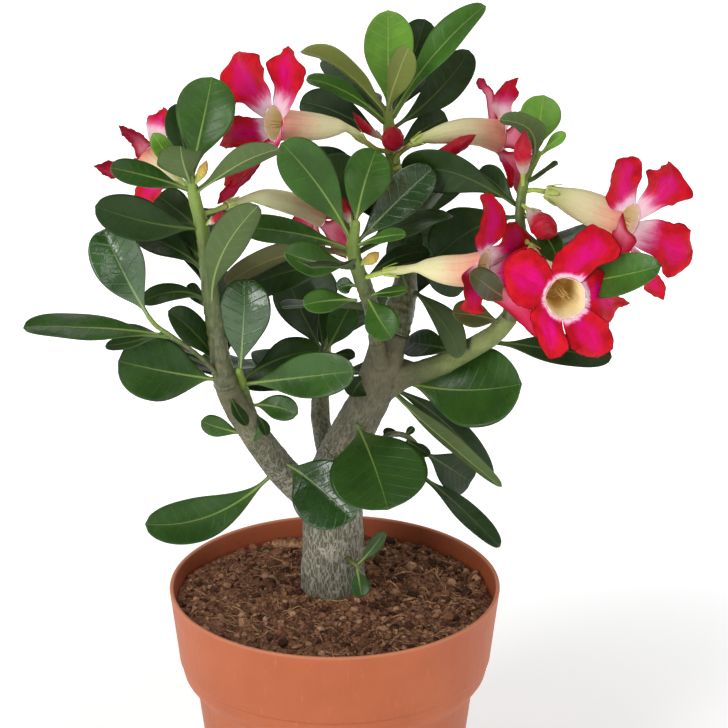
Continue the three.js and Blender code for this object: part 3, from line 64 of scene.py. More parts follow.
# leaves: name, node, stem, foot, bend, tip, width, upper-face normal, tone
LEAVES = [
    ['top_1', 'leaf_top_1', 'M', [20.74, 26.81, 300.97], [20.69, 38.82, 317.64], [20.65, 39.82, 337.87], 19.3, [0.133, -0.935, 0.33], 'L'],
    ['top_2', 'shoot_top', 'M', [20.94, 25.11, 302.53], [22.85, 19.7, 315.66], [28.39, 13.4, 331.12], 11.3, [0.583, 0.794, 0.173], 'Y'],
    ['top_3', 'shoot_top', 'M', [21.22, 26.54, 299.17], [29.22, 46.22, 312.44], [35.02, 54.89, 329.63], 16.1, [0.127, -0.754, 0.644], 'D'],
    ['top_4', 'leaf_top_4', 'M', [21.92, 25.27, 298.3], [37.83, 26.82, 328.04], [57.58, 28.22, 343.0], 15.3, [-0.661, -0.5, 0.56], 'M'],
    ['top_5', 'leaf_top_5', 'M', [22.08, 25.71, 294.73], [42.08, 40.8, 303.91], [51.82, 44.6, 320.4], 15.1, [0.329, -0.901, 0.282], 'D'],
    ['top_6', 'leaf_top_6', 'M', [19.92, 25.32, 301.89], [5.47, 17.52, 325.47], [-11.7, 9.12, 331.69], 15.0, [0.276, 0.691, 0.668], 'Y'],
    ['top_7', 'shoot_top', 'M', [19.71, 24.97, 297.06], [3.34, 23.17, 314.53], [-10.46, 21.07, 316.01], 9.1, [0.51, -0.48, 0.714], 'M'],
    ['top_8', 'shoot_top', 'M', [19.82, 25.98, 298.1], [8.06, 34.52, 313.62], [-4.63, 43.62, 316.7], 11.8, [0.088, -0.662, 0.744], 'D'],
    ['top_9', 'shoot_top', 'M', [20.81, 25.63, 289.09], [3.0, 44.06, 297.15], [-13.33, 51.5, 297.11], 14.1, [-0.376, -0.688, 0.621], 'D'],
    ['top_10', 'shoot_top', 'M', [23.38, 25.11, 286.31], [34.33, 32.7, 293.49], [43.51, 41.0, 294.52], 10.8, [0.382, -0.758, 0.529], 'D'],
    ['right_1', 'leaf_right_1', 'R', [76.27, -7.23, 296.65], [76.96, 1.6, 304.47], [78.88, 3.2, 315.96], 15.4, [-0.026, -0.878, 0.478], 'L'],
    ['right_2', 'shoot_right', 'R', [77.22, -7.96, 296.11], [82.21, -8.0, 300.85], [86.79, -8.0, 304.78], 5.5, [-0.525, -0.626, 0.577], 'L'],
    ['right_3', 'shoot_right', 'R', [73.98, -8.71, 293.27], [79.98, -12.13, 310.7], [61.8, -16.33, 313.1], 12.2, [0.223, 0.856, 0.466], 'O'],
    ['right_4', 'shoot_right', 'R', [72.73, -9.21, 285.91], [79.19, -12.58, 291.59], [83.57, -16.78, 296.03], 4.5, [-0.729, -0.153, 0.667], 'D'],
    ['right_5', 'leaf_right_5', 'R', [68.72, -9.99, 276.89], [43.79, -1.61, 293.09], [25.8, -1.12, 286.95], 18.2, [-0.217, -0.974, -0.068], 'D'],
    ['right_6', 'shoot_right', 'R', [68.9, -9.5, 276.75], [61.52, -3.07, 283.06], [54.55, 4.06, 285.52], 11.3, [-0.356, -0.743, 0.567], 'D'],
    ['right_7', 'leaf_right_7', 'R', [69.16, -10.11, 272.36], [53.98, 9.3, 264.7], [39.14, 13.85, 246.68], 22.1, [-0.61, -0.792, -0.026], 'D'],
    ['right_8', 'shoot_right', 'R', [71.2, -13.09, 269.37], [73.71, -16.69, 263.67], [80.42, -27.13, 260.24], 6.6, [0.274, -0.392, 0.878], 'R'],
    ['right_9', 'shoot_right', 'R', [71.38, -11.47, 273.85], [82.44, -19.15, 267.26], [83.12, -36.16, 264.19], 9.0, [-0.446, -0.61, 0.655], 'N'],
    ['right_10', 'leaf_right_10', 'R', [71.72, -17.0, 246.31], [96.31, -66.0, 266.89], [118.52, -71.0, 275.78], 15.5, [-0.794, -0.5, 0.345], 'M'],
    ['right_11', 'shoot_right', 'R', [67.25, -18.0, 241.04], [58.5, -50.0, 257.95], [50.2, -55.0, 267.33], 10.5, [0.833, -0.519, -0.191], 'R'],
    ['right_12', 'shoot_right', 'R', [63.38, -15.5, 231.48], [54.61, -20.33, 237.11], [44.49, -25.93, 239.73], 10.8, [0.574, -0.591, 0.567], 'R'],
    ['right_13', 'leaf_right_13', 'R', [59.85, -11.19, 222.03], [82.19, -12.95, 219.47], [105.73, -14.35, 217.16], 14.9, [0.041, -0.619, 0.785], 'D'],
    ['right_14', 'leaf_right_14', 'R', [46.63, -7.61, 216.72], [37.61, -8.35, 219.44], [27.41, 16.37, 210.46], 12.3, [-0.663, -0.361, 0.656], 'D'],
    ['right_15', 'leaf_right_15', 'R', [26.91, 2.52, 199.62], [49.72, 1.26, 194.09], [71.58, -17.29, 207.27], 31.7, [-0.418, -0.741, 0.525], 'N'],
    ['mid_1', 'leaf_mid_1', 'C', [8.12, -24.55, 273.81], [10.2, -22.26, 287.75], [15.97, -10.07, 298.8], 17.5, [0.169, -0.875, 0.454], 'M'],
    ['mid_2', 'leaf_mid_2', 'C', [6.29, -25.0, 268.98], [-4.75, -27.0, 292.97], [-19.03, -27.0, 307.4], 18.8, [0.363, -0.912, 0.192], 'M'],
    ['mid_3', 'leaf_mid_3', 'C', [6.06, -23.83, 264.16], [-14.38, -23.09, 272.24], [-34.88, -27.44, 274.25], 12.9, [0.242, -0.586, 0.774], 'N'],
    ['mid_4', 'leaf_mid_4', 'C', [7.01, -23.51, 258.63], [-5.23, -30.57, 259.95], [-18.02, -38.27, 268.82], 12.7, [0.582, -0.685, 0.438], 'M'],
    ['mid_5', 'leaf_mid_5', 'C', [8.35, -23.47, 266.22], [20.85, -14.52, 277.83], [37.38, -4.72, 289.81], 15.7, [0.159, -0.859, 0.487], 'G'],
    ['mid_6', 'shoot_middle', 'C', [8.55, -24.87, 266.01], [18.72, -30.62, 272.86], [26.98, -36.92, 275.01], 5.9, [-0.612, -0.452, 0.649], 'M'],
    ['mid_7', 'shoot_middle', 'C', [9.07, -18.97, 242.14], [-1.61, -24.7, 245.08], [-11.26, -31.0, 244.95], 9.5, [0.489, -0.708, 0.51], 'M'],
    ['mid_8', 'shoot_middle', 'C', [12.63, -20.0, 244.25], [16.37, -28.0, 238.94], [21.96, -34.0, 232.88], 13.0, [-0.259, -0.707, 0.658], 'M'],
    ['mid_9', 'leaf_mid_9', 'M', [29.41, 9.17, 235.82], [42.99, -1.87, 229.59], [48.28, -17.18, 218.32], 11.8, [0.615, 0.692, -0.379], 'D'],
    ['mid_10', 'shoot_middle', 'C', [7.3, -21.79, 256.59], [-14.46, -13.9, 255.6], [-33.3, -5.5, 241.85], 15.3, [-0.462, -0.795, 0.393], 'D'],
    ['mid_11', 'shoot_middle', 'C', [6.3, -23.23, 262.11], [-17.1, -18.69, 267.02], [-40.55, -13.79, 246.69], 12.8, [-0.0, 0.853, 0.523], 'R'],
    ['mid_12', 'shoot_middle', 'C', [8.32, -20.97, 248.57], [4.76, -23.04, 250.87], [1.4, -25.68, 249.28], 6.4, [0.548, -0.747, 0.376], 'G'],
    ['mid_13', 'shoot_top', 'M', [27.63, 18.72, 254.35], [34.26, 23.11, 249.77], [41.0, 28.71, 239.39], 13.1, [0.505, -0.855, -0.12], 'D'],
    ['mid_14', 'shoot_top', 'M', [29.45, 14.82, 244.45], [38.86, 18.2, 242.15], [49.49, 22.4, 229.35], 13.1, [0.409, -0.909, 0.086], 'D'],
    ['back_1', 'shoot_back', 'S', [-4.97, 42.33, 195.78], [-14.86, 40.28, 215.63], [-19.78, 37.48, 232.71], 17.9, [0.43, -0.901, 0.054], 'D'],
    ['back_2', 'shoot_back', 'S', [-3.41, 42.72, 196.41], [1.85, 39.5, 207.89], [6.8, 35.3, 220.12], 11.8, [-0.267, -0.946, -0.181], 'N'],
    ['back_3', 'shoot_back', 'S', [-4.83, 43.8, 196.91], [-5.55, 47.52, 203.84], [-7.55, 50.72, 211.55], 11.9, [-0.02, -0.842, 0.539], 'D'],
    ['back_4', 'shoot_back', 'S', [-3.15, 40.96, 193.88], [3.01, 38.23, 197.56], [7.96, 34.66, 197.1], 5.5, [-0.49, -0.498, 0.715], 'D'],
    ['back_5', 'leaf_back_5', 'M', [13.9, 1.29, 203.19], [7.65, -1.05, 200.28], [6.89, -5.26, 196.84], 10.0, [0.201, -0.784, 0.587], 'D'],
    ['left_1', 'leaf_left_1', 'L', [-43.57, -28.53, 213.77], [-61.28, -33.79, 218.23], [-80.4, -37.36, 224.97], 24.9, [0.33, -0.848, 0.416], 'N'],
    ['left_2', 'leaf_left_2', 'A', [-33.68, -22.61, 209.49], [-12.56, -31.45, 215.84], [8.14, -40.55, 222.25], 17.4, [-0.459, -0.808, 0.37], 'N'],
    ['left_3', 'leaf_left_3', 'A', [-35.24, -27.0, 217.05], [-33.2, -36.0, 238.91], [-32.95, -26.0, 253.41], 19.4, [0.1, -0.995, 0.021], 'G'],
    ['left_4', 'shoot_left', 'L', [-43.47, -27.92, 218.71], [-49.7, -26.63, 232.13], [-61.44, -35.37, 244.26], 12.0, [0.638, -0.734, 0.235], 'D'],
    ['left_5', 'twig_upper_left', 'A', [-34.2, -23.18, 211.86], [-19.54, -18.6, 220.54], [-5.21, -13.7, 219.77], 13.4, [0.009, -0.658, 0.753], 'D'],
    ['left_6', 'twig_upper_left', 'A', [-31.24, -17.89, 198.67], [-22.66, -22.43, 201.61], [-13.49, -27.33, 199.16], 9.9, [-0.416, -0.756, 0.505], 'N'],
    ['left_7', 'shoot_left', 'L', [-39.35, -27.34, 207.1], [-37.01, -30.79, 201.87], [-32.55, -36.39, 198.11], 5.2, [0.168, -0.629, 0.759], 'D'],
    ['left_8', 'twig_upper_left', 'A', [-30.52, -16.89, 194.86], [-26.03, -20.11, 192.35], [-25.79, -24.01, 188.64], 4.3, [0.068, -0.631, 0.773], 'D'],
    ['left_9', 'sprout_branch', 'L', [-33.8, -14.82, 185.47], [-45.14, -19.47, 190.2], [-50.4, -24.37, 195.0], 8.0, [0.565, -0.806, 0.178], 'M'],
    ['left_10', 'sprout_branch', 'L', [-31.68, -17.08, 185.44], [-31.89, -17.81, 185.33], [-27.75, -21.04, 190.26], 5.7, [-0.2, -0.85, 0.45], 'N'],
    ['left_11', 'leaf_left_11', 'L', [-23.56, -4.88, 164.85], [-46.06, -13.01, 143.73], [-72.75, -22.11, 150.92], 17.4, [0.175, -0.871, 0.459], 'N'],
    ['left_12', 'leaf_left_12', 'B', [-60.05, -42.4, 236.55], [-87.39, -46.07, 242.93], [-114.26, -49.57, 243.14], 12.7, [0.169, -0.492, 0.854], 'N'],
    ['left_13', 'twig_far_left', 'B', [-62.5, -43.71, 238.94], [-73.88, -40.4, 233.05], [-85.14, -36.9, 230.83], 6.0, [-0.424, -0.598, 0.68], 'D'],
    ['left_14', 'leaf_left_14', 'B', [-67.79, -48.0, 246.88], [-76.93, -54.0, 266.17], [-83.93, -42.0, 279.25], 19.4, [0.08, -0.972, 0.22], 'G'],
    ['left_15', 'shoot_left', 'L', [-47.0, -34.9, 248.23], [-58.44, -38.68, 256.92], [-70.57, -42.88, 250.42], 8.2, [0.283, -0.641, 0.713], 'D'],
    ['left_16', 'shoot_left', 'L', [-46.22, -32.73, 243.88], [-51.6, -29.04, 247.19], [-53.61, -24.21, 251.12], 5.2, [-0.207, -0.731, 0.651], 'D'],
    ['left_17', 'leaf_left_17', 'L', [-51.71, -40.18, 300.15], [-47.48, -30.0, 315.21], [-44.03, -27.0, 332.87], 21.6, [0.052, -0.93, 0.363], 'M'],
    ['left_18', 'shoot_left', 'L', [-51.99, -39.46, 298.06], [-55.05, -27.56, 307.98], [-57.8, -25.82, 322.1], 11.0, [0.026, -0.867, 0.498], 'D'],
    ['left_19', 'shoot_left', 'L', [-51.85, -41.23, 296.59], [-54.45, -53.17, 308.42], [-55.19, -47.01, 313.16], 18.1, [-0.326, 0.911, 0.252], 'O'],
    ['left_20', 'shoot_left', 'L', [-50.04, -39.88, 292.8], [-33.85, -52.23, 310.77], [-18.88, -65.16, 318.69], 11.8, [0.153, 0.792, 0.59], 'O'],
    ['left_21', 'shoot_left', 'L', [-52.89, -40.67, 298.55], [-60.53, -43.47, 308.29], [-64.91, -46.27, 317.88], 7.3, [0.331, -0.941, -0.067], 'L'],
    ['left_22', 'shoot_left', 'L', [-52.46, -39.83, 293.5], [-66.73, -45.78, 301.59], [-80.41, -52.08, 306.5], 10.6, [0.533, -0.677, 0.507], 'N'],
    ['left_23', 'leaf_left_23', 'L', [-49.51, -38.71, 278.26], [-66.33, -44.57, 280.78], [-86.32, -50.87, 291.45], 16.2, [0.401, -0.855, 0.33], 'D'],
    ['left_24', 'shoot_left', 'L', [-49.01, -37.21, 277.15], [-57.22, -30.55, 282.48], [-64.94, -22.92, 285.23], 12.8, [-0.23, -0.661, 0.715], 'D'],
    ['left_25', 'shoot_left', 'L', [-48.03, -35.56, 260.94], [-59.98, -35.35, 271.86], [-72.95, -25.05, 270.59], 11.7, [0.008, -0.666, 0.746], 'D'],
    ['left_26', 'shoot_left', 'L', [-47.85, -35.16, 264.51], [-54.0, -29.92, 268.04], [-59.97, -23.6, 272.03], 10.4, [-0.304, -0.723, 0.621], 'D'],
    ['left_27', 'leaf_left_27', 'L', [-44.91, -36.18, 248.29], [-45.28, -47.91, 271.87], [-27.05, -50.78, 291.8], 14.6, [0.018, 0.95, 0.311], 'O'],
    ['low_1', 'leaf_low_1', 'L', [-18.61, -8.5, 170.13], [-6.09, -23.0, 169.06], [7.3, -31.0, 156.81], 27.2, [-0.343, -0.688, 0.639], 'G'],
    ['low_2', 'leaf_low_2', 'M', [8.41, -1.5, 183.93], [15.7, -24.0, 177.83], [20.62, -37.0, 163.65], 38.0, [-0.023, -0.502, 0.865], 'N'],
    ['low_3', 'leaf_low_3', 'M', [20.76, 2.7, 198.09], [37.0, -2.0, 182.46], [64.95, -7.5, 159.95], 9.2, [0.421, 0.871, 0.254], 'O'],
    ['low_4', 'leaf_low_4', 'M', [20.78, 4.5, 197.34], [43.02, 10.0, 184.91], [61.79, 13.0, 154.6], 10.5, [0.369, -0.913, 0.172], 'D'],
    ['low_5', 'twig_right', 'K', [35.07, 16.5, 164.22], [45.59, 21.33, 155.05], [54.05, 29.0, 145.71], 17.0, [0.584, -0.81, 0.051], 'D'],
    ['low_6', 'twig_right', 'K', [33.94, 16.0, 154.13], [47.44, 17.0, 143.3], [65.38, 14.0, 124.23], 9.8, [0.423, -0.759, 0.495], 'D'],
    ['low_7', 'twig_right', 'K', [28.09, 14.58, 170.08], [32.63, 11.91, 167.94], [37.28, 8.41, 166.06], 4.6, [-0.083, -0.628, 0.774], 'D'],
    ['low_8', 'twig_right', 'K', [26.79, 14.72, 171.58], [22.64, 13.23, 173.98], [18.93, 14.46, 174.09], 3.6, [0.199, -0.821, 0.536], 'D'],
    ['low_9', 'twig_right', 'K', [27.46, 15.54, 171.22], [29.14, 16.63, 172.72], [31.11, 18.03, 174.25], 3.2, [0.006, -0.778, 0.629], 'N'],
    ['sprout_1', 'sprout_base', 'P', [9.09, -13.33, 129.4], [14.22, -13.5, 134.77], [19.64, -13.5, 143.96], 5.5, [-0.354, -0.902, 0.246], 'N'],
    ['sprout_2', 'sprout_base', 'P', [8.72, -13.55, 128.42], [9.75, -17.0, 123.76], [10.72, -20.5, 118.99], 7.8, [-0.03, -0.808, 0.589], 'N'],
    ['x_S_0', 'shoot_back', 'S', [-3.59, 36.44, 187.54], [15.9, 33.89, 194.02], [35.38, 31.35, 191.59], 17.9, [-0.103, 0.001, 0.995], 'D'],
    ['x_M_1', 'shoot_top', 'M', [27.53, 18.82, 254.31], [38.14, 35.09, 268.37], [48.76, 51.36, 273.87], 21.2, [0.089, -0.555, 0.827], 'D'],
    ['x_S_2', 'shoot_back', 'S', [-2.54, 47.06, 197.4], [9.87, 65.11, 202.04], [22.28, 83.16, 203.02], 18.8, [-0.123, -0.07, 0.99], 'D'],
    ['x_S_3', 'shoot_back', 'S', [-7.2, 35.66, 187.12], [-30.26, 29.68, 195.54], [-53.32, 23.7, 197.95], 23.8, [0.185, 0.165, 0.969], 'D'],
    ['x_S_4', 'shoot_back', 'S', [-5.93, 38.02, 191.05], [-17.98, 21.92, 199.34], [-30.03, 5.83, 205.0], 19.6, [0.387, 0.107, 0.916], 'D'],
    ['x_L_5', 'shoot_left', 'L', [-45.76, -33.27, 253.07], [-46.59, -12.75, 264.6], [-47.43, 7.76, 269.25], 20.6, [0.123, -0.36, 0.925], 'D'],
    ['x_M_6', 'shoot_top', 'M', [22.11, 6.33, 228.52], [1.13, -0.96, 234.13], [-19.86, -8.25, 234.88], 20.2, [0.051, 0.273, 0.961], 'D'],
    ['x_M_7', 'shoot_top', 'M', [25.27, 18.93, 253.99], [14.01, 36.29, 261.76], [2.75, 53.64, 265.33], 18.7, [0.049, -0.282, 0.958], 'D'],
    ['x_S_8', 'shoot_back', 'S', [-7.81, 32.19, 181.87], [-27.07, 37.39, 186.04], [-46.34, 42.59, 187.71], 18.1, [0.095, -0.194, 0.976], 'D'],
    ['x_M_9', 'shoot_top', 'M', [24.62, 20.47, 259.54], [12.87, 38.87, 268.25], [1.12, 57.26, 271.01], 22.9, [0.137, -0.214, 0.967], 'D'],
    ['x_R_10', 'shoot_right', 'R', [71.56, -13.8, 254.75], [86.34, -1.62, 259.5], [101.12, 10.56, 261.92], 19.0, [-0.303, 0.089, 0.949], 'D'],
    ['x_M_11', 'shoot_top', 'M', [23.34, 20.26, 263.65], [6.79, 25.22, 278.06], [-9.76, 30.18, 285.22], 18.1, [0.543, -0.015, 0.84], 'D'],
    ['x_M_12', 'shoot_top', 'M', [27.86, 16.72, 254.98], [39.47, 13.58, 273.5], [51.07, 10.44, 284.02], 19.4, [-0.764, 0.114, 0.635], 'D'],
    ['x_L_13', 'shoot_left', 'L', [-41.76, -27.74, 220.51], [-38.78, -7.84, 228.06], [-35.81, 12.06, 230.72], 19.9, [-0.431, -0.163, 0.887], 'D'],
    ['x_M_14', 'shoot_top', 'M', [24.49, 9.44, 224.0], [32.57, 32.88, 237.73], [40.66, 56.32, 244.5], 25.7, [0.093, -0.426, 0.9], 'D'],
    ['x_C_15', 'shoot_middle', 'C', [7.01, -22.9, 265.39], [2.58, -9.41, 280.79], [-1.84, 4.08, 292.19], 19.1, [-0.016, -0.707, 0.707], 'D'],
    ['x_S_16', 'shoot_back', 'S', [-4.75, 45.99, 196.92], [-9.6, 65.59, 210.41], [-14.45, 85.19, 219.46], 23.2, [0.166, -0.46, 0.872], 'D'],
    ['x_R_17', 'shoot_right', 'R', [70.46, -14.91, 243.01], [86.56, -2.95, 247.63], [102.65, 9.01, 247.53], 18.6, [-0.195, 0.077, 0.978], 'D'],
    ['x_A_18', 'twig_upper_left', 'A', [-35.7, -22.52, 210.56], [-52.36, -15.34, 213.67], [-69.02, -8.16, 215.04], 17.2, [0.164, 0.075, 0.984], 'D'],
    ['x_R_19', 'shoot_right', 'R', [67.59, -15.78, 244.97], [47.82, -14.16, 252.71], [28.06, -12.55, 252.13], 17.3, [0.178, -0.003, 0.984], 'D'],
    ['x_M_20', 'shoot_top', 'M', [21.07, 26.6, 299.15], [28.01, 51.01, 305.28], [34.95, 75.42, 307.24], 24.8, [0.021, -0.169, 0.985], 'D'],
    ['x_C_21', 'shoot_middle', 'C', [8.83, -22.95, 262.57], [26.43, -13.43, 270.5], [44.03, -3.91, 271.03], 20.6, [-0.176, -0.109, 0.978], 'D'],
    ['x_L_22', 'shoot_left', 'L', [-42.4, -28.89, 225.38], [-40.13, -7.42, 236.0], [-37.87, 14.04, 241.06], 21.8, [-0.053, -0.338, 0.94], 'D'],
    ['x_L_23', 'shoot_left', 'L', [-51.66, -39.46, 298.09], [-47.48, -15.12, 309.78], [-43.3, 9.22, 310.45], 21.9, [-0.373, -0.168, 0.912], 'D'],
    ['x_L_24', 'shoot_left', 'L', [-43.78, -28.3, 218.58], [-64.53, -16.28, 224.54], [-85.27, -4.26, 224.93], 21.5, [0.252, 0.183, 0.95], 'D'],
    ['x_L_25', 'shoot_left', 'L', [-46.65, -33.67, 255.14], [-55.29, -17.95, 269.16], [-63.92, -2.24, 274.01], 17.5, [-0.096, -0.551, 0.829], 'D'],
    ['x_M_26', 'shoot_top', 'M', [20.27, 26.53, 299.13], [8.79, 50.03, 303.28], [-2.69, 73.54, 304.38], 23.8, [0.577, 0.194, 0.793], 'D'],
    ['x_L_27', 'shoot_left', 'L', [-46.1, -33.11, 250.81], [-54.77, -10.09, 261.41], [-63.44, 12.93, 263.22], 22.8, [0.372, -0.109, 0.922], 'D'],
    ['x_C_28', 'shoot_middle', 'C', [8.06, -23.94, 257.48], [0.39, -46.57, 267.26], [-7.28, -69.19, 274.73], 19.9, [0.052, 0.336, 0.94], 'D'],
    ['x_C_30', 'shoot_middle', 'C', [11.12, -20.0, 249.49], [22.81, -9.0, 258.54], [36.56, 2.0, 253.55], 8.5, [0.29, -0.559, 0.777], 'D'],
    ['x_M_31', 'shoot_top', 'M', [27.96, 6.0, 237.38], [22.91, 1.0, 249.93], [30.13, 6.0, 264.29], 13.5, [0.042, -0.999, -0.003], 'D'],
    ['x_C_32', 'shoot_middle', 'C', [13.0, -20.0, 244.25], [19.74, -24.0, 247.02], [27.94, -27.0, 249.39], 4.8, [-0.495, -0.583, 0.644], 'M'],
]
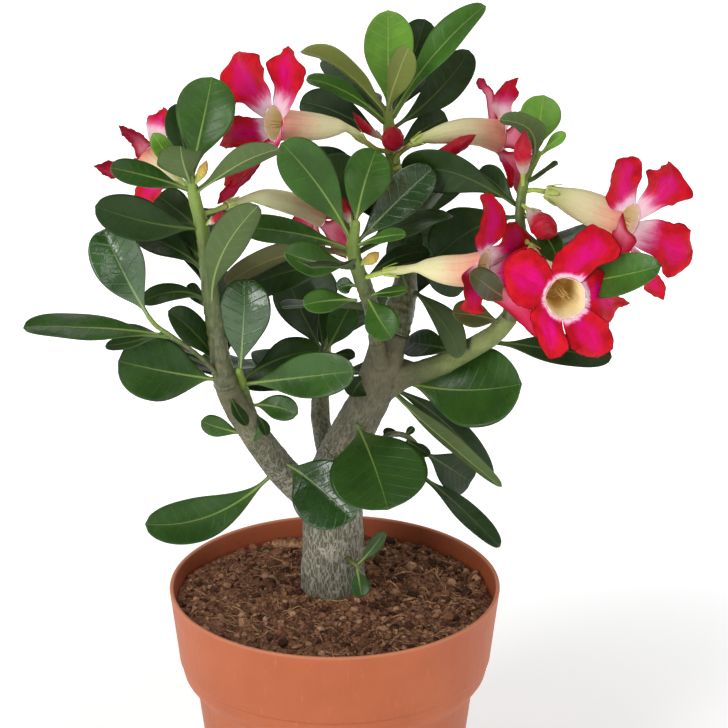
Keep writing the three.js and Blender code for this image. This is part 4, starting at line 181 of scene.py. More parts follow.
# flowers: tube line with radii, stalk, facing, and five lobes of tip, width, root angle
FLOWERS = {
    'F1': {'stem': 'M', 'tube': [[11.5, 4.0, 297.5, 1.35], [8.12, 1.0, 301.7, 1.58], [4.76, -1.0, 304.36, 1.65], [1.4, -3.0, 305.44, 3.18], [-3.06, -5.0, 306.12, 4.48], [-9.34, -9.0, 307.68, 5.4], [-15.96, -13.0, 309.43, 5.75], [-21.79, -17.0, 311.38, 6.66]], 'ped': [[22.16, 24.39, 286.21], [16.81, 14.2, 290.47], [11.5, 4.0, 297.5]], 'axis': [-0.82, -0.564, 0.102], 'lobes': [[[-34.64, 1.33, 333.98], 22.9, -40.0], [[-16.37, -17.24, 342.0], 18.1, -112.0], [[-43.0, 1.42, 296.8], 12.2, 32.0], [[-41.34, -8.0, 284.62], 11.7, 176.0], [[-43.84, -5.0, 275.16], 8.4, 104.0]], 'edges': [{'A': [[-26.39, -9.53, 313.54], [-29.0, -7.19, 313.5], [-31.49, -5.0, 313.82], [-33.89, -3.06, 314.45], [-36.65, -0.95, 314.46], [-38.87, 0.85, 315.11], [-39.88, 1.99, 317.36], [-40.31, 2.81, 319.86], [-40.6, 3.57, 322.38], [-41.21, 4.55, 324.78], [-40.26, 4.42, 327.39], [-38.97, 3.89, 330.08], [-37.19, 2.9, 332.37], [-34.64, 1.33, 333.98]], 'B': [[-21.02, -15.55, 318.67], [-21.36, -15.74, 320.74], [-21.88, -15.77, 322.7], [-22.75, -15.56, 324.44], [-23.66, -15.51, 326.21], [-24.61, -15.16, 327.86], [-25.52, -14.16, 329.33], [-26.39, -12.86, 330.73], [-27.25, -11.49, 332.12], [-28.05, -10.34, 333.63], [-29.19, -8.11, 334.56], [-30.72, -5.46, 335.11], [-32.56, -2.37, 334.88], [-34.64, 1.33, 333.98]], 'n': [-0.756, -0.654, 0.026], 'sign': 1}, {'A': [[-20.65, -15.3, 318.98], [-20.79, -14.5, 320.72], [-20.98, -13.74, 322.47], [-21.38, -12.95, 324.17], [-21.89, -12.15, 325.84], [-22.33, -11.47, 327.58], [-22.72, -10.87, 329.34], [-23.07, -10.36, 331.19], [-23.37, -10.12, 333.16], [-22.6, -10.76, 335.02], [-21.04, -12.05, 336.78], [-19.67, -13.34, 338.64], [-18.11, -15.15, 340.4], [-16.37, -17.24, 342.0]], 'B': [[-15.73, -22.08, 317.75], [-14.75, -22.65, 319.91], [-13.87, -23.18, 322.1], [-13.13, -23.74, 324.35], [-12.49, -24.29, 326.64], [-11.97, -24.74, 328.92], [-11.5, -25.11, 331.2], [-11.19, -25.38, 333.46], [-11.24, -25.4, 335.63], [-11.62, -24.54, 337.52], [-12.19, -23.06, 339.16], [-13.01, -21.56, 340.69], [-14.56, -19.55, 341.49], [-16.37, -17.24, 342.0]], 'n': [-0.786, -0.599, 0.153], 'sign': 1}, {'A': [[-25.27, -11.0, 310.9], [-27.1, -9.05, 310.43], [-28.92, -7.34, 310.09], [-30.7, -6.01, 310.07], [-32.5, -4.75, 310.04], [-34.38, -3.49, 310.0], [-36.06, -2.43, 309.36], [-37.42, -1.65, 307.81], [-38.62, -1.0, 305.99], [-39.73, -0.38, 304.26], [-40.74, 0.18, 302.45], [-41.68, 0.71, 300.61], [-42.5, 1.15, 298.74], [-43.0, 1.42, 296.8]], 'B': [[-23.39, -14.1, 306.09], [-23.75, -13.9, 304.24], [-24.58, -13.46, 302.7], [-26.13, -12.63, 301.64], [-27.78, -11.74, 300.77], [-29.44, -10.86, 300.1], [-31.13, -9.77, 299.51], [-32.83, -8.4, 298.96], [-34.55, -6.9, 298.47], [-36.28, -5.37, 297.95], [-38.02, -3.79, 297.3], [-39.73, -2.17, 296.83], [-41.37, -0.45, 296.76], [-43.0, 1.42, 296.8]], 'n': [-0.671, -0.715, 0.198], 'sign': -1}, {'A': [[-22.62, -15.24, 305.7], [-23.71, -15.45, 304.0], [-24.86, -15.53, 302.29], [-26.13, -15.49, 300.63], [-27.51, -15.61, 299.13], [-29.02, -16.13, 297.93], [-30.69, -15.25, 296.39], [-32.43, -14.01, 294.82], [-34.27, -12.64, 293.35], [-36.13, -11.08, 291.84], [-37.92, -9.67, 290.22], [-39.7, -8.43, 288.56], [-40.84, -7.82, 286.66], [-41.34, -8.0, 284.62]], 'B': [[-16.54, -18.75, 316.25], [-17.32, -19.69, 313.44], [-17.91, -20.76, 310.64], [-18.43, -21.95, 307.86], [-19.36, -22.98, 305.1], [-21.11, -23.62, 302.72], [-23.49, -22.27, 300.09], [-26.04, -20.43, 297.53], [-28.5, -18.73, 294.89], [-30.72, -17.22, 291.99], [-33.08, -15.55, 289.19], [-35.65, -13.72, 286.58], [-38.54, -11.26, 284.19], [-41.34, -8.0, 284.62]], 'n': [-0.736, -0.643, 0.21], 'sign': -1}, {'A': [[-26.31, -16.49, 304.95], [-27.77, -16.04, 302.89], [-29.23, -15.59, 300.82], [-30.7, -15.16, 298.77], [-32.19, -14.78, 296.75], [-33.74, -14.46, 294.79], [-35.34, -13.75, 292.73], [-36.95, -12.92, 290.63], [-38.52, -12.07, 288.47], [-40.17, -11.19, 286.31], [-41.78, -10.19, 284.06], [-42.95, -8.84, 281.47], [-43.48, -7.0, 278.39], [-43.84, -5.0, 275.16]], 'B': [[-21.25, -11.5, 302.45], [-22.85, -11.18, 300.23], [-24.46, -10.86, 298.02], [-26.04, -10.53, 295.76], [-27.54, -10.14, 293.43], [-28.97, -9.69, 291.02], [-30.42, -8.81, 288.44], [-31.91, -7.84, 285.85], [-33.39, -6.89, 283.24], [-35.02, -5.97, 280.78], [-36.86, -5.19, 278.5], [-38.92, -4.74, 276.68], [-41.31, -4.79, 275.76], [-43.84, -5.0, 275.16]], 'n': [-0.694, 0.72, 0.033], 'sign': -1}]},
    'F2': {'stem': 'L', 'tube': [[-39.57, -28.0, 283.13, 1.85], [-34.653, -24.0, 283.231, 1.569], [-30.456, -20.0, 283.533, 1.722], [-26.959, -17.0, 282.624, 2.817], [-22.761, -12.0, 280.186, 3.67], [-17.074, -5.0, 276.217, 4.137], [-11.327, 2.0, 271.629, 4.267], [-5.5, 9.0, 266.19, 4.795]], 'ped': [[-49.13, -38.6, 283.47], [-44.74, -33.3, 282.9], [-39.57, -28.0, 283.13]], 'axis': [0.835, 0.503, -0.221], 'lobes': [[[-0.95, 3.11, 286.25], 12.8, -100.0], [[10.75, -5.35, 278.89], 12.8, -28.0], [[6.99, -12.76, 261.6], 12.8, 44.0], [[-8.52, 17.41, 243.69], 13.1, 116.0], [[-14.77, 26.81, 254.16], 10.0, 188.0]]},
    'F3': {'stem': 'C', 'tube': [[18.97, -25.0, 255.83, 1.79], [25.67, -27.0, 257.39, 1.64], [30.87, -28.0, 258.57, 1.71], [34.58, -29.0, 258.96, 3.35], [39.03, -30.0, 258.94, 4.84], [44.19, -32.0, 259.31, 5.76], [49.33, -34.0, 260.07, 6.12], [55.55, -36.0, 262.03, 6.66]], 'ped': [[9.42, -21.08, 251.66], [14.21, -23.54, 253.74], [18.97, -25.0, 255.83]], 'axis': [0.912, -0.405, -0.061], 'lobes': [[[57.21, -31.3, 289.62], 15.7, -90.0], [[68.47, -13.27, 271.59], 15.6, -162.0], [[80.57, -16.86, 256.73], 12.8, 126.0], [[76.52, -33.68, 232.75], 10.6, 54.0], [[52.24, -42.0, 245.49], 19.0, -18.0]], 'edges': [{'A': [[51.7, -40.62, 264.98], [52.14, -40.69, 267.26], [52.57, -40.72, 269.53], [52.92, -40.66, 271.77], [53.2, -40.59, 274.03], [53.46, -40.55, 276.29], [53.77, -40.39, 278.51], [54.03, -40.19, 280.71], [54.07, -39.85, 282.87], [53.8, -39.25, 284.95], [53.69, -38.27, 286.87], [54.02, -36.75, 288.64], [55.16, -34.4, 289.6], [57.21, -31.3, 289.62]], 'B': [[58.25, -31.68, 264.35], [59.41, -30.86, 266.0], [60.48, -30.07, 267.71], [61.32, -29.38, 269.58], [62.08, -28.69, 271.49], [62.87, -27.98, 273.37], [63.52, -27.38, 275.35], [64.05, -26.83, 277.43], [64.14, -26.43, 279.55], [63.53, -26.28, 281.72], [62.51, -26.52, 283.87], [61.13, -27.31, 286.0], [59.3, -28.93, 287.84], [57.21, -31.3, 289.62]], 'n': [0.807, -0.586, 0.077], 'sign': 1}, {'A': [[58.89, -34.6, 265.46], [59.49, -33.6, 266.3], [60.1, -32.6, 267.14], [60.71, -31.56, 267.96], [61.29, -30.53, 268.81], [61.82, -29.47, 269.67], [62.25, -28.3, 270.55], [62.68, -26.96, 271.37], [63.21, -25.38, 272.05], [63.92, -23.49, 272.52], [64.76, -21.33, 272.88], [65.77, -18.91, 272.93], [67.05, -16.17, 272.4], [68.47, -13.27, 271.59]], 'B': [[65.95, -25.89, 259.37], [67.07, -24.27, 259.85], [68.18, -22.65, 260.34], [69.23, -21.08, 260.91], [70.26, -19.49, 261.54], [71.21, -17.93, 262.24], [71.88, -16.48, 263.1], [72.25, -15.21, 264.18], [72.35, -14.18, 265.42], [72.11, -13.47, 266.69], [71.53, -13.03, 268.03], [70.72, -12.84, 269.31], [69.65, -12.98, 270.46], [68.47, -13.27, 271.59]], 'n': [0.764, -0.644, -0.034], 'sign': 1}, None, {'A': [[54.46, -35.81, 260.77], [55.32, -35.21, 257.87], [56.29, -34.67, 255.05], [57.63, -34.33, 252.5], [59.23, -34.11, 250.15], [61.04, -33.77, 247.97], [63.07, -33.39, 245.99], [65.01, -32.95, 243.87], [66.83, -32.46, 241.6], [68.6, -32.15, 239.35], [70.24, -31.98, 237.0], [72.02, -32.2, 235.01], [74.2, -32.9, 233.77], [76.52, -33.68, 232.75]], 'B': [[61.22, -43.06, 264.33], [62.39, -42.77, 261.97], [63.56, -42.42, 259.59], [64.71, -41.87, 257.09], [65.91, -41.21, 254.58], [67.54, -40.67, 252.48], [69.46, -40.16, 250.63], [71.41, -39.71, 248.88], [73.36, -39.31, 247.14], [74.88, -38.74, 244.88], [76.01, -38.02, 242.24], [76.55, -36.92, 239.33], [76.55, -35.35, 236.07], [76.52, -33.68, 232.75]], 'n': [0.742, 0.668, -0.048], 'sign': -1}, {'A': [[49.9, -38.94, 264.73], [48.89, -40.81, 263.9], [47.94, -42.63, 263.03], [47.4, -44.17, 261.91], [47.28, -45.41, 260.55], [47.21, -46.56, 259.13], [46.87, -47.62, 257.72], [46.51, -48.35, 256.19], [46.49, -48.32, 254.36], [46.82, -47.92, 252.32], [47.55, -47.3, 250.49], [48.9, -46.0, 248.86], [50.59, -44.04, 247.21], [52.24, -42.0, 245.49]], 'B': [[52.99, -35.06, 262.06], [53.85, -34.33, 260.23], [54.7, -33.64, 258.4], [55.52, -33.25, 256.66], [56.31, -33.15, 255.02], [57.02, -33.14, 253.37], [57.73, -32.7, 251.5], [58.03, -32.48, 249.69], [57.57, -33.03, 248.19], [56.89, -33.95, 246.85], [56.41, -35.11, 245.49], [55.58, -36.95, 244.73], [54.01, -39.44, 244.99], [52.24, -42.0, 245.49]], 'n': [0.83, -0.517, 0.209], 'sign': -1}]},
    'F4': {'stem': 'R', 'tube': [[73.8, -23.0, 265.05, 1.64], [75.1, -28.0, 264.54, 1.56], [76.71, -34.0, 263.64, 1.85], [78.64, -41.0, 262.75, 3.69], [80.55, -48.0, 261.9, 5.33], [82.39, -56.0, 261.46, 6.03], [84.82, -66.0, 261.45, 7.62]], 'ped': [[70.38, -12.5, 266.61], [72.1, -17.75, 265.62], [73.8, -23.0, 265.05]], 'axis': [0.102, -0.947, 0.305], 'lobes': [[[62.04, -64.6, 271.4], 18.9, -29.0], [[94.53, -57.11, 286.97], 18.7, -101.0], [[109.97, -46.0, 251.64], 16.7, 187.0], [[96.39, -69.46, 239.53], 15.5, 115.0], [[79.08, -73.17, 240.46], 14.1, 43.0]], 'edges': [{'A': [[80.8, -64.4, 266.66], [80.16, -63.77, 268.8], [79.45, -63.18, 270.92], [78.54, -62.63, 273.01], [77.34, -62.21, 274.95], [75.63, -61.97, 276.53], [73.75, -61.81, 277.99], [71.75, -61.75, 279.2], [69.5, -62.0, 278.99], [67.3, -62.4, 278.24], [65.32, -62.86, 277.14], [63.86, -63.41, 275.47], [62.81, -64.0, 273.5], [62.04, -64.6, 271.4]], 'B': [[77.91, -66.79, 260.2], [76.23, -67.26, 259.29], [74.44, -67.7, 258.58], [72.53, -68.1, 258.1], [70.61, -68.36, 258.16], [68.69, -68.45, 258.8], [66.92, -68.46, 259.75], [65.3, -68.37, 260.98], [64.17, -67.96, 262.48], [63.45, -67.41, 264.26], [62.95, -66.8, 266.04], [62.63, -66.09, 267.84], [62.32, -65.35, 269.62], [62.04, -64.6, 271.4]], 'n': [0.061, -0.945, 0.322], 'sign': -1}, {'A': [[81.19, -63.96, 266.5], [80.24, -63.57, 268.56], [79.44, -63.17, 270.62], [79.46, -62.73, 272.69], [80.19, -62.16, 274.75], [81.29, -61.59, 276.55], [82.77, -61.05, 278.09], [84.36, -60.63, 279.56], [86.03, -60.2, 280.91], [87.57, -59.68, 282.37], [88.97, -59.11, 283.96], [90.65, -58.46, 285.22], [92.54, -57.77, 286.2], [94.53, -57.11, 286.97]], 'B': [[91.05, -63.18, 265.8], [92.59, -62.58, 267.74], [94.17, -61.98, 269.66], [95.84, -61.44, 271.52], [98.05, -61.01, 272.64], [100.44, -60.59, 273.54], [102.79, -60.13, 274.57], [104.22, -59.55, 276.58], [104.05, -58.99, 278.94], [102.67, -58.52, 281.19], [101.13, -58.1, 283.26], [99.13, -57.75, 284.77], [96.82, -57.44, 285.88], [94.53, -57.11, 286.97]], 'n': [0.096, -0.951, 0.295], 'sign': 1}, {'A': [[90.93, -65.14, 266.56], [92.28, -63.04, 267.35], [93.68, -60.95, 268.1], [95.31, -58.84, 268.87], [96.99, -56.8, 269.19], [98.44, -55.09, 267.54], [99.72, -53.84, 264.97], [100.82, -52.79, 262.71], [101.8, -51.83, 260.43], [103.06, -50.75, 258.3], [104.58, -49.62, 256.35], [106.35, -48.43, 254.76], [108.26, -47.18, 253.37], [109.97, -46.0, 251.64]], 'B': [[92.1, -66.86, 258.67], [93.38, -65.5, 256.83], [94.68, -64.13, 255.01], [96.06, -62.78, 253.28], [97.52, -61.36, 251.6], [99.13, -59.61, 249.92], [100.86, -57.91, 248.44], [102.23, -56.14, 248.5], [103.29, -54.28, 249.44], [103.97, -52.54, 250.5], [105.0, -50.85, 251.24], [106.64, -49.22, 251.44], [108.3, -47.64, 251.59], [109.97, -46.0, 251.64]], 'n': [0.316, -0.916, 0.247], 'sign': 1}, {'A': [[91.76, -66.46, 258.51], [93.47, -66.45, 257.2], [95.21, -66.44, 255.93], [96.98, -66.41, 254.69], [98.77, -66.38, 253.44], [100.45, -66.39, 252.08], [101.34, -66.55, 250.18], [101.81, -66.85, 248.04], [102.42, -67.18, 245.95], [102.63, -67.57, 243.9], [101.93, -68.04, 241.98], [100.27, -68.52, 240.85], [98.37, -69.0, 240.09], [96.39, -69.46, 239.53]], 'B': [[83.75, -69.05, 253.28], [84.11, -69.32, 251.74], [84.47, -69.59, 250.2], [84.76, -69.88, 248.64], [85.07, -70.17, 247.09], [85.54, -70.42, 245.56], [86.19, -70.53, 244.03], [87.28, -70.5, 242.81], [88.68, -70.42, 241.88], [90.12, -70.3, 241.09], [91.65, -70.09, 240.47], [93.2, -69.87, 240.03], [94.79, -69.66, 239.77], [96.39, -69.46, 239.53]], 'n': [0.156, -0.959, 0.236], 'sign': 1}, {'A': [[77.88, -67.34, 260.41], [75.93, -67.7, 259.98], [74.16, -68.09, 259.23], [72.61, -68.57, 257.93], [71.89, -69.08, 256.31], [72.11, -69.58, 254.32], [72.6, -70.06, 252.36], [73.29, -70.49, 250.52], [74.03, -70.91, 248.69], [74.66, -71.35, 246.81], [75.42, -71.81, 245.01], [76.5, -72.25, 243.41], [77.79, -72.7, 241.93], [79.08, -73.17, 240.46]], 'B': [[83.75, -69.0, 253.27], [83.86, -69.42, 251.96], [83.98, -69.79, 250.64], [84.25, -70.08, 249.32], [84.73, -70.35, 248.03], [85.19, -70.61, 246.74], [85.55, -70.9, 245.39], [85.66, -71.23, 244.07], [85.1, -71.58, 242.89], [84.18, -71.91, 241.89], [83.07, -72.23, 241.14], [81.8, -72.56, 240.66], [80.47, -72.87, 240.48], [79.08, -73.17, 240.46]], 'n': [0.102, -0.948, 0.303], 'sign': -1}]},
    'F5': {'stem': 'R', 'tube': [[79.71, -9.0, 281.8, 2.81], [83.43, -10.0, 280.96, 3.3], [87.18, -10.5, 279.55, 4.61], [92.0, -12.0, 278.11, 5.85], [97.55, -14.0, 276.45, 6.5], [103.38, -17.0, 275.16, 6.47], [109.95, -20.0, 273.88, 7.09]], 'ped': [[70.72, -9.0, 281.8], [74.83, -9.0, 282.59], [79.71, -9.0, 281.8]], 'axis': [0.761, -0.637, -0.123], 'lobes': [[[107.82, -24.71, 301.16], 17.2, -85.0], [[126.1, -5.66, 292.92], 22.1, -157.0], [[135.86, -7.88, 258.15], 19.7, 131.0], [[124.49, -17.91, 241.82], 8.0, 59.0], [[106.61, -30.0, 263.32], 9.1, -13.0]], 'edges': [{'A': [[105.94, -23.91, 275.32], [104.53, -25.13, 277.65], [103.33, -26.23, 280.03], [102.54, -27.13, 282.56], [102.08, -27.82, 285.07], [101.94, -28.15, 287.49], [102.0, -28.33, 289.85], [102.25, -28.67, 292.25], [101.81, -29.66, 294.85], [101.37, -30.26, 297.24], [102.31, -29.52, 299.07], [103.81, -28.16, 300.27], [105.71, -26.48, 300.93], [107.82, -24.71, 301.16]], 'B': [[111.74, -18.15, 281.13], [112.11, -17.49, 282.65], [112.47, -16.95, 284.21], [112.86, -16.6, 285.84], [113.15, -16.47, 287.55], [113.1, -16.7, 289.43], [112.94, -17.09, 291.37], [113.28, -17.32, 293.19], [114.18, -16.88, 294.71], [114.32, -16.84, 296.31], [113.28, -18.16, 298.35], [111.59, -20.1, 299.52], [109.67, -22.37, 300.36], [107.82, -24.71, 301.16]], 'n': [0.718, -0.695, -0.027], 'sign': 1}, {'A': [[112.4, -19.02, 282.24], [113.53, -18.42, 283.15], [114.6, -18.25, 284.24], [115.52, -18.39, 285.55], [116.34, -18.6, 286.97], [117.12, -18.09, 288.2], [117.66, -17.91, 289.68], [118.22, -17.56, 291.08], [119.38, -16.14, 291.62], [120.96, -14.08, 291.6], [122.2, -12.09, 291.99], [123.25, -10.21, 292.65], [124.6, -8.02, 292.88], [126.1, -5.66, 292.92]], 'B': [[119.12, -11.39, 274.29], [120.73, -10.52, 275.77], [122.95, -9.21, 276.12], [125.45, -7.58, 275.66], [127.91, -5.88, 274.98], [129.32, -4.91, 276.48], [131.1, -3.62, 277.66], [132.58, -2.49, 278.99], [132.7, -2.45, 281.52], [131.85, -3.07, 284.05], [130.67, -3.61, 286.47], [129.48, -4.03, 288.79], [127.91, -4.76, 290.93], [126.1, -5.66, 292.92]], 'n': [0.628, -0.754, -0.193], 'sign': 1}, {'A': [[118.53, -14.19, 274.92], [120.22, -13.62, 273.83], [121.92, -13.05, 272.75], [123.66, -12.45, 271.7], [125.44, -11.7, 270.67], [127.31, -10.85, 270.06], [129.27, -9.93, 269.92], [131.0, -9.29, 269.15], [132.48, -9.0, 267.72], [133.6, -8.82, 266.07], [134.38, -8.67, 264.18], [135.0, -8.45, 262.23], [135.45, -8.19, 260.21], [135.86, -7.88, 258.15]], 'B': [[113.34, -17.83, 264.3], [115.51, -17.16, 262.39], [117.71, -16.47, 260.51], [119.82, -15.83, 258.53], [121.47, -15.32, 256.1], [122.9, -14.92, 253.54], [124.22, -14.59, 250.94], [126.29, -13.98, 248.84], [128.82, -13.02, 248.99], [131.22, -11.94, 250.0], [133.19, -10.84, 251.44], [134.44, -9.82, 253.51], [135.29, -8.83, 255.78], [135.86, -7.88, 258.15]], 'n': [0.398, -0.91, 0.118], 'sign': 1}, {'A': [[112.22, -23.01, 265.45], [112.61, -22.98, 263.43], [113.01, -22.95, 261.41], [113.44, -22.91, 259.39], [113.91, -22.85, 257.36], [114.4, -22.78, 255.34], [114.96, -22.67, 253.32], [115.57, -22.52, 251.26], [116.2, -22.34, 249.18], [117.29, -21.91, 247.35], [118.93, -21.16, 245.8], [120.71, -20.25, 244.39], [122.58, -19.14, 243.11], [124.49, -17.91, 241.82]], 'B': [[114.58, -21.63, 264.13], [115.67, -20.98, 262.41], [116.76, -20.32, 260.7], [117.84, -19.69, 258.97], [118.9, -19.07, 257.24], [119.97, -18.46, 255.52], [121.02, -17.89, 253.79], [122.0, -17.36, 252.03], [122.94, -16.86, 250.23], [123.76, -16.61, 248.49], [124.36, -16.69, 246.78], [124.78, -16.92, 245.07], [124.78, -17.35, 243.42], [124.49, -17.91, 241.82]], 'n': [0.588, -0.769, 0.25], 'sign': -1}, {'A': [[103.35, -23.82, 275.28], [103.62, -24.58, 274.47], [103.89, -25.35, 273.66], [104.17, -26.16, 272.87], [104.48, -27.0, 272.11], [104.87, -27.93, 271.41], [105.34, -27.95, 270.37], [105.75, -27.84, 269.27], [106.0, -27.83, 268.16], [106.13, -27.93, 267.07], [106.22, -28.21, 266.03], [106.35, -28.66, 265.06], [106.48, -29.3, 264.18], [106.61, -30.0, 263.32]], 'B': [[106.39, -28.18, 276.49], [107.32, -29.72, 276.18], [108.24, -31.26, 275.86], [109.07, -32.75, 275.44], [109.84, -34.21, 274.88], [110.49, -35.58, 274.2], [110.88, -35.62, 272.94], [110.93, -35.22, 271.38], [110.71, -34.72, 269.8], [110.25, -34.1, 268.31], [109.56, -33.32, 266.87], [108.72, -32.37, 265.55], [107.69, -31.21, 264.41], [106.61, -30.0, 263.32]], 'n': [0.814, 0.477, -0.331], 'sign': 1}]},
    'F6': {'stem': 'M', 'tube': [[29.65, 10.0, 294.23, 1.66], [33.06, 11.0, 295.89, 1.74], [37.25, 13.0, 296.2, 2.84], [43.37, 16.0, 296.57, 4.17], [50.3, 20.0, 296.0, 5.14], [56.53, 24.0, 294.24, 5.53], [62.8, 28.0, 291.25, 6.51]], 'ped': [[22.82, 23.73, 281.2], [25.48, 15.86, 288.88], [29.65, 10.0, 294.23]], 'axis': [0.896, 0.417, -0.156], 'lobes': [[[70.24, 22.54, 316.72], 13.3, -75.0], [[55.93, 49.14, 307.65], 5.3, -147.0], [[77.88, 9.32, 302.44], 12.1, -3.0], [[74.49, 8.02, 276.48], 11.4, 69.0], [[67.29, 8.48, 277.12], 7.5, 141.0]], 'edges': [{'A': [[57.13, 21.75, 301.82], [57.86, 21.37, 303.4], [58.64, 21.06, 304.92], [59.53, 20.97, 306.29], [60.48, 21.01, 307.58], [61.43, 21.07, 308.86], [62.38, 21.16, 310.13], [63.23, 21.24, 311.48], [63.82, 21.29, 313.01], [64.6, 21.55, 314.31], [65.85, 21.99, 315.15], [67.25, 22.27, 315.82], [68.73, 22.41, 316.3], [70.24, 22.54, 316.72]], 'B': [[65.53, 32.06, 297.54], [66.47, 31.77, 298.56], [67.32, 31.42, 299.67], [67.87, 30.84, 301.04], [68.22, 30.12, 302.59], [68.53, 29.39, 304.15], [68.81, 28.62, 305.71], [69.0, 27.87, 307.29], [69.04, 27.14, 308.87], [68.88, 26.21, 310.55], [68.81, 25.1, 312.26], [69.1, 24.15, 313.82], [69.66, 23.34, 315.28], [70.24, 22.54, 316.72]], 'n': [0.799, -0.563, 0.21], 'sign': -1}, {'A': [[59.4, 34.24, 302.86], [59.04, 35.69, 303.13], [58.68, 37.15, 303.4], [58.31, 38.58, 303.68], [57.92, 39.93, 303.97], [57.47, 41.19, 304.25], [57.0, 42.39, 304.55], [56.54, 43.57, 304.86], [56.12, 44.76, 305.2], [55.65, 46.02, 305.55], [55.25, 47.22, 305.94], [55.15, 48.14, 306.42], [55.48, 48.69, 307.02], [55.93, 49.14, 307.65]], 'B': [[61.22, 32.13, 305.17], [61.19, 33.14, 305.7], [61.17, 34.13, 306.24], [61.1, 35.16, 306.74], [60.88, 36.26, 307.15], [60.48, 37.46, 307.44], [59.96, 38.71, 307.66], [59.42, 39.99, 307.87], [58.94, 41.25, 308.12], [58.51, 42.44, 308.48], [58.04, 43.7, 308.74], [57.44, 45.24, 308.65], [56.7, 47.14, 308.19], [55.93, 49.14, 307.65]], 'n': [0.836, 0.517, -0.185], 'sign': -1}, None, None, {'A': [[62.14, 29.11, 286.01], [62.56, 27.39, 285.37], [62.98, 25.66, 284.73], [63.4, 23.95, 284.09], [63.84, 22.28, 283.44], [64.31, 20.65, 282.8], [64.77, 19.03, 282.14], [65.17, 17.4, 281.47], [65.47, 15.74, 280.79], [65.67, 14.0, 280.09], [65.88, 12.27, 279.4], [66.22, 10.74, 278.69], [66.73, 9.52, 277.93], [67.29, 8.48, 277.12]], 'B': [[66.99, 35.54, 284.6], [67.25, 33.59, 283.97], [67.52, 31.65, 283.34], [67.76, 29.7, 282.72], [67.97, 27.7, 282.11], [68.13, 25.66, 281.5], [68.27, 23.61, 280.89], [68.36, 21.57, 280.28], [68.41, 19.57, 279.66], [68.47, 17.64, 278.99], [68.53, 15.69, 278.31], [68.41, 13.56, 277.74], [67.97, 11.11, 277.37], [67.29, 8.48, 277.12]], 'n': [0.805, -0.577, 0.141], 'sign': -1}]},
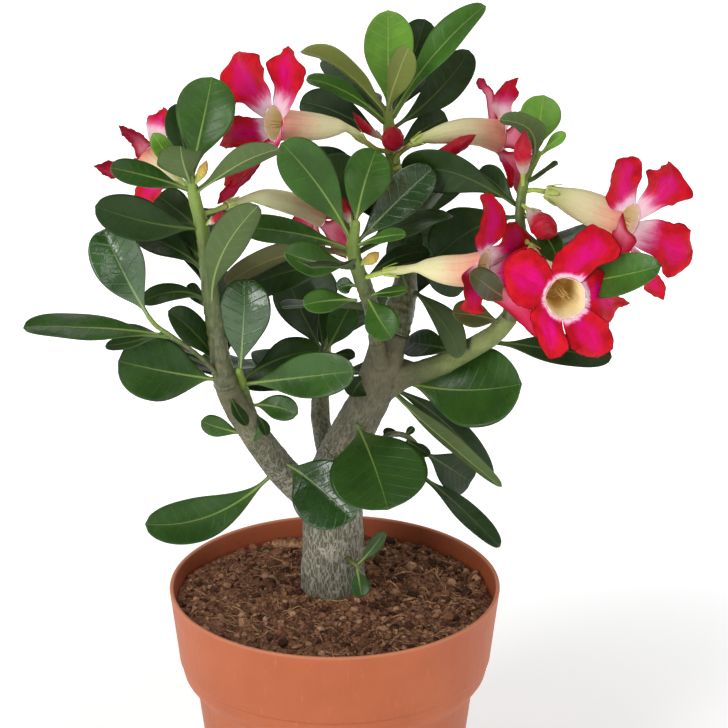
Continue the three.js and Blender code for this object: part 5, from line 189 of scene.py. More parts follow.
    'F7': {'stem': 'L', 'tube': [[-53.57, -34.0, 292.74, 1.47], [-56.26, -31.0, 293.62, 1.55], [-59.32, -28.0, 294.89, 2.4], [-62.45, -24.0, 295.83, 3.51], [-65.59, -20.0, 296.77, 4.26], [-68.43, -15.0, 297.37, 5.58]], 'ped': [[-51.32, -39.48, 293.74], [-53.57, -34.0, 292.74]], 'axis': [-0.657, 0.657, 0.371], 'lobes': [[[-78.12, -32.0, 315.7], 6.0, -130.0], [[-62.37, -23.29, 320.1], 10.9, -58.0], [[-56.24, 3.17, 295.8], 12.8, 14.0], [[-70.08, -6.79, 275.81], 21.2, 86.0], [[-87.64, -32.64, 300.43], 9.7, 158.0]], 'edges': [{'A': [[-71.81, -20.33, 299.63], [-72.31, -21.38, 300.94], [-72.81, -22.41, 302.24], [-73.31, -23.39, 303.52], [-73.84, -24.32, 304.77], [-74.38, -25.21, 306.0], [-74.93, -26.11, 307.21], [-75.52, -26.99, 308.39], [-76.19, -27.89, 309.5], [-76.94, -28.82, 310.56], [-77.55, -29.7, 311.69], [-77.87, -30.5, 312.96], [-78.0, -31.25, 314.33], [-78.12, -32.0, 315.7]], 'B': [[-67.13, -16.98, 301.2], [-67.44, -17.99, 302.81], [-67.77, -19.0, 304.4], [-68.28, -20.08, 305.9], [-68.95, -21.21, 307.34], [-69.74, -22.36, 308.67], [-70.63, -23.52, 309.83], [-71.64, -24.69, 310.83], [-72.71, -25.85, 311.74], [-73.77, -26.97, 312.62], [-74.82, -28.14, 313.52], [-75.89, -29.4, 314.36], [-77.0, -30.7, 315.07], [-78.12, -32.0, 315.7]], 'n': [-0.621, 0.722, 0.307], 'sign': -1}, {'A': [[-68.51, -10.79, 304.17], [-68.73, -11.3, 305.44], [-68.97, -11.81, 306.72], [-69.08, -12.38, 308.01], [-68.97, -13.03, 309.34], [-68.71, -13.74, 310.71], [-68.31, -14.52, 312.06], [-67.79, -15.4, 313.36], [-67.14, -16.38, 314.65], [-66.37, -17.5, 315.89], [-65.49, -18.8, 317.05], [-64.49, -20.26, 318.1], [-63.42, -21.78, 319.09], [-62.37, -23.29, 320.1]], 'B': [[-60.7, -17.49, 306.47], [-60.63, -18.39, 307.77], [-60.57, -19.28, 309.06], [-60.5, -20.12, 310.33], [-60.44, -20.87, 311.58], [-60.38, -21.57, 312.8], [-60.29, -22.19, 314.0], [-60.19, -22.72, 315.17], [-60.14, -23.15, 316.3], [-60.2, -23.44, 317.37], [-60.33, -23.55, 318.4], [-60.7, -23.51, 319.22], [-61.49, -23.39, 319.69], [-62.37, -23.29, 320.1]], 'n': [-0.558, -0.399, 0.728], 'sign': -1}, None, {'A': [[-68.51, -9.16, 290.59], [-69.6, -7.52, 288.99], [-70.74, -5.75, 287.38], [-71.86, -4.16, 285.81], [-72.88, -3.09, 284.38], [-73.7, -2.76, 283.11], [-74.37, -2.92, 281.88], [-74.94, -3.13, 280.59], [-75.02, -3.46, 279.35], [-74.5, -4.06, 278.2], [-73.67, -4.76, 277.23], [-72.63, -5.43, 276.59], [-71.36, -6.11, 276.19], [-70.08, -6.79, 275.81]], 'B': [[-59.86, -17.35, 292.69], [-58.89, -17.97, 291.38], [-57.76, -18.73, 290.08], [-56.93, -19.3, 288.79], [-56.87, -19.37, 287.55], [-57.88, -18.7, 286.34], [-59.5, -17.56, 285.13], [-61.07, -16.36, 283.9], [-62.5, -15.05, 282.56], [-63.95, -13.47, 281.13], [-65.44, -11.79, 279.72], [-66.96, -10.14, 278.39], [-68.52, -8.47, 277.1], [-70.08, -6.79, 275.81]], 'n': [-0.582, -0.439, 0.685], 'sign': 1}, {'A': [[-71.48, -19.82, 299.06], [-72.73, -21.12, 299.31], [-73.98, -22.42, 299.57], [-75.23, -23.68, 299.82], [-76.48, -24.84, 300.06], [-77.75, -25.89, 300.32], [-79.02, -26.87, 300.64], [-80.3, -27.8, 300.95], [-81.57, -28.72, 301.18], [-82.82, -29.56, 301.26], [-84.07, -30.37, 301.22], [-85.3, -31.16, 301.08], [-86.49, -31.92, 300.82], [-87.64, -32.64, 300.43]], 'B': [[-71.07, -16.39, 292.35], [-72.37, -17.33, 291.77], [-73.66, -18.26, 291.14], [-74.97, -19.23, 290.66], [-76.33, -20.31, 290.54], [-77.79, -21.5, 290.78], [-79.31, -22.76, 291.29], [-80.79, -24.05, 292.03], [-82.16, -25.38, 292.97], [-83.46, -26.77, 294.15], [-84.68, -28.2, 295.52], [-85.77, -29.65, 297.02], [-86.72, -31.12, 298.7], [-87.64, -32.64, 300.43]], 'n': [-0.585, 0.736, 0.341], 'sign': 1}]},
}
BUDS = {
    'B1': {'stem': 'M', 'b': [22.38, 24.22, 284.59], 't': [22.78, 5.0, 302.72], 'r': 4.14, 'kind': 'red'},
    'B2': {'stem': 'R', 'b': [70.94, -8.82, 282.84], 't': [70.96, -20.0, 310.06], 'r': 3.41, 'kind': 'red'},
    'B3': {'stem': 'R', 'b': [70.18, -9.94, 277.86], 't': [82.5, -33.0, 273.55], 'r': 4.773, 'kind': 'red'},
    'B4': {'stem': 'M', 'b': [23.06, 21.41, 280.19], 't': [53.78, 7.0, 298.99], 'r': 2.64, 'kind': 'long'},
    'B5': {'stem': 'C', 'b': [7.78, -25.0, 270.96], 't': [3.68, -18.0, 283.06], 'r': 2.23, 'kind': 'red'},
    'B6': {'stem': 'L', 'b': [-51.32, -39.48, 293.74], 't': [-45.53, -46.0, 307.44], 'r': 1.82, 'kind': 'green'},
    'B7': {'stem': 'M', 'b': [21.94, 24.52, 287.77], 't': [7.36, 7.0, 307.98], 'r': 1.88, 'kind': 'red'},
    'B8': {'stem': 'L', 'b': [-48.23, -38.27, 278.5], 't': [-38.98, -44.0, 286.61], 'r': 1.83, 'kind': 'red'},
    'B9': {'stem': 'C', 'b': [8.68, -22.3, 256.71], 't': [17.07, -30.0, 265.7], 'r': 2.23, 'kind': 'green'},
}


# ------------------------------------------------------------------------------------------------ small helpers
def vnoise(p, seed=0):
    p = np.asarray(p, float)
    i = np.floor(p).astype(np.int64)
    f = p - i
    f = f * f * (3 - 2 * f)

    def h(a, b, c):
        n = ((i[..., 0] + a) * 374761393 + (i[..., 1] + b) * 668265263 + (i[..., 2] + c) * 1440662683 + seed * 974634777) & 0xFFFFFFFF
        n = ((n ^ (n >> 13)) * 1274126177) & 0xFFFFFFFF
        n = ((n ^ (n >> 15)) * 2246822519) & 0xFFFFFFFF
        n = n ^ (n >> 16)
        return (n & 0xFFFF) / 32767.5 - 1.0

    x, y, z = f[..., 0], f[..., 1], f[..., 2]
    c00 = h(0, 0, 0) * (1 - x) + h(1, 0, 0) * x
    c10 = h(0, 1, 0) * (1 - x) + h(1, 1, 0) * x
    c01 = h(0, 0, 1) * (1 - x) + h(1, 0, 1) * x
    c11 = h(0, 1, 1) * (1 - x) + h(1, 1, 1) * x
    return (c00 * (1 - y) + c10 * y) * (1 - z) + (c01 * (1 - y) + c11 * y) * z


def fbm(p, octaves=4, seed=0, gain=0.5):
    p = np.asarray(p, float)
    total, amp, norm = 0.0, 1.0, 0.0
    for k in range(octaves):
        total = total + amp * vnoise(p * 2.03 ** k + 17.3 * k, seed + 31 * k)
        norm += amp
        amp *= gain
    return total / norm


def unit(v):
    v = np.asarray(v, float)
    n = np.linalg.norm(v, axis=-1, keepdims=True)
    return v / np.maximum(n, 1e-9)


def smooth(a, b, x):
    t = np.clip((np.asarray(x, float) - a) / (b - a), 0, 1)
    return t * t * (3 - 2 * t)


def spline(P, step=1.0, n=None):
    """A smooth curve through the rows of P (x, y, z, r), resampled at about the step in millimetres."""
    P = np.asarray(P, float)
    if len(P) == 2:
        P = np.array([P[0], (P[0] + P[1]) / 2, P[1]])
    d = np.linalg.norm(np.diff(P[:, :3], axis=0), axis=1)
    s = np.concatenate([[0], np.cumsum(np.maximum(d, 1e-6))])
    m = np.gradient(P, s, axis=0)
    if n is None:
        n = max(4, int(math.ceil(s[-1] / step)) + 1)
    q = np.linspace(0, s[-1], n)
    k = np.clip(np.searchsorted(s, q, side="right") - 1, 0, len(P) - 2)
    h = (s[k + 1] - s[k])[:, None]
    t = ((q - s[k])[:, None]) / h
    out = (2 * t ** 3 - 3 * t ** 2 + 1) * P[k] + (t ** 3 - 2 * t ** 2 + t) * h * m[k] \
        + (-2 * t ** 3 + 3 * t ** 2) * P[k + 1] + (t ** 3 - t ** 2) * h * m[k + 1]
    return out, q


def frames(X):
    """Tangents and two steady cross directions along a curve."""
    T = unit(np.gradient(X, axis=0))
    ref = np.array([0.0, 0.0, 1.0])
    if abs(T[0] @ ref) > 0.9:
        ref = np.array([1.0, 0.0, 0.0])
    U = np.zeros_like(T)
    U[0] = unit(np.cross(T[0], ref))
    for i in range(1, len(T)):
        u = U[i - 1] - T[i] * (U[i - 1] @ T[i])
        U[i] = unit(u)
    return T, U, np.cross(T, U)


class Mesh:
    """Collects vertices, faces and point or face numbers, and turns into one object."""

    def __init__(self):
        self.V, self.F, self.A, self.FA, self.n = [], [], {}, {}, 0

    def add(self, V, F, attrs=None, fattrs=None):
        V = np.asarray(V, float).reshape(-1, 3)
        base = self.n
        self.V.append(V)
        self.F.extend([tuple(int(i) + base for i in f) for f in F])
        for k in set(self.A) | set(attrs or {}):
            lst = self.A.setdefault(k, [np.zeros(base)])
            a = np.asarray((attrs or {}).get(k, 0.0), float)
            lst.append(np.broadcast_to(a, (len(V),)).copy() if a.ndim == 0 or a.shape != (len(V),) else a)
        nf = len(F)
        done = sum(len(x) for x in next(iter(self.FA.values()))) if self.FA else len(self.F) - nf
        for k in set(self.FA) | set(fattrs or {}):
            lst = self.FA.setdefault(k, [np.zeros(done)])
            a = np.asarray((fattrs or {}).get(k, 0.0), float)
            lst.append(np.broadcast_to(a, (nf,)).copy() if a.shape != (nf,) else a)
        self.n += len(V)

    def build(self, name, mat, slot, *nodes):
        me = bpy.data.meshes.new(name)
        V = np.concatenate(self.V) * MM
        me.from_pydata(V.tolist(), [], self.F)
        me.polygons.foreach_set("use_smooth", [True] * len(me.polygons))
        for k, lst in self.A.items():
            a = me.attributes.new(k, "FLOAT", "POINT")
            a.data.foreach_set("value", np.concatenate(lst).astype(np.float32))
        for k, lst in self.FA.items():
            a = me.attributes.new(k, "FLOAT", "FACE")
            a.data.foreach_set("value", np.concatenate(lst).astype(np.float32))
        me.update()
        me.materials.append(mat)
        ob = bpy.data.objects.new(name, me)
        bpy.context.scene.collection.objects.link(ob)
        return place(ob, slot, *nodes)


def place(ob, slot, *nodes):
    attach(ob, "root")
    if nodes:
        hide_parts(*nodes)
    return ob


def tube(mesh, P, sides=14, cap0=True, cap1=True, round1=False, bulge=None, wob=0.0, seed=0, attrs=None):
    """A closed round tube along P (x, y, z, r). bulge(q) scales the radius by the distance along."""
    P = np.asarray(P, float)
    X, R = P[:, :3], P[:, 3].copy()
    q = np.concatenate([[0], np.cumsum(np.linalg.norm(np.diff(X, axis=0), axis=1))])
    if bulge is not None:
        R = R * bulge(q)
    T, U, W = frames(X)
    if round1:
        # a domed end
        r = R[-1]
        ex = [X[-1] + T[-1] * r * math.sin(a) for a in np.radians([30, 58, 80])]
        er = [r * math.cos(a) for a in np.radians([30, 58, 80])]
        X = np.vstack([X, ex])
        R = np.concatenate([R, er])
        T = np.vstack([T, [T[-1]] * 3])
        U = np.vstack([U, [U[-1]] * 3])
        W = np.vstack([W, [W[-1]] * 3])
        q = np.concatenate([q, [q[-1] + r * 0.5, q[-1] + r * 0.85, q[-1] + r]])
    th = np.linspace(0, 2 * math.pi, sides, endpoint=False)
    ring = np.cos(th)[None, :, None] * U[:, None, :] + np.sin(th)[None, :, None] * W[:, None, :]
    rr = R[:, None] * np.ones((1, sides))
    if wob:
        pts = X[:, None, :] + ring * R[:, None, None]
        rr = rr * (1 + wob * fbm(pts / 2.2, 3, seed))
    V = (X[:, None, :] + ring * rr[:, :, None]).reshape(-1, 3)
    n = len(X)
    F = []
    for i in range(n - 1):
        for j in range(sides):
            k = (j + 1) % sides
            F.append((i * sides + j, i * sides + k, (i + 1) * sides + k, (i + 1) * sides + j))
    along = np.repeat(q, sides)
    extra = []
    if cap0:
        extra.append(X[0])
        c = n * sides + len(extra) - 1
        for j in range(sides):
            F.append((c, (j + 1) % sides, j))
    if cap1:
        extra.append(X[-1] + (T[-1] * R[-1] * 0.4 if not round1 else T[-1] * R[-1] * 0.3))
        c = n * sides + len(extra) - 1
        o = (n - 1) * sides
        for j in range(sides):
            F.append((c, o + j, o + (j + 1) % sides))
    if extra:
        V = np.vstack([V, extra])
        e = [0.0] * (1 if cap0 else 0) + [q[-1]] * (1 if cap1 else 0)
        along = np.concatenate([along, e])
    at = {"along": along, "frac": along / max(q[-1], 1e-6)}
    at.update(attrs or {})
    mesh.add(V, F, at)
    return q[-1]


def lens(mesh, X, N, th, attrs, var=0.0, top=1.0):
    """A thin closed sheet: rows of points X (nt, ns, 3), normals N and half thickness th (nt, ns). The two faces
    share their boundary points. The face number under is 1 on the back."""
    nt, ns = X.shape[:2]
    up = (X + N * th[..., None]).reshape(-1, 3)
    inner = np.zeros((nt, ns), bool)
    inner[1:-1, 1:-1] = True
    low_idx = np.arange(nt * ns).reshape(nt, ns).copy()
    low_idx[inner] = nt * ns + np.arange(inner.sum())
    lo = (X - N * th[..., None])[inner]
    edge = ~inner
    up2 = up.reshape(nt, ns, 3).copy()
    up2[edge] = X[edge]
    V = np.vstack([up2.reshape(-1, 3), lo])
    F, U = [], []
    idx = np.arange(nt * ns).reshape(nt, ns)
    for i in range(nt - 1):
        for j in range(ns - 1):
            F.append((idx[i, j], idx[i + 1, j], idx[i + 1, j + 1], idx[i, j + 1]))
            U.append(0.0)
    for i in range(nt - 1):
        for j in range(ns - 1):
            f = (low_idx[i, j], low_idx[i, j + 1], low_idx[i + 1, j + 1], low_idx[i + 1, j])
            if len(set(f)) == 4 and not (f[0] < nt * ns and f[1] < nt * ns and f[2] < nt * ns and f[3] < nt * ns):
                F.append(f)
                U.append(1.0)
            else:
                # a corner cell, where every point is shared: its lower face is added as it is
                F.append(f)
                U.append(1.0)
    at = {}
    for k, a in attrs.items():
        a = np.asarray(a, float)
        a = np.broadcast_to(a, (nt, ns))
        at[k] = np.concatenate([a.reshape(-1), a[inner]])
    mesh.add(V, F, at, {"under": np.array(U)})


# ------------------------------------------------------------------------------------------------ materials
def lin(r, g, b):
    return tuple(((c / 255) / 12.92 if c / 255 <= 0.04045 else ((c / 255 + 0.055) / 1.055) ** 2.4) for c in (r, g, b)) + (1.0,)


class Mat:
    def __init__(self, name, rough=0.5, spec=0.5):
        self.m = bpy.data.materials.new(name)
        self.m.use_nodes = True
        self.t = self.m.node_tree
        self.b = self.t.nodes["Principled BSDF"]
        self.b.inputs["Roughness"].default_value = rough
        self.b.inputs["Specular IOR Level"].default_value = spec
        self.x = -200

    def new(self, kind, **props):
        n = self.t.nodes.new(kind)
        n.location = (self.x, 0)
        self.x -= 40
        for k, v in props.items():
            setattr(n, k, v)
        return n

    def put(self, socket, value):
        if isinstance(value, bpy.types.NodeSocket):
            self.t.links.new(value, socket)
        elif value is not None:
            socket.default_value = value

    def attr(self, name):
        return self.new("ShaderNodeAttribute", attribute_name=name).outputs["Fac"]

    def attrv(self, name):
        return self.new("ShaderNodeAttribute", attribute_name=name).outputs["Vector"]

    def pos(self):
        return self.new("ShaderNodeTexCoord").outputs["Object"]

    def math(self, op, a, b=None, c=None, clamp=False):
        n = self.new("ShaderNodeMath", operation=op, use_clamp=clamp)
        for i, v in enumerate((a, b, c)):
            self.put(n.inputs[i], v)
        return n.outputs[0]

    def range(self, x, a, b, c=0.0, d=1.0, kind="SMOOTHSTEP"):
        n = self.new("ShaderNodeMapRange", interpolation_type=kind)
        n.clamp = True
        for i, v in enumerate((x, a, b, c, d)):
            self.put(n.inputs[i], v)
        return n.outputs[0]

    def mix(self, f, a, b, mode="MIX"):
        n = self.new("ShaderNodeMix", data_type="RGBA", blend_type=mode)
        n.clamp_factor = True
        self.put(n.inputs["Factor"], f)
        self.put(n.inputs[6], a)
        self.put(n.inputs[7], b)
        return n.outputs[2]

    def noise(self, vec, scale, detail=3.0, rough=0.55, dist=0.0):
        n = self.new("ShaderNodeTexNoise")
        self.put(n.inputs["Vector"], vec)
        n.inputs["Scale"].default_value = scale
        n.inputs["Detail"].default_value = detail
        n.inputs["Roughness"].default_value = rough
        n.inputs["Distortion"].default_value = dist
        return n.outputs["Fac"]

    def voronoi(self, vec, scale, feature="DISTANCE_TO_EDGE", rand=1.0):
        n = self.new("ShaderNodeTexVoronoi", feature=feature)
        self.put(n.inputs["Vector"], vec)
        n.inputs["Scale"].default_value = scale
        n.inputs["Randomness"].default_value = rand
        return n.outputs["Distance"]

    def stretch(self, vec, sx, sy, sz):
        n = self.new("ShaderNodeVectorMath", operation="MULTIPLY")
        self.put(n.inputs[0], vec)
        n.inputs[1].default_value = (sx, sy, sz)
        return n.outputs[0]

    def vec(self, x, y, z):
        n = self.new("ShaderNodeCombineXYZ")
        for i, v in enumerate((x, y, z)):
            self.put(n.inputs[i], v)
        return n.outputs[0]

    def bump(self, height, dist, strength=1.0, normal=None):
        n = self.new("ShaderNodeBump")
        n.inputs["Strength"].default_value = strength
        n.inputs["Distance"].default_value = dist
        self.put(n.inputs["Height"], height)
        if normal is not None:
            self.put(n.inputs["Normal"], normal)
        return n.outputs["Normal"]

    def out(self, color=None, rough=None, normal=None):
        self.put(self.b.inputs["Base Color"], color)
        if rough is not None:
            self.put(self.b.inputs["Roughness"], rough)
        if normal is not None:
            self.put(self.b.inputs["Normal"], normal)
        return self.m


def leaf_material(name, top, vein, back, rough, age=0.0, spec=0.29, coat=0.0, side=0.045):
    """Upper face with a pale midrib and fine chevron side veins, a duller paler back, a thin pale rim."""
    g = Mat(name, rough, spec)
    if coat:
        g.b.inputs["Coat Weight"].default_value = coat
        g.b.inputs["Coat Roughness"].default_value = 0.12
    p = g.pos()
    t, la, le, vq, un, va = (g.attr(k) for k in ("lt", "la", "le", "vq", "under", "var"))
    big = g.noise(p, 70.0, 3.0, 0.6)
    fine = g.noise(p, 900.0, 2.0, 0.6)
    base = g.mix(g.range(big, 0.3, 0.7), tuple(c * 0.80 for c in top[:3]) + (1,), tuple(min(1, c * 1.22) for c in top[:3]) + (1,))
    shade = g.range(va, 0.0, 1.0, 0.86, 1.16, "LINEAR")
    base = g.mix(1.0, base, g.vec(shade, shade, g.math("MULTIPLY", shade, 0.98)), "MULTIPLY")
    # the blade is a little yellower toward its edge and its base
    rimc = tuple(min(1, a * 0.5 + b * 0.5) for a, b in zip(top[:3], vein[:3])) + (1,)
    base = g.mix(g.range(t, 0.0, 0.35, 0.45, 0.0), base, rimc)
    # side veins: distance to the nearest line of vq, fading toward the edge
    fr = g.math("ABSOLUTE", g.math("SUBTRACT", g.math("FRACT", g.math("ADD", vq, g.math("MULTIPLY", big, 0.55))), 0.5))
    sv = g.range(fr, 0.42, 0.5, 0.0, 1.0)
    fade = g.math("MULTIPLY", g.range(le, 0.2, 2.6), g.range(t, 0.06, 0.2))
    svm = g.math("MULTIPLY", sv, fade)
    base = g.mix(g.math("MULTIPLY", svm, side), base, vein)
    # midrib
    wid = g.range(t, 0.0, 1.0, 0.66, 0.20, "LINEAR")
    mr = g.range(g.math("DIVIDE", g.math("ABSOLUTE", la), wid), 0.35, 1.0, 1.0, 0.0)
    base = g.mix(g.math("MULTIPLY", mr, g.range(t, 0.0, 1.0, 0.92, 0.26, "LINEAR")), base, vein)
    # rim
    base = g.mix(g.range(le, 0.0, 0.28, 0.42, 0.0), base, rimc)
    if age:
        base = g.mix(g.math("MULTIPLY", g.range(g.noise(p, 160.0, 4.0, 0.65), 0.52, 0.66), age), base, lin(96, 84, 52))
    # back
    bk = g.mix(g.range(big, 0.3, 0.7), tuple(c * 0.88 for c in back[:3]) + (1,), back)
    bk = g.mix(g.math("MULTIPLY", svm, 0.12), bk, vein)
    bk = g.mix(g.math("MULTIPLY", mr, 0.62), bk, tuple(min(1, c * 1.15) for c in vein[:3]) + (1,))
    col = g.mix(un, base, bk)
    h = g.math("ADD", g.math("MULTIPLY", svm, -0.38 if coat or side > 0.1 else -0.26), g.math("MULTIPLY", mr, -0.6))
    h = g.math("ADD", h, g.math("MULTIPLY", g.noise(p, 420.0, 3.0, 0.6), 0.55))
    h = g.math("ADD", h, g.math("MULTIPLY", fine, 0.16))
    nrm = g.bump(h, 0.00050 if coat else 0.00022, 0.75)
    if coat:
        g.put(g.b.inputs["Coat Normal"], nrm)
    r = g.math("ADD", g.range(g.noise(p, 260.0, 3.0, 0.6), 0.3, 0.7, rough - 0.06, rough + 0.10), g.math("MULTIPLY", un, 0.20))
    return g.out(col, r, nrm)


MATS = {}
WORLD, KEY, TOP, FILL, SIDE = 0.15, 13.6, 8.0, 2.2, 4.0


def materials():
    yel = lin(176, 196, 112)
    MATS["L"] = leaf_material("leaf_young", lin(100, 148, 48), lin(170, 192, 100), lin(118, 148, 76), 0.36, side=0.20)
    MATS["M"] = leaf_material("leaf_mid_green", lin(56, 94, 30), lin(150, 174, 88), lin(104, 128, 70), 0.32)
    MATS["N"] = leaf_material("leaf_green", lin(44, 76, 25), lin(136, 158, 78), lin(96, 116, 66), 0.31)
    # dark green leaves: partly the leaves' own deeper green, partly painted shade for the leaves deep in the crown and
    # behind others
    MATS["D"] = leaf_material("leaf_dark_painted_shade", lin(34, 56, 20), lin(84, 104, 50), lin(72, 88, 52), 0.38, spec=0.22)
    MATS["G"] = leaf_material("leaf_glossy", lin(36, 70, 22), lin(132, 156, 90), lin(88, 108, 62), 0.27, spec=0.5, coat=0.62)
    MATS["O"] = leaf_material("leaf_back_seen", lin(50, 84, 28), lin(140, 156, 92), lin(80, 99, 55), 0.40, spec=0.25)
    MATS["Y"] = leaf_material("leaf_olive_back", lin(64, 92, 34), lin(168, 180, 104), lin(122, 136, 66), 0.40, spec=0.25)
    MATS["R"] = leaf_material("leaf_aged", lin(70, 76, 34), lin(132, 128, 74), lin(98, 98, 60), 0.42, age=0.7)
    # young green stem, turning grey-brown at its lower end and painted darker low down, with fine lengthwise lines and
    # leaf scars
    g = Mat("green_shoot", 0.42)
    p = g.pos()
    al, fr, wd = g.attr("along"), g.attr("frac"), g.attr("woody")
    n1 = g.noise(p, 190.0, 4.0, 0.6)
    n2 = g.noise(g.stretch(p, 1.0, 1.0, 0.22), 800.0, 3.0, 0.6)
    col = g.mix(g.range(n1, 0.3, 0.7), lin(72, 92, 34), lin(99, 119, 50))
    col = g.mix(g.range(fr, 0.45, 1.0, 0.0, 0.75), col, lin(132, 158, 64))
    col = g.mix(g.math("MULTIPLY", g.range(g.math("SUBTRACT", wd, g.math("MULTIPLY", n1, 0.5)), 0.05, 0.45), 0.9), col, g.mix(g.range(n2, 0.35, 0.65), lin(92, 90, 68), lin(136, 134, 106)))
    # the lower part of the stem is painted darker: partly the older stem's deeper green, partly painted shade under the
    # leaves
    col = g.mix(g.range(fr, 0.25, 0.88, 0.80, 0.0), col, g.mix(g.range(n2, 0.35, 0.65), lin(54, 62, 32), lin(88, 92, 54)))
    col = g.mix(g.range(g.attr("scar"), 0.35, 0.9, 0.0, 0.75), col, lin(112, 96, 66))
    col = g.mix(g.range(g.noise(p, 520.0, 3.0, 0.7), 0.62, 0.72, 0.0, 0.5), col, lin(96, 84, 58))
    h = g.math("ADD", g.math("MULTIPLY", n2, 0.5), g.math("MULTIPLY", g.noise(p, 500.0, 4.0, 0.65), 0.8))
    MATS["green"] = g.out(col, g.range(n1, 0.3, 0.7, 0.36, 0.52), g.bump(h, 0.0004, 0.8))
    # bark: a net of raised pale lines on olive grey, stretched along the stem
    g = Mat("bark", 0.78, 0.35)
    p = g.pos()
    bv = g.attrv("barkv")
    n1 = g.noise(p, 60.0, 5.0, 0.65)
    warp = g.new("ShaderNodeVectorMath", operation="ADD")
    g.put(warp.inputs[0], bv)
    wn = g.new("ShaderNodeTexNoise")
    g.put(wn.inputs["Vector"], g.stretch(bv, 1.0, 1.0, 1.0))
    wn.inputs["Scale"].default_value = 0.55
    wn.inputs["Detail"].default_value = 3.0
    g.put(warp.inputs[1], g.stretch(wn.outputs["Color"], 1.3, 1.3, 1.3))
    w = warp.outputs[0]
    net = g.voronoi(w, 0.66)
    net2 = g.voronoi(w, 1.45)
    line = g.range(net, 0.02, 0.20, 1.0, 0.0)
    line2 = g.range(net2, 0.02, 0.16, 1.0, 0.0)
    low = g.new("ShaderNodeSeparateXYZ")
    g.put(low.inputs[0], p)
    ridge = g.math("MULTIPLY", g.math("MAXIMUM", line, g.math("MULTIPLY", line2, 0.6), clamp=True), g.range(low.outputs["Z"], 0.150, 0.205, 1.0, 0.16))
    speck = g.noise(p, 900.0, 4.0, 0.7)
    col = g.mix(g.range(n1, 0.32, 0.68), lin(80, 82, 60), lin(112, 108, 82))
    col = g.mix(g.math("MULTIPLY", g.range(g.attr("young"), 0.1, 1.0), 0.85), col, g.mix(g.range(n1, 0.35, 0.65), lin(80, 84, 54), lin(108, 108, 72)))
    col = g.mix(g.math("MULTIPLY", ridge, g.range(n1, 0.25, 0.75, 0.45, 0.95)), col, lin(184, 181, 166))
    # the upper trunk and branches are painted darker with height: painted shade under the leaves
    col = g.mix(g.range(low.outputs["Z"], 0.165, 0.225, 0.0, 0.62), col, g.mix(g.range(g.noise(p, 130.0, 4.0, 0.65), 0.36, 0.64), lin(66, 62, 44), lin(104, 98, 76)))
    col = g.mix(g.math("MULTIPLY", g.attr("olive"), 0.92), col, g.mix(g.range(n1, 0.35, 0.65), lin(96, 110, 58), lin(132, 142, 86)))
    col = g.mix(g.range(speck, 0.60, 0.74, 0.0, 0.45), col, lin(70, 64, 46))
    col = g.mix(g.range(g.attr("scar"), 0.3, 0.9, 0.0, 0.7), col, lin(86, 76, 56))
    col = g.mix(g.range(g.new("ShaderNodeSeparateXYZ").outputs[2] if False else g.attr("foot"), 0.0, 1.0, 0.0, 0.55), col, lin(88, 72, 52))
    h = g.math("ADD", g.math("MULTIPLY", ridge, 0.9), g.math("MULTIPLY", speck, 0.35))
    MATS["bark"] = g.out(col, g.range(n1, 0.3, 0.7, 0.70, 0.88), g.bump(h, 0.0006, 0.9))
    # petals
    g = Mat("petal", 0.62, 0.10)
    p = g.pos()
    t, s, le, un, va, pale, hwid = (g.attr(k) for k in ("lt", "la", "le", "under", "var", "pale", "hw"))
    st = g.noise(g.vec(g.math("MULTIPLY", s, 1.0), g.math("MULTIPLY", t, 1.6), g.math("MULTIPLY", va, 9.0)), 2.6, 4.0, 0.62)
    sj = g.math("MULTIPLY", g.math("SUBTRACT", st, 0.5), 0.42)
    # how far in from the margin, as a share of the half width
    ed = g.math("ADD", g.math("DIVIDE", le, hwid), sj)
    tt = g.math("ADD", t, g.math("MULTIPLY", sj, 0.5))
    mott = g.noise(p, 210.0, 4.0, 0.6)
    red = g.mix(g.range(mott, 0.30, 0.66), lin(172, 6, 18), lin(204, 14, 36))
    deep = lin(112, 2, 18)
    mag = g.mix(g.range(mott, 0.35, 0.7), lin(214, 4, 112), lin(204, 6, 78))
    pink = lin(238, 128, 182)
    white = lin(250, 224, 232)
    inner = g.mix(g.range(tt, 0.50, 0.95), mag, lin(202, 8, 46))
    reach = g.math("ADD", 0.13, g.math("MULTIPLY", pale, 0.42))
    inner = g.mix(g.range(g.math("DIVIDE", tt, reach), 0.35, 1.0, 1.0, 0.0), inner, pink)
    inner = g.mix(g.math("MULTIPLY", g.range(g.math("DIVIDE", tt, reach), 0.20, 0.72, 1.0, 0.0), g.range(pale, 0.0, 1.0, 0.75, 1.0, "LINEAR")), inner, white)
    edge = g.range(ed, 0.32, 0.80, 1.0, 0.0)
    top = g.mix(g.math("MULTIPLY", edge, g.range(g.math("DIVIDE", tt, reach), 0.30, 1.25, 0.10, 1.0)), inner, red)
    top = g.mix(g.math("MULTIPLY", g.range(le, 0.0, 0.55, 0.85, 0.0), g.range(tt, 0.16, 0.34)), top, deep)
    vein = g.math("ABSOLUTE", g.math("SINE", g.math("MULTIPLY", g.math("ADD", s, g.math("MULTIPLY", st, 0.35)), 17.0)))
    top = g.mix(g.math("MULTIPLY", g.range(vein, 0.0, 0.30, 0.22, 0.0), g.range(tt, 0.0, 0.8, 1.0, 0.2)), top, lin(196, 10, 74))
    bot = g.mix(g.range(ed, 0.05, 0.75, 1.0, 0.0), g.mix(g.range(tt, 0.05, 0.7), lin(236, 140, 164), lin(204, 40, 84)), lin(172, 8, 28))
    bot = g.mix(g.math("MULTIPLY", g.range(vein, 0.0, 0.35, 0.35, 0.0), 1.0), bot, lin(200, 40, 84))
    bot = g.mix(g.math("MULTIPLY", g.range(le, 0.0, 0.5, 0.8, 0.0), g.range(tt, 0.16, 0.34)), bot, deep)
    col = g.mix(un, top, bot)
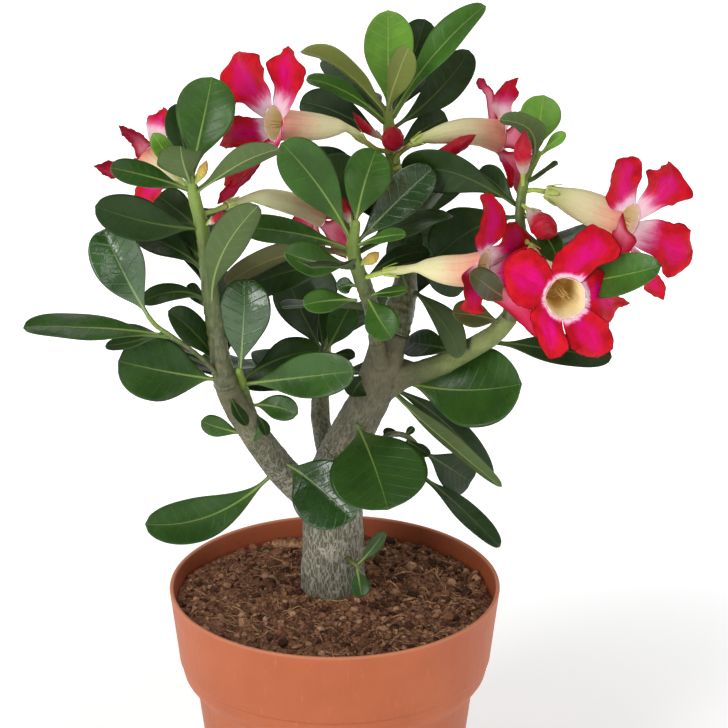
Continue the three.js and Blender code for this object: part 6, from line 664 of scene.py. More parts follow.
    h = g.math("ADD", g.math("MULTIPLY", g.range(vein, 0.0, 0.5, 0.0, 1.0), 0.6), g.math("MULTIPLY", g.noise(p, 1300.0, 3.0, 0.6), 0.4))
    MATS["petal"] = g.out(col, g.range(st, 0.3, 0.7, 0.52, 0.66), g.bump(h, 0.00018, 0.7))
    # flower tube: yellow-green at the calyx, cream, salmon at the mouth; tan and striped inside
    g = Mat("flower_tube", 0.55, 0.2)
    p = g.pos()
    f, a, inn, gr = (g.attr(k) for k in ("ft", "fa", "inside", "greenish"))
    n1 = g.noise(p, 260.0, 4.0, 0.6)
    ff = g.math("ADD", f, g.math("MULTIPLY", g.math("SUBTRACT", n1, 0.5), 0.30))
    o = g.mix(g.range(ff, 0.0, 0.45), lin(196, 202, 132), lin(222, 214, 166))
    o = g.mix(g.range(ff, 0.50, 0.98), o, g.mix(gr, lin(228, 158, 134), lin(222, 196, 158)))
    o = g.mix(g.range(ff, 0.92, 1.08, 0.0, 0.7), o, lin(228, 110, 122))
    # the tube of F2 is painted paler cream: partly its own colour, partly painted light against the shadow of the
    # leaves over it
    o = g.mix(g.math("MULTIPLY", gr, 0.6), o, lin(236, 236, 184))
    rib = g.math("ABSOLUTE", g.math("SINE", g.math("ADD", g.math("MULTIPLY", a, 7.5), g.math("MULTIPLY", n1, 1.2))))
    o = g.mix(g.math("MULTIPLY", g.range(rib, 0.0, 0.25, 0.38, 0.0), g.range(ff, 0.3, 0.9)), o, lin(206, 92, 96))
    o = g.mix(g.range(g.noise(p, 900.0, 3.0, 0.65), 0.6, 0.72, 0.0, 0.25), o, lin(180, 150, 104))
    i = g.mix(g.range(ff, 0.66, 0.93), lin(224, 186, 104), lin(255, 236, 182))
    i = g.mix(g.range(ff, 0.92, 1.02), i, lin(250, 226, 208))
    line = g.math("ABSOLUTE", g.math("SINE", g.math("MULTIPLY", a, 7.5)))
    i = g.mix(g.math("MULTIPLY", g.range(line, 0.0, 0.26, 0.40, 0.0), g.range(ff, 1.0, 0.7, 0.3, 1.0)), i, lin(200, 128, 84))
    col = g.mix(inn, o, i)
    h = g.math("ADD", g.math("MULTIPLY", rib, 0.5), g.noise(p, 900.0, 3.0, 0.6))
    MATS["tube"] = g.out(col, g.range(n1, 0.3, 0.7, 0.44, 0.6), g.bump(h, 0.0003, 0.6))
    # calyx and flower stalks
    g = Mat("calyx_green", 0.46)
    p = g.pos()
    n1 = g.noise(p, 420.0, 4.0, 0.6)
    col = g.mix(g.range(n1, 0.3, 0.7), lin(148, 174, 66), lin(190, 206, 96))
    col = g.mix(g.range(g.attr("frac"), 0.45, 1.0, 0.0, 0.35), col, lin(186, 176, 104))
    MATS["calyx"] = g.out(col, g.range(n1, 0.3, 0.7, 0.40, 0.55), g.bump(n1, 0.0003, 0.7))
    # buds: crimson twisted tip, paler salmon foot
    g = Mat("bud_skin", 0.5, 0.25)
    p = g.pos()
    f, a = g.attr("ft"), g.attr("fa")
    n1 = g.noise(p, 330.0, 4.0, 0.6)
    ff = g.math("ADD", f, g.math("MULTIPLY", g.math("SUBTRACT", n1, 0.5), 0.28))
    col = g.mix(g.range(ff, 0.08, 0.50), g.mix(g.attr("greenish"), lin(216, 196, 188), lin(168, 186, 104)), g.mix(g.attr("greenish"), lin(186, 18, 44), lin(196, 176, 84)))
    col = g.mix(g.math("MULTIPLY", g.range(ff, 0.55, 1.0), g.math("SUBTRACT", 1.0, g.math("MULTIPLY", g.attr("greenish"), 0.5))), col, lin(150, 6, 26))
    seam = g.attr("seam")
    col = g.mix(g.math("MULTIPLY", g.range(seam, 0.55, 1.0), g.range(ff, 0.15, 0.5)), col, lin(132, 8, 36))
    h = g.math("ADD", g.math("MULTIPLY", seam, -0.6), g.noise(p, 700.0, 3.0, 0.6))
    MATS["bud"] = g.out(col, g.range(n1, 0.3, 0.7, 0.40, 0.55), g.bump(h, 0.0003, 0.6))
    # stamen tails
    g = Mat("stamen", 0.6)
    n1 = g.noise(g.pos(), 800.0, 3.0, 0.6)
    MATS["stamen"] = g.out(g.mix(n1, lin(170, 130, 70), lin(226, 196, 132)), g.range(n1, 0.3, 0.7, 0.5, 0.7), g.bump(n1, 0.0002, 0.6))
    # pot: moulded satin plastic with faint mottling, upright scuffs and fine grain; painted shade inside
    g = Mat("pot_plastic", 0.5, 0.24)
    p = g.pos()
    n1 = g.noise(p, 26.0, 4.0, 0.55)
    scuff = g.noise(g.stretch(p, 1.0, 1.0, 0.10), 620.0, 4.0, 0.7)
    ring = g.noise(g.stretch(p, 0.02, 0.02, 1.0), 420.0, 3.0, 0.6)
    col = g.mix(g.range(n1, 0.3, 0.7), lin(175, 93, 58), lin(186, 103, 67))
    col = g.mix(g.range(scuff, 0.57, 0.75, 0.0, 0.22), col, lin(220, 140, 100))
    col = g.mix(g.range(ring, 0.55, 0.8, 0.0, 0.10), col, lin(170, 84, 54))
    # the inside wall is painted darker: painted shade inside the pot
    col = g.mix(g.math("MULTIPLY", g.attr("inside"), g.range(n1, 0.2, 0.8, 0.30, 0.55)), col, lin(150, 70, 42))
    # the top of the rim is painted lighter: a painted highlight
    col = g.mix(g.math("MULTIPLY", g.attr("rimtop"), 0.45), col, lin(232, 160, 126))
    # a dark line painted along the step under the rim band: a painted shadow
    col = g.mix(g.math("MULTIPLY", g.attr("crease"), 0.35), col, lin(140, 66, 42))
    dust = g.math("MULTIPLY", g.range(g.noise(p, 240.0, 5.0, 0.7), 0.55, 0.72), g.attr("dusty"))
    col = g.mix(g.math("MULTIPLY", dust, 0.8), col, lin(96, 62, 42))
    h = g.math("ADD", g.math("MULTIPLY", scuff, 0.5), g.math("ADD", g.math("MULTIPLY", g.noise(p, 1500.0, 2.0, 0.6), 0.35), g.math("MULTIPLY", ring, 0.4)))
    r = g.range(g.math("ADD", g.math("MULTIPLY", scuff, 0.7), g.math("MULTIPLY", n1, 0.3)), 0.35, 0.65, 0.44, 0.58)
    MATS["pot"] = g.out(col, r, g.bump(h, 0.00012, 0.6))
    # soil
    g = Mat("potting_soil", 0.92, 0.25)
    p = g.pos()
    n1 = g.noise(p, 110.0, 6.0, 0.7)
    n2 = g.noise(p, 900.0, 5.0, 0.72)
    n3 = g.voronoi(p, 620.0, "F1")
    col = g.mix(g.range(n1, 0.32, 0.68), lin(104, 66, 47), lin(166, 116, 87))
    col = g.mix(g.range(n2, 0.48, 0.72), col, lin(206, 156, 122))
    # dark in the hollows of the bump: partly dark humus, partly painted shade in the gaps
    col = g.mix(g.range(n2, 0.47, 0.34), col, lin(28, 16, 12))
    h = g.math("ADD", g.math("MULTIPLY", n2, 0.8), g.math("MULTIPLY", n3, 0.7))
    MATS["soil"] = g.out(col, g.range(n1, 0.3, 0.7, 0.85, 0.98), g.bump(h, 0.0016, 1.0))
    g = Mat("soil_crumbs", 0.92, 0.25)
    p = g.pos()
    va = g.attr("var")
    n2 = g.noise(p, 1100.0, 5.0, 0.7)
    col = g.mix(g.range(va, 0.0, 0.8), lin(70, 42, 30), lin(170, 118, 86))
    col = g.mix(g.range(va, 0.74, 1.0), col, lin(214, 166, 130))
    col = g.mix(g.range(n2, 0.35, 0.7, 0.0, 0.6), col, lin(40, 24, 18))
    MATS["crumb"] = g.out(col, g.range(n2, 0.3, 0.7, 0.82, 0.97), g.bump(n2, 0.0008, 0.9))
    g = Mat("coir_fibre", 0.8, 0.3)
    va = g.attr("var")
    n2 = g.noise(g.pos(), 700.0, 3.0, 0.6)
    col = g.mix(g.range(va, 0.0, 1.0), lin(84, 50, 34), lin(206, 160, 118))
    col = g.mix(g.range(n2, 0.3, 0.7, 0.0, 0.5), col, lin(120, 76, 50))
    MATS["fibre"] = g.out(col, g.range(n2, 0.3, 0.7, 0.7, 0.9), g.bump(n2, 0.0003, 0.8))
    g = Mat("bark_chip", 0.8, 0.3)
    n2 = g.noise(g.stretch(g.pos(), 1.0, 0.25, 1.0), 900.0, 4.0, 0.6)
    MATS["chip"] = g.out(g.mix(g.range(n2, 0.3, 0.7), lin(124, 84, 56), lin(190, 148, 108)), g.range(n2, 0.3, 0.7, 0.7, 0.9), g.bump(n2, 0.0004, 0.8))
    g = Mat("floor_paper_glowing", 0.9, 0.1)
    n2 = g.noise(g.pos(), 6.0, 2.0, 0.5)
    ln = g.new("ShaderNodeVectorMath", operation="LENGTH")
    g.put(ln.inputs[0], g.pos())
    # the floor glows, more strongly away from the pot: painted light that keeps it white
    g.b.inputs["Emission Color"].default_value = (1.0, 1.0, 1.0, 1.0)
    g.put(g.b.inputs["Emission Strength"], g.range(ln.outputs["Value"], 0.14, 0.60, 0.30, 0.90))
    MATS["floor"] = g.out(g.mix(n2, (0.93, 0.93, 0.93, 1), (0.95, 0.95, 0.95, 1)), g.range(n2, 0.3, 0.7, 0.88, 0.94), g.bump(g.noise(g.pos(), 300.0, 2.0, 0.5), 0.0001, 0.2))


# ------------------------------------------------------------------------------------------------ pot
def lathe(mesh, prof, seg, attrs):
    """A closed ring from a closed profile of (r, z)."""
    prof = np.asarray(prof, float)
    n = len(prof)
    th = np.linspace(0, 2 * math.pi, seg, endpoint=False)
    V = np.zeros((n, seg, 3))
    V[..., 0] = prof[:, 0][:, None] * np.cos(th)
    V[..., 1] = prof[:, 0][:, None] * np.sin(th)
    V[..., 2] = prof[:, 1][:, None]
    F = []
    for i in range(n - 1):
        for j in range(seg):
            k = (j + 1) % seg
            F.append((i * seg + j, i * seg + k, (i + 1) * seg + k, (i + 1) * seg + j))
    V = V.reshape(-1, 3)
    at = {k: np.repeat(np.asarray(a, float), seg) for k, a in attrs.items()}
    V = np.vstack([V, [[0, 0, prof[0, 1]], [0, 0, prof[-1, 1]]]])
    c0, c1 = n * seg, n * seg + 1
    for j in range(seg):
        F.append((c0, (j + 1) % seg, j))
        F.append((c1, (n - 1) * seg + j, (n - 1) * seg + (j + 1) % seg))
    at = {k: np.concatenate([a, [a[0], a[-1]]]) for k, a in at.items()}
    mesh.add(V, F, at)


def arc(cx, cz, r, a0, a1, n):
    return [(cx + r * math.cos(math.radians(a)), cz + r * math.sin(math.radians(a))) for a in np.linspace(a0, a1, n)]


def between(p, q, n):
    return [tuple(np.array(p) + (np.array(q) - np.array(p)) * t) for t in np.linspace(0, 1, n)[1:-1]]


def build_pot():
    w = POT["wall"]
    # outer profile from the middle of the underside up to the rim, then down the inside
    o = []
    o += [(8.0, 1.4), (20.0, 1.4), (41.0, 1.4), (41.8, 1.2), (42.3, 0.4), (42.9, 0.0), (44.4, 0.0), (45.2, 0.25), (45.8, 1.0)]
    o += between((45.8, 1.0), (54.6, 72.0), 22)
    o += [(54.6, 71.6)]
    sh = [(54.75, 72.7), (55.4, 74.2), (56.6, 75.8), (57.9, 77.0), (58.9, 77.9), (59.7, 79.2), (60.2, 81.0), (60.5, 83.0), (60.62, 84.0)]
    o += sh
    o += [(60.7, 84.5), (60.95, 84.75), (61.25, 84.95), (61.42, 85.3), (61.5, 85.8)]
    o += between((61.5, 85.8), (64.85, 113.6), 12)
    o += [(64.85, 113.6), (64.98, 114.2), (64.9, 114.65), (64.6, 114.92), (64.2, 115.0), (63.8, 114.92), (63.5, 114.6), (63.38, 114.1)]
    nin = len(o)
    o += between((63.35, 113.6), (59.9, 85.8), 12)
    o += [(59.75, 84.8), (59.2, 84.2), (58.9, 82.5), (58.5, 80.0), (57.4, 78.3), (55.8, 76.9), (54.2, 75.2), (53.2, 73.2), (53.0, 71.6)]
    o += between((53.0, 71.6), (44.6, 4.2), 18)
    o += [(44.4, 3.3), (43.8, 2.6), (42.8, 2.4), (30.0, 2.4), (12.0, 2.4)]
    z = np.array([p[1] for p in o])
    inside = np.zeros(len(o))
    inside[nin - 1:] = 1
    # mask for the painted highlight on the top of the rim
    rimtop = np.clip((z - 114.0) / 0.8, 0, 1)
    # mask for the painted shadow line along the step under the rim band
    crease = np.exp(-((z - 84.6) / 0.35) ** 2) * (1 - inside)
    dusty = inside * smooth(118, 106, z) * 0.9 + (1 - inside) * 0.03
    m = Mesh()
    lathe(m, o, 192, {"inside": inside, "rimtop": rimtop, "crease": crease, "dusty": dusty})
    ob = m.build("pot_shell", MATS["pot"], "pot_plastic", "pot")
    # four round drain holes cut through the floor
    cm = bpy.data.meshes.new("cut")
    vs, fs = [], []
    for h in range(4):
        a = math.radians(45 + 90 * h)
        cx, cy = 28 * math.cos(a), 28 * math.sin(a)
        b = len(vs)
        n = 32
        for zz in (-1.0, 6.0):
            vs += [((cx + 3.5 * math.cos(2 * math.pi * k / n)) * MM, (cy + 3.5 * math.sin(2 * math.pi * k / n)) * MM, zz * MM) for k in range(n)]
        fs += [(b + k, b + (k + 1) % n, b + n + (k + 1) % n, b + n + k) for k in range(n)]
        fs += [tuple(b + k for k in range(n))[::-1], tuple(b + n + k for k in range(n))]
    cm.from_pydata(vs, [], fs)
    cut = bpy.data.objects.new("cut", cm)
    bpy.context.scene.collection.objects.link(cut)
    mod = ob.modifiers.new("holes", "BOOLEAN")
    mod.operation = "DIFFERENCE"
    mod.solver = "EXACT"
    mod.object = cut
    apply(ob)
    bpy.data.objects.remove(cut)
    return ob


def apply(ob):
    """Applies the modifiers to the mesh."""
    bpy.context.view_layer.update()
    dg = bpy.context.evaluated_depsgraph_get()
    me = bpy.data.meshes.new_from_object(ob.evaluated_get(dg), preserve_all_data_layers=True, depsgraph=dg)
    mats = [s.material for s in ob.material_slots]
    ob.modifiers.clear()
    old = ob.data
    ob.data = me
    if not me.materials:
        for m in mats:
            me.materials.append(m)
    bpy.data.meshes.remove(old)


# ------------------------------------------------------------------------------------------------ soil
def soil_height(x, y):
    p = np.stack([x, y, np.zeros_like(x)], -1)
    r = np.hypot(x, y)
    h = 107.2 + 1.5 * fbm(p / 17.0, 3, 5) + 1.9 * fbm(p / 5.6, 3, 9)
    crumb = vnoise(p / 2.6, 21)
    h = h + 1.25 * np.abs(crumb) + 0.55 * vnoise(p / 1.1, 22)
    h = h + 3.4 * np.exp(-(np.hypot(x + 0.8, y - 6) / 21.0) ** 2)
    return h - 1.2 * smooth(56, 62.3, r)


def build_soil():
    nr, na = 105, 300
    rs = np.concatenate([[0.4], np.linspace(1.2, 62.35, nr - 1)])
    th = np.linspace(0, 2 * math.pi, na, endpoint=False)
    R, T = np.meshgrid(rs, th, indexing="ij")
    X, Y = R * np.cos(T), R * np.sin(T)
    Z = soil_height(X, Y)
    V = np.stack([X, Y, Z], -1).reshape(-1, 3)
    F = []
    for i in range(nr - 1):
        for j in range(na):
            k = (j + 1) % na
            F.append((i * na + j, (i + 1) * na + j, (i + 1) * na + k, i * na + k))
    n = len(V)
    skirt = np.stack([60.0 * np.cos(th), 60.0 * np.sin(th), np.full(na, 96.0)], -1)
    V = np.vstack([V, skirt, [[0, 0, Z[0].mean()], [0, 0, 96.0]]])
    o = (nr - 1) * na
    for j in range(na):
        k = (j + 1) % na
        F.append((o + j, n + j, n + k, o + k))
        F.append((n + na, j, (j + 1) % na))
        F.append((n + na + 1, n + k, n + j))
    m = Mesh()
    m.add(V, F, {})
    m.build("soil_surface", MATS["soil"], "potting_soil", "soil")
    rng = np.random.RandomState(11)
    # crumbs of coir
    ico = bpy.data.meshes.new("i")
    import bmesh
    bm = bmesh.new()
    bmesh.ops.create_icosphere(bm, subdivisions=2, radius=1.0)
    iv = np.array([v.co[:] for v in bm.verts])
    ifc = [tuple(v.index for v in f.verts) for f in bm.faces]
    bm.free()
    bpy.data.meshes.remove(ico)
    m = Mesh()
    for k in range(1650):
        r = 61.0 * math.sqrt(rng.rand())
        a = rng.rand() * 2 * math.pi
        x, y = r * math.cos(a), r * math.sin(a)
        if math.hypot(x + 0.8, y - 8) < 12.5:
            continue
        s = 0.50 + 1.75 * rng.rand() ** 2.6
        sc = s * np.array([1.0, 0.6 + 0.5 * rng.rand(), 0.5 + 0.4 * rng.rand()])
        v = iv * (1 + 0.30 * vnoise(iv * 1.4 + k * 3.1, 3)[:, None] + 0.16 * vnoise(iv * 3.1 + k, 4)[:, None]) * sc
        c, sn = math.cos(a * 7), math.sin(a * 7)
        tl = (rng.rand() - 0.5) * 1.2
        rot = np.array([[c, -sn, 0], [sn, c, 0], [0, 0, 1]]) @ np.array([[1, 0, 0], [0, math.cos(tl), -math.sin(tl)], [0, math.sin(tl), math.cos(tl)]])
        z = float(soil_height(np.array([x]), np.array([y]))[0])
        m.add(v @ rot.T + [x, y, z + 0.15 * s], ifc, {"var": rng.rand()})
    m.build("soil_crumbs", MATS["crumb"], "potting_soil", "soil")
    # fibres
    m = Mesh()
    for k in range(900):
        r = 60.0 * math.sqrt(rng.rand())
        a = rng.rand() * 2 * math.pi
        x, y = r * math.cos(a), r * math.sin(a)
        if math.hypot(x + 0.8, y - 8) < 12.5:
            continue
        L = 2.5 + 8.5 * rng.rand() ** 2
        d = rng.rand() * 2 * math.pi
        bend = (rng.rand() - 0.5) * 1.6
        lift = rng.rand() ** 3 * 1.6
        n = 7
        u = np.linspace(-0.5, 0.5, n)
        px = x + L * u * math.cos(d) + bend * np.cos(u * 3.1) * -math.sin(d)
        py = y + L * u * math.sin(d) + bend * np.cos(u * 3.1) * math.cos(d)
        rr = np.hypot(px, py)
        if rr.max() > 61.3:
            continue
        pz = soil_height(px, py) + 0.30
        pz = np.convolve(np.pad(pz, 1, "edge"), [0.3, 0.4, 0.3], "valid") + lift * np.sin((u + 0.5) * math.pi * (0.5 + 0.5 * rng.rand()))
        w = 0.11 + 0.24 * rng.rand() ** 1.5
        P = np.stack([px, py, pz, np.full(n, w) * (1 - 0.5 * np.abs(u * 2) ** 3)], -1)
        tube(m, P, 5, attrs={"var": rng.rand()})
    m.build("coir_fibres", MATS["fibre"], "potting_soil", "soil")
    # one tan chip of bark lying on the soil, and a few smaller ones
    m = Mesh()
    chips = [(-14.2, -43.0, 4.6, 2.6, 0.5), (24, -30, 2.6, 1.5, 1.2), (-38, -8, 2.8, 1.6, 2.1), (35, 12, 2.4, 1.4, 0.3), (-20, 38, 3.0, 1.5, 2.7), (8, 47, 2.6, 1.5, 1.9), (44, -18, 2.2, 1.2, 0.8), (-30, -32, 2.2, 1.2, 2.9)]
    for k in range(46):
        r, a = 58.0 * math.sqrt(rng.rand()), rng.rand() * 2 * math.pi
        if math.hypot(r * math.cos(a) + 0.8, r * math.sin(a) - 8) > 14:
            chips.append((r * math.cos(a), r * math.sin(a), 2.2 + 3.4 * rng.rand() ** 2, 0.9 + 0.9 * rng.rand(), rng.rand() * 3.1))
    for (x, y, L, W, d) in chips:
        z = float(soil_height(np.array([x]), np.array([y]))[0]) + 0.7
        v = iv * (1 + 0.22 * vnoise(iv * 1.7 + x, 8)[:, None]) * np.array([L / 2, W / 2, 0.55])
        v[:, 2] += 0.10 * v[:, 0]
        c, sn = math.cos(d), math.sin(d)
        m.add(v @ np.array([[c, -sn, 0], [sn, c, 0], [0, 0, 1]]).T + [x, y, z], ifc, {})
    m.build("bark_chips", MATS["chip"], "potting_soil", "soil")


# ------------------------------------------------------------------------------------------------ trunk
def nearest_axis(V, lines):
    """For each point: the nearest line, distance along, and the offset from it."""
    best = np.full(len(V), 1e9)
    al = np.zeros(len(V))
    off = np.zeros((len(V), 3))
    rad = np.ones(len(V))
    lid = np.zeros(len(V), int)
    for li, (P, q) in enumerate(lines):
        for k in range(0, len(P)):
            d = V - P[k, :3]
            dd = np.linalg.norm(d, axis=1) - P[k, 3]
            w = dd < best
            best[w] = dd[w]
            al[w] = q[k]
            off[w] = d[w]
            rad[w] = P[k, 3]
            lid[w] = li
    return al, off, rad, lid


RIGHT = [-1]


def build_trunk():
    lines = []
    m = Mesh()
    for key in STEMS:
        wood = STEMS[key]["wood"]
        if not wood:
            continue
        P = np.array(wood, float)
        if key == "T":
            P = np.vstack([[P[0, 0], P[0, 1], 96.5, 16.0], P])
        S, q = spline(P, 1.5)
        if key == "T":
            # the foot widens a little where it enters the soil
            S[:, 3] *= 1 + 0.10 * np.exp(-((S[:, 2] - 100) / 7.0) ** 2)
        if key == "R":
            RIGHT[:] = [len(lines)]
        lines.append((S, q))
        tube(m, S, 22)
    V = np.concatenate(m.V)
    me = bpy.data.meshes.new("trunk")
    me.from_pydata((V * MM).tolist(), [], m.F)
    ob = bpy.data.objects.new("trunk_bark", me)
    bpy.context.scene.collection.objects.link(ob)
    rm = ob.modifiers.new("r", "REMESH")
    rm.mode = "VOXEL"
    rm.voxel_size = 0.00075
    sm = ob.modifiers.new("s", "SMOOTH")
    sm.iterations = 5
    sm.factor = 0.5
    apply(ob)
    me = ob.data
    n = len(me.vertices)
    co = np.zeros(n * 3, np.float32)
    me.vertices.foreach_get("co", co)
    V = co.reshape(-1, 3).astype(float) / MM
    nr = np.zeros(n * 3, np.float32)
    me.vertices.foreach_get("normal", nr)
    N = nr.reshape(-1, 3).astype(float)
    al, off, rad, lid = nearest_axis(V, lines)
    bark = np.stack([off[:, 0] * 1.0, off[:, 1] * 1.0, al * 0.33 + lid * 40.0], -1)
    # relief: lumps, lengthwise folds, fine net
    lump = fbm(V / np.array([11.0, 11.0, 16.0]), 3, 2)
    fold = fbm(np.stack([bark[:, 0] * 0.42, bark[:, 1] * 0.42, bark[:, 2] * 0.42], -1), 3, 7)
    fine = fbm(bark * 1.25, 3, 8)
    ridged = 1 - np.abs(fbm(bark * 0.75, 2, 12)) * 2.2
    k = np.clip(rad / 10.0, 0.35, 1.2)
    amp = 0.55 * lump * k + 0.30 * fold * k + 0.14 * fine + 0.20 * np.clip(ridged, -0.5, 1) * k
    # leaf scars: small raised ovals with a sunk middle, in a spiral on the branches
    scar = np.zeros(n)
    for li, (S, q) in enumerate(lines):
        if li == 0:
            spots = [(140.0, 2.2), (126.0, 5.0), (150.0, 4.2)]
            for (zz, aa) in spots:
                i = int(np.argmin(np.abs(S[:, 2] - zz)))
                c = S[i, :3] + np.array([math.cos(aa), math.sin(aa), 0]) * S[i, 3]
                d = np.linalg.norm((V - c) * [1, 1, 1.3], axis=1)
                scar = np.maximum(scar, np.exp(-(d / 1.6) ** 2) * 0.8)
            continue
        T, U, W = frames(S[:, :3])
        a = 1.0 + li
        step = 7.5
        for qq in np.arange(6.0, q[-1] - 1.0, step):
            i = int(np.argmin(np.abs(q - qq)))
            a += 2.4
            c = S[i, :3] + (U[i] * math.cos(a) + W[i] * math.sin(a)) * S[i, 3]
            d = np.linalg.norm(V - c, axis=1)
            amp = amp + 0.45 * np.exp(-(d / 1.7) ** 2) - 0.30 * np.exp(-(d / 0.8) ** 2)
            scar = np.maximum(scar, np.exp(-(d / 1.25) ** 2))
    V = V + N * amp[:, None]
    me.vertices.foreach_set("co", (V * MM).astype(np.float32).ravel())
    a = me.attributes.new("barkv", "FLOAT_VECTOR", "POINT")
    a.data.foreach_set("vector", bark.astype(np.float32).ravel())
    for nm, arr in (("scar", scar), ("young", smooth(7.5, 3.4, rad)), ("foot", smooth(116, 107, V[:, 2] + 2.0 * fbm(V / 4.0, 2, 3))),
                    ("olive", np.where(lid == RIGHT[0], smooth(8.0, 34.0, al), 0.0))):
        a = me.attributes.new(nm, "FLOAT", "POINT")
        a.data.foreach_set("value", arr.astype(np.float32))
    me.polygons.foreach_set("use_smooth", [True] * len(me.polygons))
    me.update()
    me.materials.clear()
    me.materials.append(MATS["bark"])
    place(ob, "bark", "trunk_and_branches")
    # a short dry stub beside the foot
    m = Mesh()
    S, q = spline(STUB, 0.6)
    tube(m, S, 12, wob=0.12, seed=3, round1=True)
    m.build("dry_stub", MATS["chip"], "bark", "trunk_and_branches")


# ------------------------------------------------------------------------------------------------ green shoots
SHOOT_NODE = {"M": "shoot_top", "R": "shoot_right", "C": "shoot_middle", "L": "shoot_left", "S": "shoot_back",
              "A": "twig_upper_left", "B": "twig_far_left", "K": "twig_right", "P": "sprout_base"}


def build_shoots():
    bases = {}
    for row in LEAVES:
        bases.setdefault(row[2], []).append(np.array(row[3], float))
    for key, node in SHOOT_NODE.items():
        P = np.array(STEMS[key]["green"], float)
        S, q = spline(P, 0.7)
        spots = [int(np.argmin(np.linalg.norm(S[:, :3] - b, axis=1))) for b in bases.get(key, [])]
        qs = sorted(set(float(q[i]) for i in spots))
        # old leaf scars between the leaves
        rng = np.random.RandomState(len(key) + ord(key))
        more = [x for x in np.arange(2.5, q[-1] * 0.8, 4.3) if all(abs(x - y) > 1.6 for y in qs)]
        allq = np.array(qs + more)

        def bulge(d, allq=allq):
            d = np.asarray(d, float)
            b = np.zeros_like(d)
            for x in allq:
                b = np.maximum(b, np.exp(-((d - x) / 0.85) ** 2))
            return 1 + 0.07 * b

        T, U, W = frames(S[:, :3])
        m = Mesh()
        L = tube(m, S, 20, round1=True, bulge=bulge, wob=0.05, seed=ord(key))
        V = np.concatenate(m.V)
        al = np.concatenate(m.A["along"])
        scar = np.zeros(len(V))
        a = 0.7
        for x in more:
            i = int(np.argmin(np.abs(q - x)))
            a += 2.4
            c = S[i, :3] + (U[i] * math.cos(a) + W[i] * math.sin(a)) * S[i, 3]
            d = np.linalg.norm(V - c, axis=1)
            scar = np.maximum(scar, np.exp(-(d / 1.5) ** 2))
        m.A["scar"] = [scar]
        has_wood = bool(STEMS[key]["wood"])
        m.A["woody"] = [(smooth(44, 4, al) if has_wood else smooth(8, 0, al) * 0.35)]
        m.build("stem_" + node, MATS["green"], "green_shoot", node)


# ------------------------------------------------------------------------------------------------ leaves
def leafshape(t, pet=0.07):
    a = np.clip((t - pet) / (0.66 - pet), 0, 1)
    rise = np.sin(a * np.pi / 2) ** 1.35
    b = np.clip((t - 0.66) / 0.34, 0, 1)
    return rise * np.sqrt(np.clip(1 - b ** 2.25, 0, 1))


def build_leaf(row, k):
    name, node, stem, B, M, T, W, N, tone = row
    B, M, T, N = (np.array(v, float) for v in (B, M, T, N))
    rng = np.random.RandomState(1000 + k)
    L = np.linalg.norm(T - M) + np.linalg.norm(M - B)
    big = L > 26
    nt, ns = (46, 19) if big else (28, 13)
    t = np.linspace(0, 1, nt) ** 1.0
    t = t * 0.86 + 0.14 * (1 - (1 - np.linspace(0, 1, nt)) ** 2.6)
    t[-1] = 1.0
    tt = t[:, None]
    P = (1 - tt) ** 2 * B + 2 * (1 - tt) * tt * M + tt ** 2 * T
    tan = unit(2 * (1 - tt) * (M - B) + 2 * tt * (T - M))
    wd = unit(np.cross(tan, N[None, :]))
    nn = unit(np.cross(wd, tan))
    sh = leafshape(t) * W / 2
    pet = 0.85 * (1 if big else 0.75) * np.clip(1 - t / 0.55, 0, 1) ** 0.6
    hw = np.sqrt(sh ** 2 + pet ** 2)
    hw = np.maximum(hw, 0.10)
    s = np.linspace(-1, 1, ns)
    s = np.sign(s) * np.abs(s) ** 0.85
    fold = (0.34 if tone == "G" else 0.17) + 0.10 * rng.rand()
    ph, ph2 = rng.rand(2) * 6.28
    wav = (0.07 + 0.07 * rng.rand())
    S = s[None, :]
    H = hw[:, None]
    lift = fold * H * np.abs(S) ** (1.12 if tone == "G" else 1.3)
    # slow rolling of each edge, different left and right
    side = np.where(S < 0, ph, ph2)
    lift = lift + wav * H * np.abs(S) ** 2 * np.sin(tt * 6.28 * 1.35 + side) * smooth(0.12, 0.4, tt)
    lift = lift + 0.02 * W * S * np.sin(tt * 3.0 + ph) * H / (W / 2)
    # the blade swells between its side veins, and the midrib lies in a groove above and stands out below
    spc = max(2.6, min(5.2, L / 9.5))
    vq = (tt * L - 0.62 * np.abs(S) * H) / spc
    fr = np.abs((vq % 1.0) - 0.5) * 2
    quilt = -0.13 * smooth(0.72, 1.0, fr) * smooth(0.0, 0.35, 1 - np.abs(S)) * smooth(0.1, 0.25, tt) * (1.0 if big else 0.6)
    X = P[:, None, :] + wd[:, None, :] * (H * S)[..., None] + nn[:, None, :] * (lift + quilt)[..., None]
    # thickness
    body = 0.30 + 0.10 * (W / 20)
    th = body * np.sqrt(np.clip(1 - np.abs(S) ** 2.4, 0, 1)) * np.ones_like(tt)
    th = np.minimum(th, 0.9 * H * np.sqrt(np.clip(1 - S ** 2, 0, 1)) + 0.02)
    th = th + pet[:, None] * 0.75 * np.sqrt(np.clip(1 - S ** 2, 0, 1))
    rib = np.exp(-(np.abs(S) * H / (0.55 + 0.35 * (1 - tt))) ** 2) * (1 - 0.75 * tt)
    dpth = rib * 0.22 * smooth(0.03, 0.2, tt)
    N3 = np.broadcast_to(nn[:, None, :], X.shape)
    m = Mesh()
    X2 = X - N3 * dpth[..., None]
    lens(m, X2, N3, th + dpth * 0.8 + rib * 0.18, {
        "lt": tt, "la": S * H, "le": (1 - np.abs(S)) * H * (1 - smooth(0.96, 1.0, tt)), "vq": vq, "var": rng.rand()})
    return m.build(("leaf_" if not name.startswith("x_") else "leaf_in_") + name.replace("x_", ""), MATS[tone], "leaf", node)


